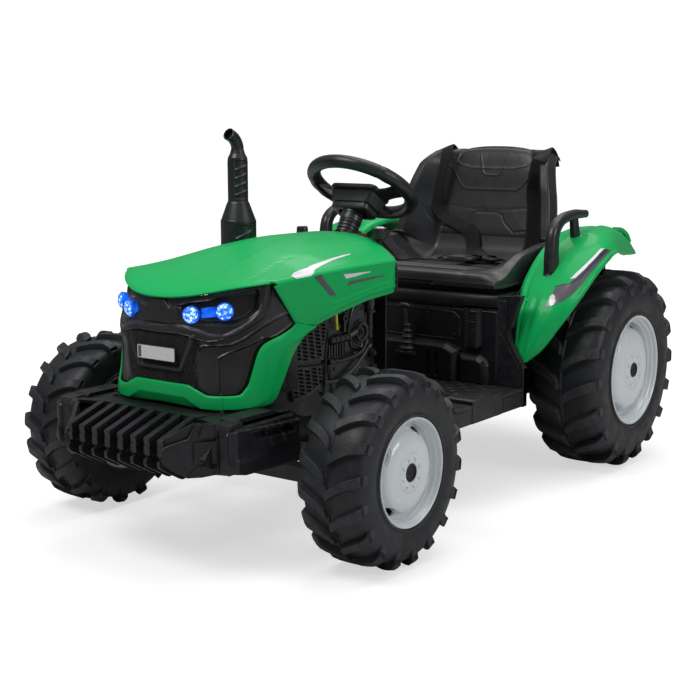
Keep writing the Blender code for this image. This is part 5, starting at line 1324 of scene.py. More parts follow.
# ---------------------------------------------------------------- engine panels
MESH_A = [(-0.3640, 0.3600), (-0.2880, 0.3870), (-0.2990, 0.3370), (-0.3070, 0.3105), (-0.3960, 0.3130), (-0.3980, 0.3500)]
MESH_B = [(-0.3960, 0.3060), (-0.3075, 0.2985), (-0.3065, 0.2670), (-0.3408, 0.2553), (-0.3860, 0.2500)]
HEAD = [(-0.2480, 0.4050), (-0.1880, 0.4050), (-0.1760, 0.3700), (-0.1700, 0.3300), (-0.1900, 0.3080), (-0.2200, 0.3180), (-0.2300, 0.3500)]
BLOCK = [(-0.2960, 0.3080), (-0.2500, 0.3060), (-0.2150, 0.3000), (-0.1880, 0.3020), (-0.1600, 0.2900), (-0.1480, 0.2900), (-0.1480, 0.2080), (-0.2700, 0.2160)]


def engine_height(y, z):
    h = np.full(np.shape(y), -0.0010)
    a, b_ = sd_poly(y, z, MESH_A), sd_poly(y, z, MESH_B)
    both = np.minimum(a, b_)
    h += 0.0050 * step(both - 0.0024, 0.0015)
    h += 0.0014 * bead(both - 0.0018, 0.0016)
    # Slanted slots in three or four columns.
    u = (y + 0.3450) + (z - 0.33) * 0.16
    w = z + (y + 0.3450) * 0.24
    col = np.abs(((u / 0.0190) % 1) - 0.5) * 0.0190
    row = np.abs(((w / 0.0066) % 1) - 0.5) * 0.0066
    slot = np.maximum(col - 0.0064, row - 0.0016)
    h -= 0.0050 * step(slot, 0.0010) * step(both + 0.0030, 0.0010)
    h += 0.0042 * step(sd_poly(y, z, HEAD), 0.0030)
    h += 0.0030 * step(sd_poly(y, z, BLOCK), 0.0024)
    # Cylinder block: upright ribs under the pump and cast pads.
    fins = np.abs((((y + 0.288) / 0.0078) % 1) - 0.5) * 0.0078
    h += 0.0040 * step(sd_box(y, z, -0.2620, 0.3180, 0.0240, 0.0150, 0.002), 0.0016) * step(fins - 0.0022, 0.0010)
    for cy, cz, hy, hz, d in (
        (-0.2790, 0.3560, 0.0060, 0.0150, 0.0030), (-0.2000, 0.2560, 0.0240, 0.0120, 0.0030), (-0.2480, 0.2520, 0.0150, 0.0160, 0.0036),
        (-0.1620, 0.3500, 0.0080, 0.0500, 0.0020), (-0.2900, 0.2700, 0.0080, 0.0220, 0.0026), (-0.1750, 0.2300, 0.0200, 0.0090, 0.0036),
    ):
        h += d * step(sd_box(y, z, cy, cz, hy, hz, 0.003), 0.0018)
    h += 0.0016 * bead(sd_poly(y, z, BLOCK) + 0.004, 0.0014) + 0.0016 * bead(sd_poly(y, z, HEAD) + 0.005, 0.0014)
    for cy, cz, r in ((-0.2350, 0.3880, 0.0040), (-0.2080, 0.3920, 0.0040), (-0.2300, 0.2280, 0.0045), (-0.2700, 0.2880, 0.0035), (-0.1900, 0.2750, 0.0040), (-0.2150, 0.2650, 0.0030)):
        h += 0.0024 * step(sd_circle(y, z, cy, cz, r), 0.0010) + 0.0012 * step(sd_circle(y, z, cy, cz, r * 0.55), 0.0008)
    return h


ENGINE = [(-0.4380, 0.2470), (-0.3500, 0.2160), (-0.1480, 0.2060), (-0.1480, 0.4090), (-0.3000, 0.4000), (-0.3900, 0.3850), (-0.4380, 0.3700)]
for side, s in (("left", 1), ("right", -1)):
    yy = np.linspace(-0.438, -0.148, 350)
    low = np.interp(yy, (-0.438, -0.35, -0.148), (0.2470, 0.2160, 0.2060))
    high = np.interp(yy, (-0.438, -0.40, -0.35, -0.28, -0.20, -0.148), (0.3500, 0.3800, 0.3900, 0.4020, 0.4090, 0.4090))
    rows = []
    for v in np.linspace(0, 1, 240):
        z = low + (high - low) * v
        rows.append([(s * (0.1368 + h_), y_, z_) for y_, z_, h_ in zip(yy, z, engine_height(yy, z))])
    e = Build()
    e.grid(rows)
    e.done(f"engine_panel_{side}_v", SATIN, "chassis", f"engine_panel_{side}", "black_plastic", solid=0.002, angle=40, weld=0.0, after=facing((0, -0.3, 0.3)))
    p = Build()
    X = lambda x, y, z: Vector((s * x, y, z))
    out = Vector((s, 0, 0))
    # Pulley with its rings and hub.
    hub = axis_matrix(X(0.136, -0.1960, 0.3440), X(0.160, -0.1960, 0.3440))
    p.revolve([(0.0, 0.0075), (0.0036, 0.0080), (0.0044, 0.0100), (0.0064, 0.0100), (0.0072, 0.0070), (0.0120, 0.0070), (0.0128, 0.0110), (0.0150, 0.0120), (0.0176, 0.0120), (0.0186, 0.0098), (0.0190, 0.0070), (0.0218, 0.0070), (0.0228, 0.0050), (0.0228, 0.0)], hub, 48)
    p.revolve([(0.0, 0.0138), (0.0022, 0.0136), (0.0030, 0.0124), (0.0030, 0.0070)], hub, 20)
    # Pump with bands, and its flange.
    p.tube([X(0.1420, -0.2900, 0.3390), X(0.1420, -0.2340, 0.3395)], [0.0062, 0.0062], 18)
    for q in (-0.2870, -0.2740, -0.2610, -0.2480, -0.2360):
        p.tube([X(0.1420, q, 0.33905), X(0.1420, q + 0.0040, 0.33905)], [0.0076, 0.0076], 18)
    p.tube([X(0.1410, -0.2340, 0.3395), X(0.1440, -0.2200, 0.3440), X(0.1440, -0.2120, 0.3470)], [0.0050, 0.0058, 0.0060], 14)
    # Lifting lug: ring and stem.
    ring = axis_matrix(X(0.1400, -0.2440, 0.3740), X(0.1460, -0.2440, 0.3740))
    p.revolve([(0.0030, 0.0), (0.0030, 0.0050), (0.0040, 0.0060), (0.0066, 0.0060), (0.0074, 0.0050), (0.0074, 0.0)], ring, 28)
    p.plate([(-0.2470, 0.3500), (-0.2410, 0.3500), (-0.2405, 0.3690), (-0.2475, 0.3690)], "X", min(s * 0.138, s * 0.1440), max(s * 0.138, s * 0.1440))
    # Standing pipe with collar, and the housing's edge.
    p.tube([X(0.1400, -0.1640, 0.4080), X(0.1400, -0.1640, 0.3900), X(0.1400, -0.1640, 0.3780)], [0.0092, 0.0092, 0.0070], 18)
    p.tube([X(0.1400, -0.1640, 0.3800), X(0.1400, -0.1640, 0.3760)], [0.0110, 0.0110], 20)
    p.tube([X(0.1400, -0.1640, 0.3760), X(0.1400, -0.1645, 0.3500), X(0.1400, -0.1650, 0.3300)], [0.0056, 0.0052, 0.0052], 14)
    p.tube([X(0.1400, -0.1652, 0.3520), X(0.1400, -0.1652, 0.3480)], [0.0068, 0.0068], 16)
    p.tube(spline_points([X(0.1400, -0.1980, 0.4060), X(0.1410, -0.2180, 0.3880), X(0.1410, -0.2290, 0.3620), X(0.1400, -0.2300, 0.3380)], 6), 0.0030, 8)
    p.tube(spline_points([X(0.1390, -0.3020, 0.4020), X(0.1400, -0.2880, 0.3600), X(0.1400, -0.2960, 0.3150), X(0.1400, -0.3000, 0.2600)], 6), 0.0022, 8)
    for c in ((-0.1553, 0.3003), (-0.1539, 0.2748)):
        hexagon(p, X(0.1400, *c), out, 0.0052, 0.0070)
    for c in ((-0.2560, 0.3620), (-0.2200, 0.3000), (-0.2860, 0.3060), (-0.1880, 0.3850), (-0.3020, 0.2480)):
        hexagon(p, X(0.1385, *c), out, 0.0028, 0.0040)
    p.ball(X(0.1400, -0.2060, 0.3060), (0.0020, 0.0085, 0.0040), 0, 10)
    p.plate([(-0.3060, 0.2100), (-0.3060, 0.1650), (-0.3000, 0.1625), (-0.3240, 0.1625), (-0.3300, 0.1650), (-0.3300, 0.2200)], "X", min(s * 0.098, s * 0.135), max(s * 0.098, s * 0.135))
    p.done(f"engine_parts_{side}_v", SATIN, "chassis", (), "black_plastic", bevel=0.0005, seg=2, angle=38, limit=36)
    q = Build()
    q.tube(spline_points([X(0.1430, -0.2905, 0.3020), X(0.1450, -0.2478, 0.3005), X(0.1460, -0.2180, 0.3040), X(0.1460, -0.1927, 0.3110), X(0.1430, -0.1790, 0.3240)], 8), 0.0030, 12)
    q.tube(spline_points([X(0.1420, -0.3060, 0.2690), X(0.1450, -0.2674, 0.2667), X(0.1470, -0.2330, 0.2762), X(0.1470, -0.2079, 0.2905), X(0.1460, -0.1876, 0.3041), X(0.1420, -0.1671, 0.3150)], 8), 0.0034, 12)
    for a, c in (((-0.2905, 0.3020), (-0.2820, 0.3016)), ((-0.1815, 0.3205), (-0.1780, 0.3260)), ((-0.3060, 0.2690), (-0.2960, 0.2684)), ((-0.1740, 0.3110), (-0.1660, 0.3158))):
        q.tube([X(0.1430, *a), X(0.1430, *c)], 0.0045, 14)
    q.done(f"engine_hoses_{side}_v", HOSE, "chassis", (), "black_plastic", angle=40)
d = Build()
d.tube([(0.1440, -0.2715, 0.3860), (0.1440, -0.2700, 0.3700), (0.1440, -0.2686, 0.3585)], [0.0031, 0.0031, 0.0031], 14)
d.tube([(0.1440, -0.2686, 0.3592), (0.1440, -0.2684, 0.3570)], [0.0036, 0.0036], 14)
d.done("dipstick_v", YELLOW, "chassis", (), "black_plastic", bevel=0.0004, seg=2, angle=40)

# ---------------------------------------------------------------- floor with its tread plate
ff = Build()
xs = np.linspace(-0.2845, 0.2845, 400)
ys = np.linspace(-0.1500, 0.1495, 212)
gx, gy = np.meshgrid(xs, ys)


def tread(x, y):
    """Raised dashes laid crosswise."""
    cell = 0.0215
    i, j = np.floor(x / cell), np.floor(y / cell)
    u, v = x - (i + 0.5) * cell, y - (j + 0.5) * cell
    sign = np.where((i + j) % 2 == 0, 1.0, -1.0)
    c = math.cos(R(38))
    t = math.sin(R(38))
    a, b_ = u * c + sign * v * t, -sign * u * t + v * c
    return np.clip(1 - np.sqrt((a / 0.0098) ** 2 + (b_ / 0.0026) ** 2), 0, 1) ** 0.6


zz = 0.2000 + 0.0017 * tread(gx, gy) - 0.0004
zz = np.where(np.abs(gx) > 0.240, 0.1996 + 0.0012 * np.clip(1 - np.abs(np.abs(gx) - 0.2425) / 0.0025, 0, 1), zz)
edge = np.clip((0.2845 - np.abs(gx)) / 0.0030, 0, 1)
zz = zz - 0.0030 * (1 - edge) ** 2
ff.grid([[(float(a), float(b_), float(c)) for a, b_, c in zip(*r)] for r in zip(gx, gy, zz)])
ff.done("floor_tread_v", SATIN, "chassis", (), "black_plastic", solid=0.004, angle=50, weld=0.0, after=facing((0, 0, 0.1)))
fb = Build()
fb.plate([(-0.1500, 0.1640), (0.1490, 0.1640), (0.1490, 0.1965), (-0.1500, 0.1965)], "X", -0.2835, 0.2835)
for s in (1, -1):
    a, b_ = sorted((s * 0.2260, s * 0.2848))
    fb.plate([(-0.0400, 0.1640), (0.0655, 0.1640), (0.0655, 0.2060), (0.0625, 0.2078), (-0.0370, 0.2078), (-0.0400, 0.2060)], "X", a, b_)
    for k in range(4):
        y0 = -0.030 + k * 0.023
        fb.plate([(s * 0.2340, y0), (s * 0.2780, y0), (s * 0.2780, y0 + 0.014), (s * 0.2340, y0 + 0.014)], "Z", 0.2070, 0.2090)
    for y0, y1 in ((-0.146, -0.050), (0.074, 0.146)):
        a, b_ = sorted((s * 0.2830, s * 0.2850))
        fb.plate([(y0, 0.1700), (y1, 0.1700), (y1, 0.1930), (y0, 0.1930)], "X", a, b_)
for x in (-0.20, -0.10, 0.10, 0.20):
    fb.plate([(-0.1500, 0.1632), (0.1490, 0.1632), (0.1490, 0.1700), (-0.1500, 0.1700)], "X", x - 0.003, x + 0.003)
fb.done("floor_pan_v", BLACK, "chassis", "floor_pan", "black_plastic", bevel=0.0014, seg=3, angle=36)

# ---------------------------------------------------------------- seat box: bolted panel, gear lever boot, hump and louvred drum
def box_front(x, z):
    h = np.zeros(np.shape(x))
    panel = [(-0.1358, 0.3252), (-0.1237, 0.3355), (-0.0700, 0.3383), (0.0702, 0.3383), (0.1237, 0.3355), (0.1358, 0.3252), (0.1364, 0.2901), (0.1293, 0.2850), (-0.1293, 0.2850), (-0.1364, 0.2901)]
    d = sd_poly(x, z, panel)
    h -= 0.0030 * step(d, 0.0016)
    h += 0.0018 * bead(d - 0.0016, 0.0020)
    hump = [(-0.140, 0.2640), (-0.112, 0.2765), (-0.030, 0.2794), (0.0561, 0.2790), (0.1125, 0.2770), (0.1425, 0.2640), (0.1400, 0.2360), (0.1400, 0.1900), (-0.1400, 0.1900), (-0.1400, 0.2360)]
    e = sd_poly(x, z, hump)
    h += 0.0190 * np.clip(-e / 0.0110, 0, 1) ** 0.55
    for xs_ in (-0.0960, -0.0740, -0.0500, -0.0300, 0.0740, 0.0950):
        h -= 0.0060 * step(sd_box(x, z, xs_, 0.2330, 0.0030, 0.0250, 0.003), 0.0012)
    for s in (1, -1):
        boss = [(s * 0.1400, 0.2575), (s * 0.1868, 0.2579), (s * 0.2010, 0.2500), (s * 0.2075, 0.2360), (s * 0.2089, 0.1900), (s * 0.1400, 0.1900)]
        h = np.maximum(h, 0.0130 * np.clip(-sd_poly(x, z, boss) / 0.0120, 0, 1) ** 0.5)
        drum = sd_box(x, z, s * 0.1695, 0.3140, 0.0185, 0.0430, 0.006)
        half = np.clip(1 - ((x - s * 0.1695) / 0.0195) ** 2, 0, 1) ** 0.5
        k = step(drum, 0.0016)
        grooves = np.abs((((z - 0.2960) / 0.0046) % 1) - 0.5) * 0.0046
        lou = 0.0022 * step(grooves - 0.0011, 0.0008) * ((z > 0.2950) & (z < 0.3440) & (np.abs(x - s * 0.1675) < 0.0140))
        h = np.maximum(h, k * (0.0125 * half) - lou * k)
    h -= 0.0012 * bead(z - 0.3460, 0.0016)
    return h


sb = Build()
xs = np.linspace(-0.2255, 0.2255, 460)
rows = []
for z in np.concatenate([np.linspace(0.2000, 0.3500, 190)]):
    h = box_front(xs, np.full(xs.shape, z))
    r = np.clip((np.abs(xs) - 0.2195) / 0.006, 0, 1)
    rows.append([(float(a), float(0.1500 - hh + 0.006 * (1 - math.sqrt(max(0.0, 1 - q * q)))), float(z)) for a, hh, q in zip(xs, h, r)])
sb.grid(rows)
sb.done("seat_box_front_v", BLACK, "chassis", (), "black_plastic", solid=0.0024, angle=45, weld=0.0, after=facing((0, 0.3, 0.28)))

bx = Build()
# Side walls with pressed panels, the rear wall and the flange under the seat.
for s in (1, -1):
    yv = np.linspace(0.1560, 0.3510, 130)
    rows = []
    for z in np.linspace(0.1640, 0.3560, 120):
        d = sd_box(yv, np.full(yv.shape, z), 0.2530, 0.2900, 0.0780, 0.0420, 0.010)
        ribs = np.abs((((yv - 0.17) / 0.020) % 1) - 0.5) * 0.020
        h = -0.0016 * step(d, 0.0016) + 0.0010 * step(ribs - 0.0030, 0.001) * step(d, 0.002)
        rows.append([(s * (0.2255 + hh - 0.0006), y_, z) for y_, hh in zip(yv, h)])
    bx.grid(rows)
bx.plate([(-0.2250, 0.1640), (0.2250, 0.1640), (0.2250, 0.3600), (-0.2250, 0.3600)], "Y", 0.3490, 0.3520)
bx.plate([(-0.2255, 0.1550), (0.2255, 0.1550), (0.2255, 0.3510), (-0.2255, 0.3510)], "Z", 0.1630, 0.1660)
# A rounded flange that overhangs the front, deeper at the middle.
flange = []
for k in range(61):
    x = -0.2256 + 0.4512 * k / 60
    t = abs(x) / 0.2256
    top = 0.3775 + 0.0005 * t
    low = 0.3500 + 0.0040 * t ** 3
    lip = 0.0075 - 0.0050 * t ** 8
    flange.append([(x, 0.1560, low + 0.002), (x, 0.1500 - lip * 0.55, low), (x, 0.1500 - lip, low + 0.0040), (x, 0.1500 - lip - 0.0012, (low + top) / 2), (x, 0.1500 - lip, top - 0.0050), (x, 0.1500 - lip * 0.5, top - 0.0004), (x, 0.1580, top), (x, 0.1600, top - 0.004)])
bx.loft(flange)
for s in (1, -1):
    a, b_ = sorted((s * 0.2200, s * 0.2262))
    bx.plate([(0.1500, 0.3540), (0.1500, 0.3770), (0.3515, 0.3770), (0.3515, 0.3540)], "X", a, b_)
bx.plate([(-0.2250, 0.3460), (0.2250, 0.3460), (0.2250, 0.3515), (-0.2250, 0.3515)], "Z", 0.3540, 0.3770)
bx.plate([(-0.2240, 0.1520), (0.2240, 0.1520), (0.2240, 0.3500), (-0.2240, 0.3500)], "Z", 0.3720, 0.3775)
bx.plate([(-0.1900, 0.1720), (0.1900, 0.1720), (0.1900, 0.3400), (-0.1900, 0.3400)], "Z", 0.3770, 0.3903)
bx.done("seat_box_v", BLACK, "chassis", "seat_box", "black_plastic", bevel=0.0012, seg=3, angle=40, weld=0.0, limit=40)

# Gear lever: T grip, stem and a five-fold boot.
gl = Build()
gl.tube(spline_points([(0.0060, 0.1300, 0.3440), (0.0120, 0.1280, 0.3462), (0.0230, 0.1272, 0.3462), (0.0320, 0.1290, 0.3430)], 5), [0.0040 + 0.0012 * math.sin(math.pi * k / 15) for k in range(16)], 14)
gl.tube([(0.0215, 0.1275, 0.3460), (0.0222, 0.1290, 0.3300), (0.0232, 0.1310, 0.3060)], [0.0042, 0.0031, 0.0036], 12)
profile = []
top, low = 0.3080, 0.2500
folds = 5
for k in range(folds * 8 + 1):
    q = k / (folds * 8)
    r = 0.0052 + 0.0125 * q + 0.0024 * math.sin(q * folds * 2 * math.pi)
    profile.append((r, top - (top - low) * q))
profile = [(0.0, top + 0.001)] + profile + [(0.0, low)]
gl.revolve([(r, z - 0.25) for r, z in profile], Matrix.Translation((0.0245, 0.1330, 0.25)), 40)
gl.box((0.0005, 0.1220, 0.2450), (0.0485, 0.1400, 0.2515))
gl.done("gear_lever_v", HOSE, "chassis", (), "black_plastic", bevel=0.0008, seg=2, angle=40, limit=40)
bo = Build()
for x, z in ((-0.1270, 0.3290), (0.1270, 0.3290), (-0.1270, 0.2925), (0.1270, 0.2925), (-0.0640, 0.2920), (0.0640, 0.3320), (-0.0640, 0.3320)):
    hexagon(bo, (x, 0.1520, z), (0, -1, 0), 0.0034, 0.0052)
bo.done("panel_bolts_v", SATIN, "chassis", (), "black_plastic", angle=30)

# ---------------------------------------------------------------- knee panel below the dash
def knee_height(x, z):
    h = np.zeros(np.shape(x))
    d = sd_box(x, z, 0.0, 0.3350, 0.120, 0.060, 0.012)
    h -= 0.0022 * step(d, 0.0020)
    h += 0.0012 * bead(d - 0.002, 0.0018)
    ribs = np.abs(((x / 0.024) % 1) - 0.5) * 0.024
    h += 0.0016 * step(ribs - 0.0022, 0.0010) * step(d + 0.010, 0.0020)
    for sx in (-1, 1):
        h += 0.0022 * step(sd_circle(x, z, sx * 0.142, 0.40, 0.005), 0.001) + 0.0022 * step(sd_circle(x, z, sx * 0.142, 0.225, 0.005), 0.001)
    return h


kp = Build()
xs = np.linspace(-0.160, 0.160, 240)
kp.grid([[(float(a), float(-0.1392 + h_), float(z)) for a, h_ in zip(xs, knee_height(xs, np.full(xs.shape, z)))] for z in np.linspace(0.2004, 0.4250, 170)])
kp.done("knee_panel_v", BLACK, "chassis", "knee_panel", "black_plastic", solid=0.003, angle=45, weld=0.0, after=facing((0, -0.4, 0.3)))

# ---------------------------------------------------------------- wheel arches, wings and the fin
ARCH = [(0.1515, 0.163), (0.59, 0.163), (0.625, 0.30), (0.625, 0.425), (0.56, 0.45), (0.48, 0.466), (0.40, 0.466), (0.33, 0.446), (0.262, 0.404), (0.22, 0.37), (0.1515, 0.37)]


def arch_height(y, z):
    h = np.zeros(np.shape(y))
    rr = np.hypot(y - 0.438, z - 0.205)
    for r0 in (0.105, 0.150, 0.195):
        h += 0.0006 * bead(rr - r0, 0.0030)
    return h


for side, s in (("left", 1), ("right", -1)):
    ar = Build()
    outline = list(ARCH)
    hole = [(0.438 + 0.060 * math.cos(a), 0.205 + 0.060 * math.sin(a)) for a in np.linspace(0, 2 * math.pi, 49)[:-1]]
    # The plate is cut along a line from the hole down to the edge so it stays one sheet.
    rows = []
    angs = np.linspace(-math.pi / 2, 1.5 * math.pi, 181)
    for a in angs:
        cy, cz = 0.438, 0.205
        dy, dz = math.cos(a), math.sin(a)
        far = 1e9
        for (y0, z0), (y1, z1) in zip(outline, outline[1:] + outline[:1]):
            ey, ez = y1 - y0, z1 - z0
            den = dy * ez - dz * ey
            if abs(den) < 1e-12:
                continue
            t = ((y0 - cy) * ez - (z0 - cz) * ey) / den
            w = ((y0 - cy) * dz - (z0 - cz) * dy) / den
            if t > 0 and -1e-9 <= w <= 1 + 1e-9:
                far = min(far, t)
        near = 0.060
        if far <= near:
            near = far - 0.002
        row = []
        for q in np.linspace(0, 1, 40):
            r = near + (far - near) * q
            y, z = cy + dy * r, cz + dz * r
            row.append((s * (0.2276 + float(arch_height(np.array(y), np.array(z)))), y, z))
        rows.append(row)
    ar.grid(rows)
    ar.done(f"wheel_arch_{side}_v", BLACK, "chassis", f"wheel_arch_{side}", "black_plastic", solid=0.0024, angle=50, weld=0.0, after=facing((0, 0.3, 0.3)))
    w = Build()
    wing = [(0.2264, 0.163), (0.2850, 0.163), (0.2850, 0.240), (0.2690, 0.2620), (0.2520, 0.2900), (0.2460, 0.3250), (0.2440, 0.3690), (0.2264, 0.3690)]
    w.plate([(s * x, z) for x, z in wing], "Y", 0.1517, 0.1657)
    w.plate([(s * x, z) for x, z in [(0.2310, 0.200), (0.2760, 0.200), (0.2760, 0.2380), (0.2600, 0.2620), (0.2430, 0.2900), (0.2310, 0.3050)]], "Y", 0.1500, 0.1530)
    w.plate([(s * x, z) for x, z in [(0.2264, 0.3060), (0.2340, 0.3090), (0.2500, 0.3180), (0.2720, 0.3800), (0.2660, 0.3812), (0.2264, 0.3760)]], "Y", 0.1560, 0.1640)
    w.plate([(s * x, z) for x, z in [(0.2480, 0.3140), (0.2540, 0.3160), (0.2770, 0.3812), (0.2706, 0.3812)]], "Y", 0.1500, 0.1660)
    w.plate([(s * x, z) for x, z in [(0.2810, 0.163), (0.2850, 0.163), (0.2850, 0.2400), (0.2810, 0.2440)]], "Y", 0.1490, 0.1660)
    w.done(f"arch_wing_{side}_v", BLACK, "chassis", (), "black_plastic", bevel=0.0010, seg=2, angle=36)

# ---------------------------------------------------------------- rear panel and deck
def rear_height(x, z):
    h = np.zeros(np.shape(x))
    d = sd_box(x, z, 0.0, 0.3400, 0.150, 0.075, 0.014)
    h -= 0.0030 * step(d, 0.0022)
    h += 0.0016 * bead(d - 0.0022, 0.0020)
    lou = np.abs((((z - 0.28) / 0.014) % 1) - 0.5) * 0.014
    h += 0.0030 * step(lou - 0.0030, 0.0016) * step(sd_box(x, z, 0.0, 0.3400, 0.085, 0.052, 0.006), 0.002)
    for sx in (-1, 1):
        h += 0.0020 * step(sd_box(x, z, sx * 0.118, 0.3400, 0.018, 0.050, 0.004), 0.0016)
        h += 0.0020 * step(sd_circle(x, z, sx * 0.205, 0.20, 0.006), 0.001) + 0.0020 * step(sd_circle(x, z, sx * 0.205, 0.42, 0.006), 0.001)
    d2 = sd_box(x, z, 0.0, 0.2150, 0.110, 0.030, 0.010)
    h += 0.0016 * bead(d2, 0.0022)
    return h


rp = Build()
xs = np.linspace(-0.2256, 0.2256, 300)
rp.grid([[(float(a), float(0.5968 + h_), float(z)) for a, h_ in zip(xs, rear_height(xs, np.full(xs.shape, z)))] for z in np.linspace(0.1634, 0.4515, 200)])
rp.done("rear_panel_v", BLACK, "chassis", "rear_panel", "black_plastic", solid=0.004, angle=45, weld=0.0, after=facing((0, 0.2, 0.3)))
dk = Build()
dk.box((-0.2250, 0.4985, 0.4460), (0.2250, 0.5980, 0.4516))
dk.box((-0.2250, 0.4640, 0.4460), (-0.2080, 0.4990, 0.4516))
dk.box((0.2080, 0.4640, 0.4460), (0.2250, 0.4990, 0.4516))
for k in range(9):
    x = -0.176 + 0.044 * k
    dk.plate([(x - 0.004, 0.508), (x + 0.004, 0.508), (x + 0.004, 0.580), (x - 0.004, 0.580)], "Z", 0.4505, 0.4530)
dk.done("rear_deck_v", BLACK, "chassis", (), "black_plastic", bevel=0.0012, seg=3, angle=36)
tl = Build()
for s in (1, -1):
    a, b_ = sorted((s * 0.160, s * 0.196))
    tl.plate([(a, 0.392), (b_, 0.392), (b_, 0.412), (a, 0.412)], "Y", 0.5960, 0.6004)
tl.done("tail_reflectors_v", RED_LENS, "chassis", (), "black_plastic", bevel=0.0016, seg=3, angle=36)

# ---------------------------------------------------------------- accelerator pedal
pd = Build()
pd.plate([(-0.118, 0.204), (-0.1145, 0.2035), (-0.042, 0.233), (-0.0405, 0.2365), (-0.043, 0.2385), (-0.119, 0.2125), (-0.122, 0.2085)], "X", -0.150, -0.088)
slope = Vector((0, 0.0725, 0.0295)).normalized()
nrm = Vector((0, -slope.z, slope.y))
for k in range(7):
    c = Vector((-0.119, -0.1060, 0.2178)) + slope * (0.009 * k)
    place = frame_of(c, (1, 0, 0), tuple(slope))
    slab(pd, [(-0.026, -0.0017), (0.026, -0.0017), (0.026, 0.0017), (-0.026, 0.0017)], place, -0.001, 0.0016)
pd.tube([(-0.150, -0.118, 0.208), (-0.088, -0.118, 0.208)], 0.0042, 16)
pd.done("accelerator_pedal_v", SATIN, "pedal", "accelerator_pedal", "black_plastic", bevel=0.0008, seg=2, angle=34)


# ---------------------------------------------------------------- dashboard
def hood_rear_y(x):
    return -0.085 - 0.038 * (x / 0.17) ** 2


def dash_z(x):
    return float(hood_top_z(x * 1.03, -0.1)) - 0.0072


def dash_relief(x, y):
    """Gauge cowl, two dials and a seam, as heights above the dash."""
    h = 0.0
    h += 0.0030 * float(step(sd_box(np.array(x), np.array(y), 0.0, -0.088, 0.036, 0.010, 0.006), 0.004))
    for gx in (-0.0165, 0.0165):
        d = math.hypot(x - gx, y + 0.088)
        h += 0.0010 * max(0.0, 1 - abs(d - 0.0090) / 0.0016) - 0.0012 * float(step(np.array(d - 0.0082), 0.001))
    h -= 0.0009 * max(0.0, 1 - abs(abs(x) - 0.125) / 0.0012)
    return h


rows = []
xs = np.concatenate([np.linspace(-0.158, 0.158, 260)])
prof = np.linspace(0, 1, 120)
for x in xs:
    yr = -0.030 - 0.085 * (abs(x) / 0.16) ** 2
    zt = dash_z(x)
    pts = [Vector((x, -0.1330, zt - 0.002)), Vector((x, yr - 0.0125, zt)), Vector((x, yr - 0.0035, zt - 0.0024)), Vector((x, yr, zt - 0.0095)), Vector((x, yr - 0.0015, zt - 0.030)), Vector((x, yr - 0.004, 0.440))]
    lens_ = [0.0]
    for a, b_ in zip(pts, pts[1:]):
        lens_.append(lens_[-1] + (b_ - a).length)
    row = []
    for q in prof:
        t = q * lens_[-1]
        y = float(np.interp(t, lens_, [p.y for p in pts]))
        z = float(np.interp(t, lens_, [p.z for p in pts]))
        if t < lens_[1]:
            z += dash_relief(x, y)
        else:
            y += 0.0010 * math.exp(-((z - (zt - 0.034)) / 0.0018) ** 2)
        row.append((x, y, z))
    rows.append(row)
dash = Build()
dash.grid(rows)
dash.done("dashboard_v", BLACK, "chassis", "dashboard", "black_plastic", solid=0.0035, angle=50, weld=0.0, after=facing((0, -0.11, 0.44)))
rim = Build()
path = [(x, hood_rear_y(x) + 0.0030, float(hood_top_z(x, hood_rear_y(x))) - 0.0030) for x in np.linspace(-0.1595, 0.1595, 61)]
for s in (-1, 1):
    tail = [(s * 0.1655, -0.1208, 0.4610), (s * 0.1680, -0.1206, 0.4520), (s * 0.1680, -0.1206, 0.4300), (s * 0.1670, -0.1206, 0.4120)]
    path = (path + tail) if s == 1 else (list(reversed(tail)) + path)
rim.tube(path, 0.0030, 8)
rim.done("dash_rim_v", BLACK, "chassis", (), "black_plastic", angle=50)
face = Build()
for gx in (-0.0165, 0.0165):
    place = Matrix.Translation((gx, -0.088, dash_z(gx) + 0.0012))
    face.revolve([(0.0, 0.0006), (0.0074, 0.0006), (0.0078, 0.0)], place, 32, 0)
    face.plate([(gx - 0.0004, -0.0920), (gx + 0.0004, -0.0920), (gx + 0.0030, -0.0835), (gx + 0.0024, -0.0833)], "Z", dash_z(gx) + 0.0018, dash_z(gx) + 0.0023, 1)
    for k in range(9):
        a = R(-30 + 30 * k)
        c = (gx + 0.0062 * math.cos(a), -0.088 + 0.0062 * math.sin(a))
        face.ball((c[0], c[1], dash_z(gx) + 0.0019), (0.0005, 0.0005, 0.0003), 1, 4)
face.done("dash_dials_v", [DEEP, DECAL_WHITE], "chassis", (), "black_plastic", angle=40)

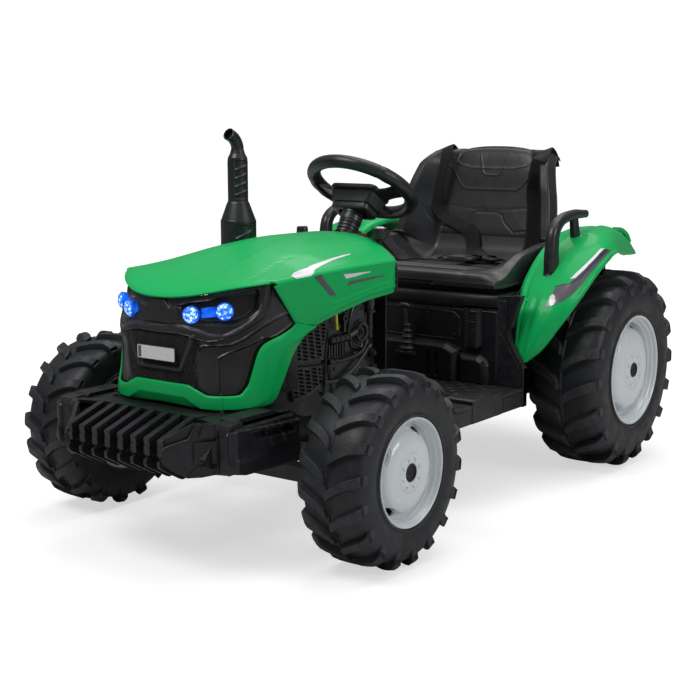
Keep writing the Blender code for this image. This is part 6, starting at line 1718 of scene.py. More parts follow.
# Rocker switches in raised bezels.
for node, body in (("power_switch", "power_rocker"), ("speed_switch", "speed_rocker")):
    lo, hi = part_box(node)
    cx, cy = (lo[0] + hi[0]) / 2, (lo[1] + hi[1]) / 2
    hx, hy = (hi[0] - lo[0]) / 2, (hi[1] - lo[1]) / 2
    rk = Build()
    top, low = hi[2], lo[2]
    m = 25
    sect = [(cy - hy, low)] + [(cy - hy + 2 * hy * k / (m - 1), top - 0.0016 * (1 - abs(2 * k / (m - 1) - 1) ** 1.5)) for k in range(m)] + [(cy + hy, low)]
    rk.plate(sect, "X", cx - hx, cx + hx, 0)
    for k in range(3):
        y = cy - hy * 0.70 + 0.0012 * k
        rk.plate([(cx - hx * 0.6, y), (cx + hx * 0.6, y), (cx + hx * 0.6, y + 0.0006), (cx - hx * 0.6, y + 0.0006)], "Z", top - 0.0014, top - 0.0001, 0)
    rk.revolve([(0.0013, 0.0), (0.0013, 0.0005), (0.0018, 0.0005), (0.0018, 0.0)], Matrix.Translation((cx, cy + hy * 0.55, top - 0.0009)), 20, 1)
    rk.done(f"{node}_v", [RED_LENS if node == "power_switch" else SATIN, DECAL_WHITE], body, node, "black_plastic", bevel=0.0005, seg=2, angle=36)
    bz = Build()
    for s in (-1, 1):
        a, b_ = sorted((cx + s * (hx + 0.0006), cx + s * (hx + 0.0030)))
        bz.plate([(a, cy - hy - 0.003), (b_, cy - hy - 0.003), (b_, cy + hy + 0.003), (a, cy + hy + 0.003)], "Z", dash_z(cx) - 0.002, dash_z(cx) + 0.0016)
        a, b_ = sorted((cy + s * (hy + 0.0006), cy + s * (hy + 0.0030)))
        bz.plate([(cx - hx - 0.0006, a), (cx + hx + 0.0006, a), (cx + hx + 0.0006, b_), (cx - hx - 0.0006, b_)], "Z", dash_z(cx) - 0.002, dash_z(cx) + 0.0014)
    bz.done(f"{node}_bezel_v", BLACK, "chassis", (), "black_plastic", bevel=0.0005, seg=2, angle=36)

# ---------------------------------------------------------------- shift lever and mode knob
LEVER = (0.110, -0.092, 0.452)
lv = Build()
base = Matrix.Translation(LEVER)
lv.revolve([(0.0, 0.0), (0.0044, 0.0), (0.0044, 0.030), (0.0052, 0.034), (0.0052, 0.046), (0.0095, 0.0482), (0.0125, 0.0492), (0.0138, 0.0512), (0.0139, 0.0660), (0.0134, 0.0686)], base, 36, 0)
lv.revolve([(0.0134, 0.0684), (0.0139, 0.0688), (0.0139, 0.0702), (0.0130, 0.0709), (0.0118, 0.0704)], base, 36, 1)
lv.revolve([(0.0119, 0.0700), (0.0105, 0.0706), (0.0, 0.0710)], base, 36, 0)
for k in range(18):
    a = 2 * math.pi * k / 18
    lv.tube([base @ Vector((0.0139 * math.cos(a), 0.0139 * math.sin(a), 0.0520)), base @ Vector((0.0139 * math.cos(a), 0.0139 * math.sin(a), 0.0655))], 0.0004, 6, 0)
lv.done("shift_lever_v", [SATIN, SILVER], "lever", "shift_lever", "black_plastic", angle=34)
kb = Build()
base = Matrix.Translation((-0.085, -0.074, 0.0))
lo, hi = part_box("mode_knob")
kb.revolve([(0.0, lo[2]), (0.0038, lo[2]), (0.0038, 0.4966), (0.0100, 0.4966), (0.0112, 0.4975), (0.0110, 0.5110), (0.0098, 0.5140), (0.0, 0.5145)], base, 36, 0)
for k in range(16):
    a = 2 * math.pi * k / 16
    kb.tube([base @ Vector((0.0108 * math.cos(a), 0.0108 * math.sin(a), 0.4985)), base @ Vector((0.0106 * math.cos(a), 0.0106 * math.sin(a), 0.5105))], 0.0006, 6, 0)
kb.plate([(-0.0856, -0.0735), (-0.0844, -0.0735), (-0.0844, -0.0640), (-0.0856, -0.0640)], "Z", 0.5138, 0.5146, 1)
kb.done("mode_knob_v", [SATIN, DECAL_WHITE], "knob", "mode_knob", "black_plastic", angle=34)

# ---------------------------------------------------------------- steering column, wheel and horn button
WHEEL_C = Vector((0, 0.0072, 0.588))
COLUMN_N = Vector((0, 0.53184, 0.84685))
COLUMN_E = Vector((0, 0.84685, -0.53184))
wheel_place = Matrix.Translation(WHEEL_C) @ Matrix(((1, 0, 0), tuple(COLUMN_E), tuple(COLUMN_N))).transposed().to_4x4()


def below(limit):
    def cut(bm):
        geom = bm.verts[:] + bm.edges[:] + bm.faces[:]
        bmesh.ops.bisect_plane(bm, geom=geom, plane_co=(0, 0, limit), plane_no=(0, 0, -1), clear_outer=True)
    return cut


col = Build()
prof = [(0.0, -0.0540), (0.0180, -0.0540), (0.0212, -0.0550), (0.0214, -0.0620), (0.0200, -0.0632), (0.0200, -0.0650), (0.0215, -0.0662), (0.0215, -0.0760), (0.0200, -0.0772), (0.0200, -0.0786), (0.0208, -0.0800)]
n0 = -0.0800
for k in range(5):
    prof += [(0.0208, n0 - 0.0012), (0.0190, n0 - 0.0030), (0.0190, n0 - 0.0042), (0.0208, n0 - 0.0060)]
    n0 -= 0.0072
prof += [(0.0208, -0.150), (0.0, -0.150)]
col.revolve(prof, wheel_place, 48)
col.done("column_tube_v", SATIN, "chassis", "column_tube", "black_plastic", angle=34, after=below(0.5030))
cb = Build()
cc = WHEEL_C + COLUMN_N * (-0.1005)
for k in range(3):
    cb.revolve([(0.0225 + 0.0040 * k, 0.0030 - 0.0022 * k), (0.0262 + 0.0040 * k, 0.0010 - 0.0022 * k), (0.0262 + 0.0040 * k, -0.0030 - 0.0022 * k), (0.0200, -0.0030 - 0.0022 * k)], Matrix.Translation((0, cc.y, 0.5055)), 48)
cb.done("column_boot_v", BLACK, "chassis", (), "black_plastic", angle=40)

wl = Build()
steps, around = 168, 30
rows = []
for k in range(steps):
    a = 2 * math.pi * k / steps
    c, s_ = math.cos(a), math.sin(a)
    # Thicker grips either side, each ending in a groove, with finger scallops underneath.
    grip = min(abs(((a - t + math.pi) % (2 * math.pi)) - math.pi) for t in (0.0, math.pi))
    on = 1.0 if grip < R(38) else 0.0
    groove = max(0.0, 1 - abs(grip - R(38)) / R(1.6))
    row = []
    for j in range(around):
        b_ = 2 * math.pi * j / around
        under = max(0.0, -math.sin(b_))
        r = 0.0128 + 0.0006 * on - 0.0010 * groove
        r -= 0.0011 * on * under * (0.5 + 0.5 * math.cos(grip / R(38) * 4 * math.pi))
        row.append(tuple(wheel_place @ Vector(((0.0993 + r * math.cos(b_)) * c, (0.0993 + r * math.cos(b_)) * s_, r * math.sin(b_)))))
    rows.append(row)
wl.grid(rows, 0, loop_rows=True, loop_cols=True)


def rounded_rect(hx, hy, r, n, z, place, cx=0.0, cy=0.0):
    return [tuple(place @ Vector((u, v, z))) for u, v in rounded(hx, hy, r, n, cx, cy)]


hubs = [
    (0.0300, 0.0160, 0.0120, -0.0578), (0.0400, 0.0235, 0.0120, -0.0575), (0.0425, 0.0250, 0.0110, -0.0550), (0.0425, 0.0250, 0.0110, -0.0475), (0.0405, 0.0232, 0.0100, -0.0462),
    (0.0405, 0.0232, 0.0100, -0.0445), (0.0440, 0.0262, 0.0105, -0.0430), (0.0500, 0.0296, 0.0105, -0.0240), (0.0508, 0.0302, 0.0105, -0.0225), (0.0490, 0.0286, 0.0100, -0.0215),
    (0.0490, 0.0286, 0.0100, -0.0190), (0.0525, 0.0322, 0.0110, -0.0178), (0.0532, 0.0330, 0.0110, -0.0120), (0.0515, 0.0316, 0.0105, -0.0085), (0.0460, 0.0272, 0.0095, -0.0068),
]
cap_z = [(0.0350, 0.0200, 0.0090, -0.0058), (0.0230, 0.0190, 0.0090, -0.0054)]
loops = [rounded_rect(hx, hy, r, 6, z, wheel_place) for hx, hy, r, z in hubs + cap_z]
wl.loft(loops, 0, caps=False)
# The cap closes on a round pocket for the horn button.
ring0 = loops[-1]
m = len(ring0)


def circle(r, z):
    pts = []
    local = rounded(0.0230, 0.0190, 0.0090, 6)
    for u, v in local:
        a = math.atan2(v / 0.0190, u / 0.0230)
        pts.append(tuple(wheel_place @ Vector((r * math.cos(a), r * math.sin(a), z))))
    return pts


wl.loft([ring0, circle(0.0192, -0.0050), circle(0.0184, -0.0048), circle(0.0179, -0.0056), circle(0.0178, -0.0118), circle(0.0020, -0.0120)], 0, caps=False)
for s in (1, -1):
    sect = []
    for q in np.linspace(0, 1, 14):
        x = 0.0450 + (0.0930 - 0.0450) * q
        bend = 0.0060 * math.sin(math.pi * q * 0.5) ** 2
        half = 0.0240 - 0.0050 * math.sin(math.pi * q) - 0.0010 * q
        zt, zb = -0.0120 + 0.0100 * q - 0.0016 * math.sin(math.pi * q), -0.0240 + 0.0160 * q
        cy = -0.0030 + 0.0005 * q
        loop = []
        for k in range(28):
            a = 2 * math.pi * k / 28
            ca, sa = math.cos(a), math.sin(a)
            u = math.copysign(abs(ca) ** 0.55, ca) * half
            v = math.copysign(abs(sa) ** 0.7, sa)
            ridge = 0.0012 * max(0, 1 - abs(abs(u) - half * 0.55) / 0.003) if v > 0.5 else 0.0
            loop.append(tuple(wheel_place @ Vector((s * x, cy + u, (zt + zb) / 2 + v * (zt - zb) / 2 - ridge))))
        sect.append(loop)
    wl.loft(sect, 0)
    # Lower spoke: two legs round an oval opening.
    sect = []
    for q in np.linspace(0, 1, 12):
        e = 0.0260 + (0.0930 - 0.0260) * q
        x = s * (0.0210 + 0.0050 * math.sin(math.pi * q) - 0.0060 * q)
        zt, zb = -0.0120 + 0.0090 * q, -0.0240 + 0.0150 * q
        half = 0.0075
        sect.append([tuple(wheel_place @ Vector((x + half * math.cos(2 * math.pi * k / 20), e, (zt + zb) / 2 + (zt - zb) / 2 * math.sin(2 * math.pi * k / 20)))) for k in range(20)])
    wl.loft(sect, 0)
wl.done("steering_wheel_v", SATIN, "steering", "steering_wheel", "black_plastic", angle=40, weld=0.0)
hb = Build()
hb.revolve([(0.0, -0.0085), (0.0168, -0.0085), (0.0170, -0.0072), (0.0170, -0.0040), (0.0160, -0.0022), (0.0135, -0.0014), (0.0128, -0.0020), (0.0118, -0.0016), (0.0060, -0.0011), (0.0, -0.0010)], wheel_place, 48)
for k in range(-1, 2):
    hb.tube([wheel_place @ Vector((-0.0052, 0.0032 * k, -0.0013)), wheel_place @ Vector((0.0052, 0.0032 * k, -0.0013))], 0.00045, 6)
hb.done("horn_button_v", SATIN, "horn", "horn_button", "black_plastic", angle=34)

# ---------------------------------------------------------------- exhaust stack
EX = (-0.130, -0.210)


def pipe_base(z):
    return float(np.interp(z, (0.44, 0.531, 0.534, 0.564, 0.568, 0.640, 0.648, 0.656, 0.664), (0.0335, 0.0335, 0.0322, 0.0212, 0.0190, 0.0190, 0.0182, 0.0140, 0.0117)))


def turn(a, b_):
    return ((a - b_ + math.pi) % (2 * math.pi)) - math.pi


rows = []
nt = 144
angs = [2 * math.pi * k / nt for k in range(nt)]
for z in np.concatenate([np.linspace(0, 1, 200)]):
    row = []
    for a in angs:
        foot = float(hood_top_z(EX[0] + 0.0335 * math.cos(a), EX[1] + 0.0335 * math.sin(a))) + 0.0010
        zz_ = foot + (0.6640 - foot) * float(z)
        r = pipe_base(zz_)
        u, w = turn(a, R(-29)) / R(41), zz_
        d = max(abs(turn(a, R(-29))) - R(38), 0) * 0.019
        inside = step(np.array(max(abs(turn(a, R(-29))) * 0.019 - 0.0125, abs(zz_ - 0.6080) - 0.0350)), 0.0016)
        r -= 0.0022 * float(inside)
        for zr in (0.5830, 0.5985, 0.6140, 0.6295):
            off = abs(zz_ - zr - turn(a, R(-29)) * 0.0060)
            r += 0.0026 * float(inside) * max(0.0, 1 - off / 0.0028) ** 0.6
        inside = step(np.array(max(abs(turn(a, R(-31))) * 0.0335 - 0.0165, abs(zz_ - 0.5080) - 0.0165)), 0.0018)
        r -= 0.0024 * float(inside)
        off = abs(zz_ - 0.5060 - turn(a, R(-31)) * 0.0150)
        r += 0.0026 * float(inside) * max(0.0, 1 - off / 0.0030) ** 0.6
        # The same pressings on the back, and fine seams.
        inside = step(np.array(max(abs(turn(a, R(151))) * 0.0335 - 0.0165, abs(zz_ - 0.5080) - 0.0165)), 0.0018)
        r -= 0.0022 * float(inside)
        r -= 0.0007 * max(0.0, 1 - abs(turn(a, R(61))) * 0.0335 / 0.0008)
        row.append((EX[0] + r * math.cos(a), EX[1] + r * math.sin(a), zz_))
    rows.append(row)
ex = Build()
ex.grid(rows, 0, loop_cols=True)
neck = spline_points([(EX[0], EX[1], 0.6620), (EX[0], EX[1] - 0.0002, 0.6680), (EX[0], EX[1] - 0.0040, 0.6770), (EX[0], EX[1] - 0.0120, 0.6854), (EX[0], EX[1] - 0.0235, 0.6912)], 8)
radii = [0.0117 - 0.0002 * k / len(neck) for k in range(len(neck))]
ex.tube(neck, radii, 32, 0, caps=False)
d = (Vector(neck[-1]) - Vector(neck[-2])).normalized()
mouth = axis_matrix(neck[-1], Vector(neck[-1]) + d)
ex.revolve([(0.0115, -0.0015), (0.0119, 0.0002), (0.0117, 0.0010), (0.0106, 0.0012), (0.0098, 0.0002), (0.0096, -0.0100), (0.0, -0.0110)], mouth, 32, 0)
ex.done("exhaust_stack_v", SATIN, "chassis", "exhaust_stack", "black_plastic", angle=34, weld=0.0)


# ---------------------------------------------------------------- seat shell
SEAT_LINE = (
    (0.150, 0.3980), (0.1555, 0.4135), (0.185, 0.418), (0.270, 0.412), (0.350, 0.403), (0.425, 0.404), (0.466, 0.430), (0.483, 0.480),
    (0.500, 0.550), (0.5115, 0.608), (0.523, 0.6455), (0.534, 0.6590),
)
SEAT_HALF = (0.211, 0.213, 0.215, 0.213, 0.210, 0.205, 0.198, 0.188, 0.177, 0.160, 0.143, 0.124)
SEAT_RISE = (0, 0, -0.003, 0.037, 0.057, 0.062, 0.066, 0.068, 0.068, 0.056, 0.028, 0.012)
STATIONS = tuple(range(12))


def seat_line(i):
    """The seat's middle line at station i: y, z and the unit direction along it."""
    y, z = smooth_interp(i, STATIONS, [p[0] for p in SEAT_LINE]), smooth_interp(i, STATIONS, [p[1] for p in SEAT_LINE])
    a, c = np.clip(i - 0.05, 0, 11), np.clip(i + 0.05, 0, 11)
    dy = smooth_interp(c, STATIONS, [p[0] for p in SEAT_LINE]) - smooth_interp(a, STATIONS, [p[0] for p in SEAT_LINE])
    dz = smooth_interp(c, STATIONS, [p[1] for p in SEAT_LINE]) - smooth_interp(a, STATIONS, [p[1] for p in SEAT_LINE])
    n = np.hypot(dy, dz) + 1e-12
    return y, z, dy / n, dz / n


def seat_at(i, u, lift=0.0):
    """Points on the seat's skin, raised by lift along the skin's normal."""
    i, u, lift = np.broadcast_arrays(np.asarray(i, float), np.asarray(u, float), np.asarray(lift, float))
    y, z, dy, dz = seat_line(i)
    half = smooth_interp(i, STATIONS, SEAT_HALF)
    rise = smooth_interp(i, STATIONS, SEAT_RISE) * np.clip((np.abs(u) - 0.60) / 0.31, 0, 1) ** 1.5
    k = rise + lift
    # The top edge is crowned and the front corners are rounded.
    top = np.clip((i - 9.0) / 1.7, 0, 1)
    fall = (0.0004 - 0.0185 * np.abs(u) ** 2.4) * top
    fall = fall - 0.009 * np.clip((np.abs(u) - 0.86) / 0.14, 0, 1) ** 1.5 * np.clip((2.4 - i) / 0.8, 0, 1) * np.clip(i / 1.2, 0, 1)
    return np.stack([half * u, y - dz * k, z + dy * k + fall], axis=-1)


NOTCH = [(0.0370, 0.6440), (0.0240, 0.6020), (0.0170, 0.5952), (0.0, 0.5952)]
MIDLINE = [(0.1125, 0.6140), (0.1050, 0.6090), (0.0800, 0.5735), (0.0660, 0.5635), (0.0, 0.5635)]
TRAP = [(0.1460, 0.5130), (0.1406, 0.4970), (0.1260, 0.4800), (0.0715, 0.4712), (0.0460, 0.4920), (0.0370, 0.5085), (0.0268, 0.5128), (0.0, 0.5128)]
ARC_TOP = [(0.1060, 0.6340), (0.0840, 0.6180), (0.0570, 0.6115), (0.0, 0.6105)]
ARC_LOW = [(0.1202, 0.5270), (0.0380, 0.5195), (0.0, 0.5187)]


def seat_emboss(i, u):
    """Raised lines, pressed lines, the faint arcs and a slightly raised panel, all on the backrest."""
    y, z, _, _ = seat_line(i)
    a = np.abs(smooth_interp(i, STATIONS, SEAT_HALF) * u)
    back = (i > 6.3) * 1.0
    h = 0.0013 * bead(sd_line(a, z, NOTCH), 0.0018) * back * np.clip((0.648 - z) / 0.02, 0, 1)
    h += 0.0013 * bead(sd_line(a, z, MIDLINE), 0.0018) * back
    h -= 0.0017 * bead(sd_line(a, z, TRAP), 0.0013) * back
    h -= 0.0006 * bead(sd_line(a, z, ARC_LOW), 0.0026) * back
    h += 0.0007 * bead(sd_line(a, z, ARC_TOP), 0.0032) * back
    h += 0.0011 * step(sd_poly(a, z, [(0, 0.6100), (0.057, 0.6115), (0.084, 0.618), (0.106, 0.634), (0.112, 0.614), (0.105, 0.609), (0.080, 0.5735), (0.066, 0.5635), (0, 0.5635)]), 0.0040) * back * 0.5
    return h


nu_ = 170
us = np.linspace(-1, 1, nu_)
ii = np.concatenate([np.linspace(0, 2, 34), np.linspace(2.05, 5, 50), np.linspace(5.05, 11, 190)])
rows = []
for i in ii:
    y, z, dy, dz = (float(v) for v in seat_line(np.array(i)))
    h = seat_emboss(np.full(us.shape, i), us)
    soft = 0.0012 * np.sin(np.clip((np.abs(us) - 0.60) / 0.10, 0, 1) * math.pi) * (1 if i > 2 else i / 2)
    core_ = seat_at(np.full(us.shape, i), us, h - soft)
    row = [tuple(p) for p in core_]
    # The rim: a tall skirt beside the pan, turning into a folded-back edge behind the backrest.
    turn_ = min(1.0, max(0.0, (i - 5.0) / 1.6))
    turn_ = turn_ * turn_ * (3 - 2 * turn_)
    rim_ = []
    for s, p in ((-1, core_[0]), (1, core_[-1])):
        fall_ = max(0.004, float(p[2]) - 0.3935)
        long_ = fall_ * (1 - turn_) + 0.034 * turn_
        by, bz = 1.0 * turn_, -1.0 * (1 - turn_) - 0.22 * turn_
        nn_ = math.hypot(by, bz)
        by, bz = by / nn_, bz / nn_
        side_ = []
        for q, outward in ((0.03, 0.0018), (0.09, 0.0036), (0.20, 0.0044), (0.40, 0.0046), (0.62, 0.0046), (0.80, 0.0047), (0.92, 0.0049), (0.975, 0.0056), (1.0, 0.0070)):
            side_.append((p[0] + s * outward, p[1] + by * long_ * q, p[2] + bz * long_ * q))
        rim_.append(side_)
    rows.append(list(reversed(rim_[0])) + row + rim_[1])
# The front face runs down in front of the plinth, with a shallow recess in its middle.
first = rows[0]
for q in range(1, 9):
    f = q / 8
    rows.insert(0, [(x, y + 0.0006 * f + 0.0030 * float(step(np.array(abs(x) - 0.078 + 0.010 * f), 0.0020)) * min(1.0, f * 2.5), z + (0.3895 - z) * f if z > 0.3895 else z - 0.0001 * f) for x, y, z in first])
last = rows[-1]
for q, up_ in ((0.0030, 0.0004), (0.0090, -0.0010), (0.0180, -0.0060), (0.0230, -0.0130)):
    rows.append([(x, y + q, z + up_) for x, y, z in last])
sh = Build()
sh.grid(rows)
sh.done("seat_shell_v", SEAT, "chassis", "seat_shell", "seat_plastic", solid=0.0045, angle=55, weld=0.0, after=facing((0, 0.66, 0.28)), bevel=0.0)
# Ribs behind and under the shell, and the bracket between the seat and its box.
sr = Build()
for u in (-0.50, -0.18, 0.18, 0.50):
    for lo_i, hi_i in ((6.6, 10.4),):
        front, rear = [], []
        for i in np.linspace(lo_i, hi_i, 24):
            a = seat_at(np.array(i), np.array(u), -0.0050)
            b_ = seat_at(np.array(i), np.array(u), -0.0050 - 0.0130 * math.sin(math.pi * (i - lo_i) / (hi_i - lo_i)) ** 0.5)
            front.append((float(a[1]), float(a[2])))
            rear.append((float(b_[1]), float(b_[2])))
        x = float(seat_at(np.array(8.0), np.array(u), 0)[0])
        sr.plate(front + list(reversed(rear)), "X", x - 0.0022, x + 0.0022)
for x in (-0.150, -0.050, 0.050, 0.150):
    sr.plate([(0.176, 0.3905), (0.336, 0.3905), (0.336, 0.3975), (0.176, 0.4100)], "X", x - 0.0020, x + 0.0020)
sr.plate([(0.1860, 0.3905), (0.1900, 0.3905), (0.1900, 0.4110), (0.1860, 0.4110)], "X", -0.1850, 0.1850)
sr.plate([(0.1720, 0.3770), (0.1760, 0.3770), (0.1760, 0.3935), (0.1720, 0.3935)], "X", 0.1050, 0.1110)
sr.done("seat_ribs_v", SEAT, "chassis", (), "seat_plastic", bevel=0.0010, seg=2, angle=36)

# ---------------------------------------------------------------- soft pads, shaped by displacement
def pad_piece(name, node, i0, i1, width, thick, channels):
    ni, nj = 110, 130
    top, low = [], []
    for i in np.linspace(i0, i1, ni):
        u = np.linspace(-width, width, nj)
        p = (i - i0) / (i1 - i0)
        edge_i = min(p, 1 - p) * 2
        edge_u = (1 - np.abs(u) / width) * 1.6
        e = np.clip(np.minimum(edge_i * 1.7, edge_u), 0, 1)
        puff = np.sqrt(np.clip(1 - (1 - e) ** 2, 0, 1))
        h = thick * (0.16 + 0.80 * puff)
        for c in channels:
            h = h - thick * 0.10 * np.exp(-((p - c) / 0.030) ** 2) * np.clip(e * 2, 0, 1)
        h = h + 0.00012 * np.sin(u * 31 + 4 * math.sin(p * 6)) * np.sin(p * 17 + 2 * np.cos(u * 9)) * np.clip(e, 0, 1)
        h = h + seat_emboss(np.full(u.shape, i), u)
        top.append([tuple(q) for q in seat_at(np.full(u.shape, i), u, h)])
        low.append([tuple(q) for q in seat_at(np.full(u.shape, i), u, np.full(u.shape, 0.0002))])
    b = Build()
    b.grid(top)
    b.grid([list(reversed(r)) for r in low])
    b.grid([top[0], low[0]])
    b.grid([low[-1], top[-1]])
    b.grid([[r[0] for r in low], [r[0] for r in top]])
    b.grid([[r[-1] for r in top], [r[-1] for r in low]])
    o = b.done(name, PAD, "chassis", node, "seat_leather", angle=60, weld=1e-6, recalc=True)
    return o


pad_piece("seat_pad_v", "seat_pad", 2.05, 4.6, 0.60, 0.0060, (0.50,))
pad_piece("back_pad_v", "back_pad", 6.7, 10.6, 0.62, 0.0042, ())


# ---------------------------------------------------------------- webbing
def strap(name, node, path, mat=WEB, width=0.025, behind=False):
    """A flat strap along (station, u, lift, tilt) points; the cut is as wide as the webbing and as long as its path."""
    keys = np.arange(len(path))
    fine = np.linspace(0, len(path) - 1, 30 * (len(path) - 1) + 1)
    i_ = smooth_interp(fine, keys, [p[0] for p in path])
    u_ = smooth_interp(fine, keys, [p[1] for p in path])
    l_ = smooth_interp(fine, keys, [p[2] for p in path])
    centre = [Vector(p) for p in seat_at(np.clip(i_, 0, 11), u_, l_)]
    above = [Vector(p) for p in seat_at(np.clip(i_, 0, 11), u_, l_ + 0.01)]
    tilt = list(smooth_interp(fine, keys, [p[3] if len(p) > 3 else 0.0 for p in path]))
    if behind:
        # Over the top edge and down behind it.
        c0, n0 = centre[0].copy(), (above[0] - centre[0]).normalized()
        t0 = (centre[0] - centre[4]).normalized()
        fold = spline_points([c0, c0 + Vector((0, 0.0050, -0.0012)), c0 + Vector((0, 0.0140, -0.0060)), c0 + Vector((0, 0.0250, -0.0160)), c0 + Vector((0, 0.0320, -0.0380))], 8)
        turns = np.linspace(0, 1, len(fold))
        normals = [(n0 * (1 - w) + Vector((0, 1.0, 0.12)) * w + Vector((0, 0, 0.9)) * math.sin(math.pi * w)).normalized() for w in turns]
        centre = [Vector(p) for p in reversed(fold[1:])] + centre
        above = [Vector(p) + n * 0.01 for p, n in zip(reversed(fold[1:]), reversed(normals[1:]))] + above
        tilt = [tilt[0]] * (len(fold) - 1) + tilt
    m = 9
    rows = []

    def frame_at(k):
        c = centre[k]
        t = (centre[min(k + 1, len(centre) - 1)] - centre[max(k - 1, 0)]).normalized()
        n = (above[k] - c)
        n = (n - t * n.dot(t)).normalized()
        side = t.cross(n).normalized()
        a = float(tilt[k])
        return c, t, side * math.cos(a) + n * math.sin(a)

    over = len(fold) + 2 if behind else 0
    for k in range(len(centre)):
        c, t, side = frame_at(k)
        if k < over:
            side = frame_at(over)[2]
            side = (side - t * side.dot(t)).normalized()
        nn = side.cross(t).normalized()
        row = []
        for j in range(m):
            v = j / (m - 1) - 0.5
            crown = 0.0005 * (1 - (2 * v) ** 2) + 0.0002 * math.sin(k * 0.9 + j)
            row.append(tuple(c + side * (v * width) + nn * crown))
        rows.append(row)
    b = Build()
    b.grid(rows)
    length = float(sum((centre[k + 1] - centre[k]).length for k in range(len(centre) - 1)))
    o = b.done(name, mat, "chassis", node, "webbing", angle=60, weld=0.0, solid=0.0014, offset=0)
    hems = Build()
    for j in (0, m - 1):
        hems.tube([r[j] for r in rows[::3]], 0.0009, 6)
    for frac in (0.25, 0.75):
        hems.tube([tuple(Vector(r[int(frac * (m - 1))]) + Vector((0, -0.0004, 0.0004))) for r in rows[::3]], 0.0005, 6)
    h = hems.done(name.replace("_v", "_edges_v"), mat, "chassis", (), "webbing", angle=60)
    return rows, length


STRAP_LENGTHS = {}
_, STRAP_LENGTHS["left"] = strap("harness_strap_left_v", "harness_strap_left", [(10.15, 0.97, 0.0040), (9.6, 0.95, 0.0060), (9.1, 0.88, 0.0085, 0.15), (8.6, 0.74, 0.0110, 0.5), (8.1, 0.67, 0.0110, 0.65), (7.5, 0.685, 0.0090, 0.5), (7.0, 0.675, 0.0080, 0.3), (6.4, 0.64, 0.0070, 0.15), (5.7, 0.58, 0.0070)], width=0.030, behind=True)
_, STRAP_LENGTHS["right"] = strap("harness_strap_right_v", "harness_strap_right", [(10.55, -0.93, 0.0040), (10.1, -0.85, 0.0060), (9.5, -0.785, 0.0070), (8.9, -0.75, 0.0070), (8.2, -0.73, 0.0070, 0.10), (7.7, -0.695, 0.0080, 0.35), (7.38, -0.60, 0.0100, 0.55), (7.12, -0.39, 0.0110, 0.55), (6.9, -0.205, 0.0110, 0.4), (6.4, -0.12, 0.0100, 0.1), (5.9, -0.09, 0.0090), (5.2, -0.04, 0.0100), (4.4, 0.06, 0.0120), (3.6, 0.17, 0.0150)], width=0.033, behind=True)
_, STRAP_LENGTHS["lap"] = strap("lap_belt_v", "lap_belt", [(4.10, -0.985, 0.0080, -0.1), (4.02, -0.86, 0.0080, -0.2), (4.05, -0.72, 0.0095, -0.2), (3.95, -0.56, 0.0110, -0.1), (3.60, -0.36, 0.0130), (3.15, -0.16, 0.0140), (2.98, 0.02, 0.0140), (3.02, 0.22, 0.0140), (3.20, 0.42, 0.0140), (3.45, 0.58, 0.0140), (3.75, 0.72, 0.0120), (4.05, 0.84, 0.0080, 0.1)], width=0.030)
_, STRAP_LENGTHS["tail"] = strap("belt_tail_v", (), [(3.35, 0.30, 0.0190), (3.75, 0.36, 0.0230, 0.4), (3.55, 0.50, 0.0230, 0.6), (3.25, 0.56, 0.0200, 0.2), (3.30, 0.68, 0.0190, -0.1)], width=0.026)
_, STRAP_LENGTHS["rear_tail"] = strap("belt_rear_tail_v", (), [(5.75, -0.02, 0.0130, 0.2), (5.40, 0.12, 0.0150, 0.5), (5.10, 0.28, 0.0160, 0.6), (4.85, 0.44, 0.0130, 0.3), (4.75, 0.58, 0.0100)], width=0.026)
print("strap lengths", {k: round(v, 4) for k, v in STRAP_LENGTHS.items()})

bk = Build()


def block(b, place, hx, hy, hz, r, mat=0, taper=0.8):
    loops = []
    for z, f in ((-hz, taper), (-hz * 0.7, 1.0), (hz * 0.5, 1.0), (hz * 0.85, 0.95), (hz, taper)):
        loops.append([tuple(place @ Vector((u, v, z))) for u, v in rounded(hx * f, hy * f, r, 5)])
    b.loft(loops, mat)


def on_pan(i, u, lift, along, up):
    """A frame on the pan for one piece of the buckle."""
    return frame_of(Vector(seat_at(np.array(float(i)), np.array(float(u)), np.array(float(lift)))), along, up)


place = on_pan(3.02, 0.285, 0.0205, (1, 0.10, 0.02), (-0.10, 1, 0))
block(bk, place, 0.0220, 0.0165, 0.0062, 0.0060)
block(bk, place @ Matrix.Translation((0.0030, 0, 0.0060)), 0.0090, 0.0080, 0.0014, 0.0030, 1)
for dx in (-0.0285, 0.0270):
    block(bk, place @ Matrix.Translation((dx, 0.001, -0.0012)), 0.0075, 0.0160, 0.0040, 0.0030)
    block(bk, place @ Matrix.Translation((dx, 0.001, 0.0024)), 0.0030, 0.0125, 0.0012, 0.0012, 2)
for i, u, lift, along, up in ((3.10, -0.02, 0.0180, (1, 0.05, 0), (-0.05, 1, 0.1)), (3.42, 0.56, 0.0215, (1, -0.35, 0.1), (0.35, 1, 0)), (3.85, 0.10, 0.0190, (0.35, -1, 0), (1, 0.35, 0))):
    t = on_pan(i, u, lift, along, up)
    block(bk, t, 0.0125, 0.0165, 0.0032, 0.0030)
    block(bk, t @ Matrix.Translation((0, 0, 0.0026)), 0.0038, 0.0130, 0.0012, 0.0012, 2)
bk.done("harness_buckle_v", [SATIN, BLACK, DEEP], "chassis", "harness_buckle", "black_plastic", angle=40, weld=1e-6)

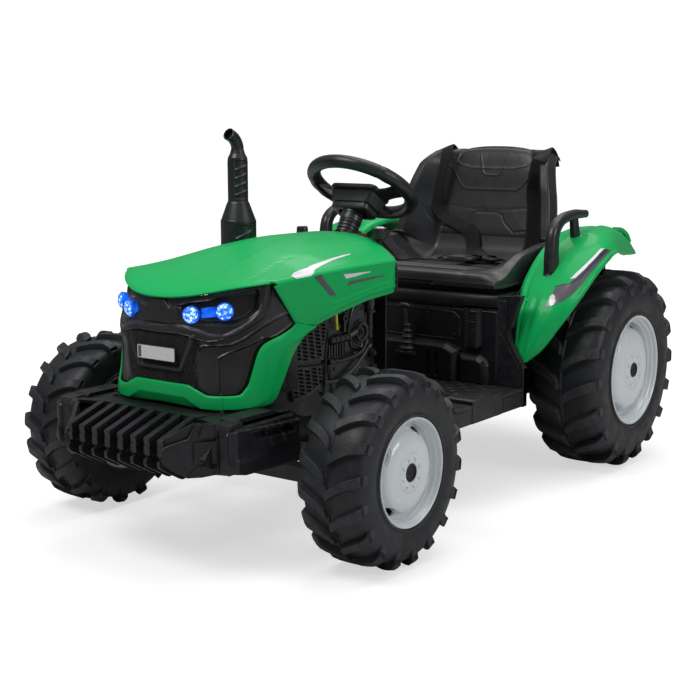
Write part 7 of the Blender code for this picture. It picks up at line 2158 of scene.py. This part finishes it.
# ---------------------------------------------------------------- fenders
FENDER = (
    (0.172, 0.248, 0.252, 0.272, 0.006), (0.1745, 0.276, 0.248, 0.300, 0.012), (0.183, 0.320, 0.244, 0.326, 0.018), (0.204, 0.366, 0.238, 0.348, 0.022),
    (0.238, 0.406, 0.230, 0.360, 0.024), (0.282, 0.444, 0.230, 0.368, 0.024), (0.332, 0.472, 0.230, 0.372, 0.024), (0.390, 0.490, 0.230, 0.365, 0.0440),
    (0.450, 0.495, 0.230, 0.348, 0.0610), (0.510, 0.489, 0.230, 0.332, 0.0640), (0.570, 0.476, 0.230, 0.314, 0.0550), (0.625, 0.458, 0.232, 0.297, 0.0370),
    (0.660, 0.438, 0.240, 0.285, 0.0140),
)
F_CROSS = ((0, -0.012), (0.03, -0.003), (0.12, 0), (0.45, 0.002), (0.72, -0.001), (0.88, -0.008), (0.97, -0.019))
F_K = tuple(range(13))


def fender_at(k, f, out=0.0):
    """Points of the left fender: k runs from the front foot to the rear tip, f from the inner edge to the outer one."""
    k, f, out = np.broadcast_arrays(np.asarray(k, float), np.asarray(f, float), np.asarray(out, float))
    y, z, xi, xo, lip = (smooth_interp(k, F_K, [r[j] for r in FENDER]) for j in range(5))
    ry, rz = y - 0.438, z - 0.205
    n = np.hypot(ry, rz)
    ry, rz = ry / n, rz / n
    w = np.clip((k - 8.5) / 2.0, 0, 1)
    ry, rz = ry * (1 - w) + 0.3304 * w, rz * (1 - w) + 0.9438 * w
    n = np.hypot(ry, rz)
    ry, rz = ry / n, rz / n
    lift = smooth_interp(f, [c[0] for c in F_CROSS], [c[1] for c in F_CROSS])
    lift = np.where(f >= 0.5, lift * lip / 0.024, lift)
    side = np.clip((f - 0.80) / 0.17, 0, 1) * 0.8
    x = xi + (xo - xi) * f
    return np.stack([x + out * side, y + ry * (lift + out * (1 - 0.4 * side)), z + rz * (lift + out * (1 - 0.4 * side))], axis=-1), lip, ry, rz


def fender_relief(k, f):
    h = np.zeros(np.broadcast(k, f).shape)
    # Upright flange and double line at the front, two soft folds, and a crease along the top.
    h += 0.0016 * np.exp(-((f - 0.085) / 0.020) ** 2) * np.clip((5.2 - k) / 1.4, 0, 1)
    h -= 0.0016 * np.exp(-((f - 0.160) / 0.022) ** 2) * np.clip((5.2 - k) / 1.4, 0, 1)
    h -= 0.0026 * np.exp(-((f - (0.44 - 0.02 * k)) / 0.060) ** 2) * np.clip((3.4 - k) / 1.4, 0, 1) * np.clip((k - 0.2) / 0.8, 0, 1)
    h += 0.0016 * np.exp(-((f - (0.60 - 0.02 * k)) / 0.060) ** 2) * np.clip((3.2 - k) / 1.4, 0, 1) * np.clip((k - 0.2) / 0.8, 0, 1)
    h += 0.0012 * np.exp(-((f - (0.30 + 0.014 * (k - 7))) / 0.070) ** 2) * np.clip((k - 4.5) / 2, 0, 1)
    return h


for side, s in (("left", 1), ("right", -1)):
    kk = np.concatenate([np.linspace(0, 12, 230)])
    ffv = np.concatenate([np.linspace(0, 0.12, 16), np.linspace(0.14, 0.80, 60), np.linspace(0.815, 0.97, 22)])
    rows = []
    for k in kk:
        kv = np.full(ffv.shape, k)
        h = fender_relief(kv, ffv)
        pts, lip, ry, rz = fender_at(kv, ffv, h)
        row = [(s * p[0], p[1], p[2]) for p in pts]
        xo = float(smooth_interp(np.array(k), F_K, [r[3] for r in FENDER]))
        depth = float(lip[0])
        y0 = float(smooth_interp(np.array(k), F_K, [r[0] for r in FENDER]))
        z0 = float(smooth_interp(np.array(k), F_K, [r[1] for r in FENDER]))
        thin = 1 - 0.62 * min(1.0, max(0.0, k - 6.0))
        for d_, dx in ((0.0031, 0.0002), (0.0080, 0.0006), (0.0112, 0.0), (0.0128, -0.0022), (0.0120, -0.0046)):
            d_ = depth * 0.79 + d_ * thin
            row.append((s * (xo + dx), y0 - float(ry[0]) * d_, z0 - float(rz[0]) * d_))
        rows.append(row)
    fd = Build()
    fd.grid(rows)
    fd.done(f"fender_{side}_v", GREEN, "chassis", f"fender_{side}", "green_gloss", solid=0.0036, angle=50, weld=0.0, after=facing((s * 0.30, 0.42, 0.22)), bevel=0.0)

    def fender_stripe(name, low, top, mat, n=80, m=7, lift=0.0006):
        u = np.linspace(0, 1, n)
        lk, lf = np.interp(u, np.linspace(0, 1, len(low)), [p[0] for p in low]), np.interp(u, np.linspace(0, 1, len(low)), [p[1] for p in low])
        tk, tf = np.interp(u, np.linspace(0, 1, len(top)), [p[0] for p in top]), np.interp(u, np.linspace(0, 1, len(top)), [p[1] for p in top])
        rows = []
        for j in range(m):
            v = j / (m - 1)
            k_, f_ = lk + (tk - lk) * v, lf + (tf - lf) * v
            pts, *_ = fender_at(k_, f_, fender_relief(k_, f_) + lift)
            rows.append([(s * p[0], p[1], p[2]) for p in pts])
        b = Build()
        b.grid(rows)
        b.done(name, mat, "chassis", (), "plate_plastic", angle=60, weld=0.0, after=facing((s * 0.30, 0.42, 0.22)))

    fender_stripe(f"fender_grey_{side}", [(2.8, 0.612), (2.9, 0.73), (3.15, 0.85), (3.4, 0.89), (3.7, 0.92), (4.1, 0.938), (4.5, 0.945), (5.05, 0.957), (5.75, 0.962), (6.35, 0.966)],
                  [(2.82, 0.606), (3.1, 0.62), (3.4, 0.63), (3.65, 0.635), (3.82, 0.74), (3.98, 0.845), (4.25, 0.89), (4.8, 0.92), (5.4, 0.938), (6.2, 0.946)], DECAL_GREY)
    fender_stripe(f"fender_navy_{side}", [(3.70, 0.632), (3.82, 0.735), (3.98, 0.842), (4.25, 0.888), (4.8, 0.92), (5.4, 0.938), (6.2, 0.944)],
                  [(3.72, 0.610), (3.84, 0.700), (3.95, 0.790), (4.25, 0.842), (4.75, 0.880), (5.4, 0.902), (6.05, 0.908)], DECAL_NAVY)
    fender_stripe(f"fender_white_{side}", [(4.23, 0.832), (4.5, 0.858), (4.75, 0.878), (5.1, 0.890), (5.4, 0.899), (6.08, 0.904)],
                  [(4.13, 0.775), (4.4, 0.800), (4.65, 0.825), (4.95, 0.846), (5.40, 0.866), (5.92, 0.872)], DECAL_WHITE)
    fender_stripe(f"fender_spot_{side}", [(2.86, 0.70), (2.92, 0.742), (3.10, 0.735), (3.25, 0.705), (3.33, 0.675)], [(2.90, 0.672), (3.00, 0.640), (3.12, 0.620), (3.26, 0.612), (3.36, 0.640)], DECAL_WHITE, 30, 7, 0.0010)

    ft = Build()
    # Fixing feet at the front, a rear handle-like fin and the screws.
    P = lambda k, f, o=0.0: Vector(fender_at(np.array(k), np.array(f), np.array(o))[0])
    for f in (0.06, 0.55):
        p = P(0.0, f)
        ft.box((min(s * (p.x - 0.004), s * (p.x + 0.010)), p.y - 0.012, p.z - 0.004), (max(s * (p.x - 0.004), s * (p.x + 0.010)), p.y + 0.004, p.z + 0.001))
    p0, p1, p2, p3 = P(9.5, 0.56, -0.001), P(10.0, 0.66, 0.0066), P(10.5, 0.74, 0.0056), P(10.85, 0.80, -0.002)
    ft.tube([(s * q.x, q.y, q.z) for q in spline_points([p0, p1, p2, p3], 6)], 0.0056, 14, squash=0.8)
    for k, f in ((3.0, 0.20), (6.0, 0.06), (9.0, 0.06)):
        p = P(k, f, 0.0)
        q = P(k, f, 0.010)
        ft.revolve([(0.0, 0.0016), (0.0024, 0.0014), (0.0034, 0.0006), (0.0034, -0.001)], axis_matrix((s * p.x, p.y, p.z), (s * q.x, q.y, q.z)), 20)
    ft.done(f"fender_trim_{side}_v", GREEN, "chassis", (), "green_gloss", bevel=0.0010, seg=2, angle=40)

    # Grab handle with a flared foot, tapering over its arch, and a rear leg.
    gh = Build()

    def bar(path, sizes, x, foot=True):
        pts = [Vector((x, y, z)) for y, z in path]
        fine = [Vector(q) for q in spline_points(pts, 10)]
        n = len(fine)
        keys = np.linspace(0, 1, len(sizes))
        loops = []
        for i in range(n):
            t = (fine[min(i + 1, n - 1)] - fine[max(i - 1, 0)]).normalized()
            side_ = Vector((1, 0, 0))
            nrm_ = t.cross(side_).normalized()
            w = float(np.interp(i / (n - 1), keys, [q[0] for q in sizes])) / 2
            h = float(np.interp(i / (n - 1), keys, [q[1] for q in sizes])) / 2
            if foot:
                grow = 1 + 0.16 * math.exp(-i / 1.6)
                w, h = w * grow, h * grow
            loop = []
            for j in range(28):
                a = 2 * math.pi * j / 28
                ca, sa = math.cos(a), math.sin(a)
                u, v = math.copysign(abs(ca) ** 0.78, ca) * w, math.copysign(abs(sa) ** 0.78, sa) * h
                loop.append(tuple(fine[i] + side_ * u + nrm_ * v))
            loops.append(loop)
        gh.loft(loops)

    bar([(0.262, 0.4145), (0.260, 0.440), (0.260, 0.465), (0.268, 0.500), (0.300, 0.521), (0.352, 0.528), (0.380, 0.5275), (0.4040, 0.5268)], [(0.027, 0.037), (0.026, 0.036), (0.025, 0.032), (0.023, 0.028), (0.021, 0.022), (0.0195, 0.0200), (0.018, 0.018), (0.016, 0.016)], s * 0.282)
    bar([(0.362, 0.470), (0.360, 0.486), (0.357, 0.500), (0.352, 0.524)], [(0.018, 0.026), (0.018, 0.024), (0.017, 0.022), (0.015, 0.022)], s * 0.282)
    for (y, z), rr in (((0.262, 0.4175), 0.0205), ((0.3715, 0.4855), 0.0135)):
        n_ = Vector((0, y - 0.438, z - 0.205)).normalized()
        gh.revolve([(rr * 0.6, -0.004), (rr * 1.02, -0.004), (rr, 0.0006), (rr * 0.90, 0.0022), (rr * 0.6, 0.0024)], axis_matrix(Vector((s * 0.282, y, z)), Vector((s * 0.282, y, z)) + n_), 32)
    gh.done(f"grab_handle_{side}_v", SATIN, "chassis", f"grab_handle_{side}", "black_plastic", angle=45, weld=1e-6)


# ---------------------------------------------------------------- CAD nodes that show as they are
SHOWN = {
    "chassis_frame": STEEL, "front_axle_beam": STEEL, "knuckle_left": ZINC, "knuckle_right": ZINC, "tie_rod": ZINC,
    "steering_shaft": ZINC, "gearbox_left": BLACK, "gearbox_right": BLACK, "motor_left": MOTOR, "motor_right": MOTOR,
    "rear_axle": ZINC, "rear_hitch": STEEL, "battery": BATTERY, "control_box": BLACK,
}
for o in list(bpy.data.objects):
    if "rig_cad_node" not in o or o.hide_render or o.type != "MESH":
        continue
    key = str(o["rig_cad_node"]) if isinstance(o["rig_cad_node"], str) else o.name
    mat = SHOWN.get(key, SHOWN.get(o.name, BLACK))
    if not o.material_slots:
        o.data.materials.append(mat)
    for ms in o.material_slots:
        ms.material = mat

for old in [o for o in bpy.data.objects if o.name.startswith("slot_cut")]:
    bpy.data.objects.remove(old, do_unlink=True)
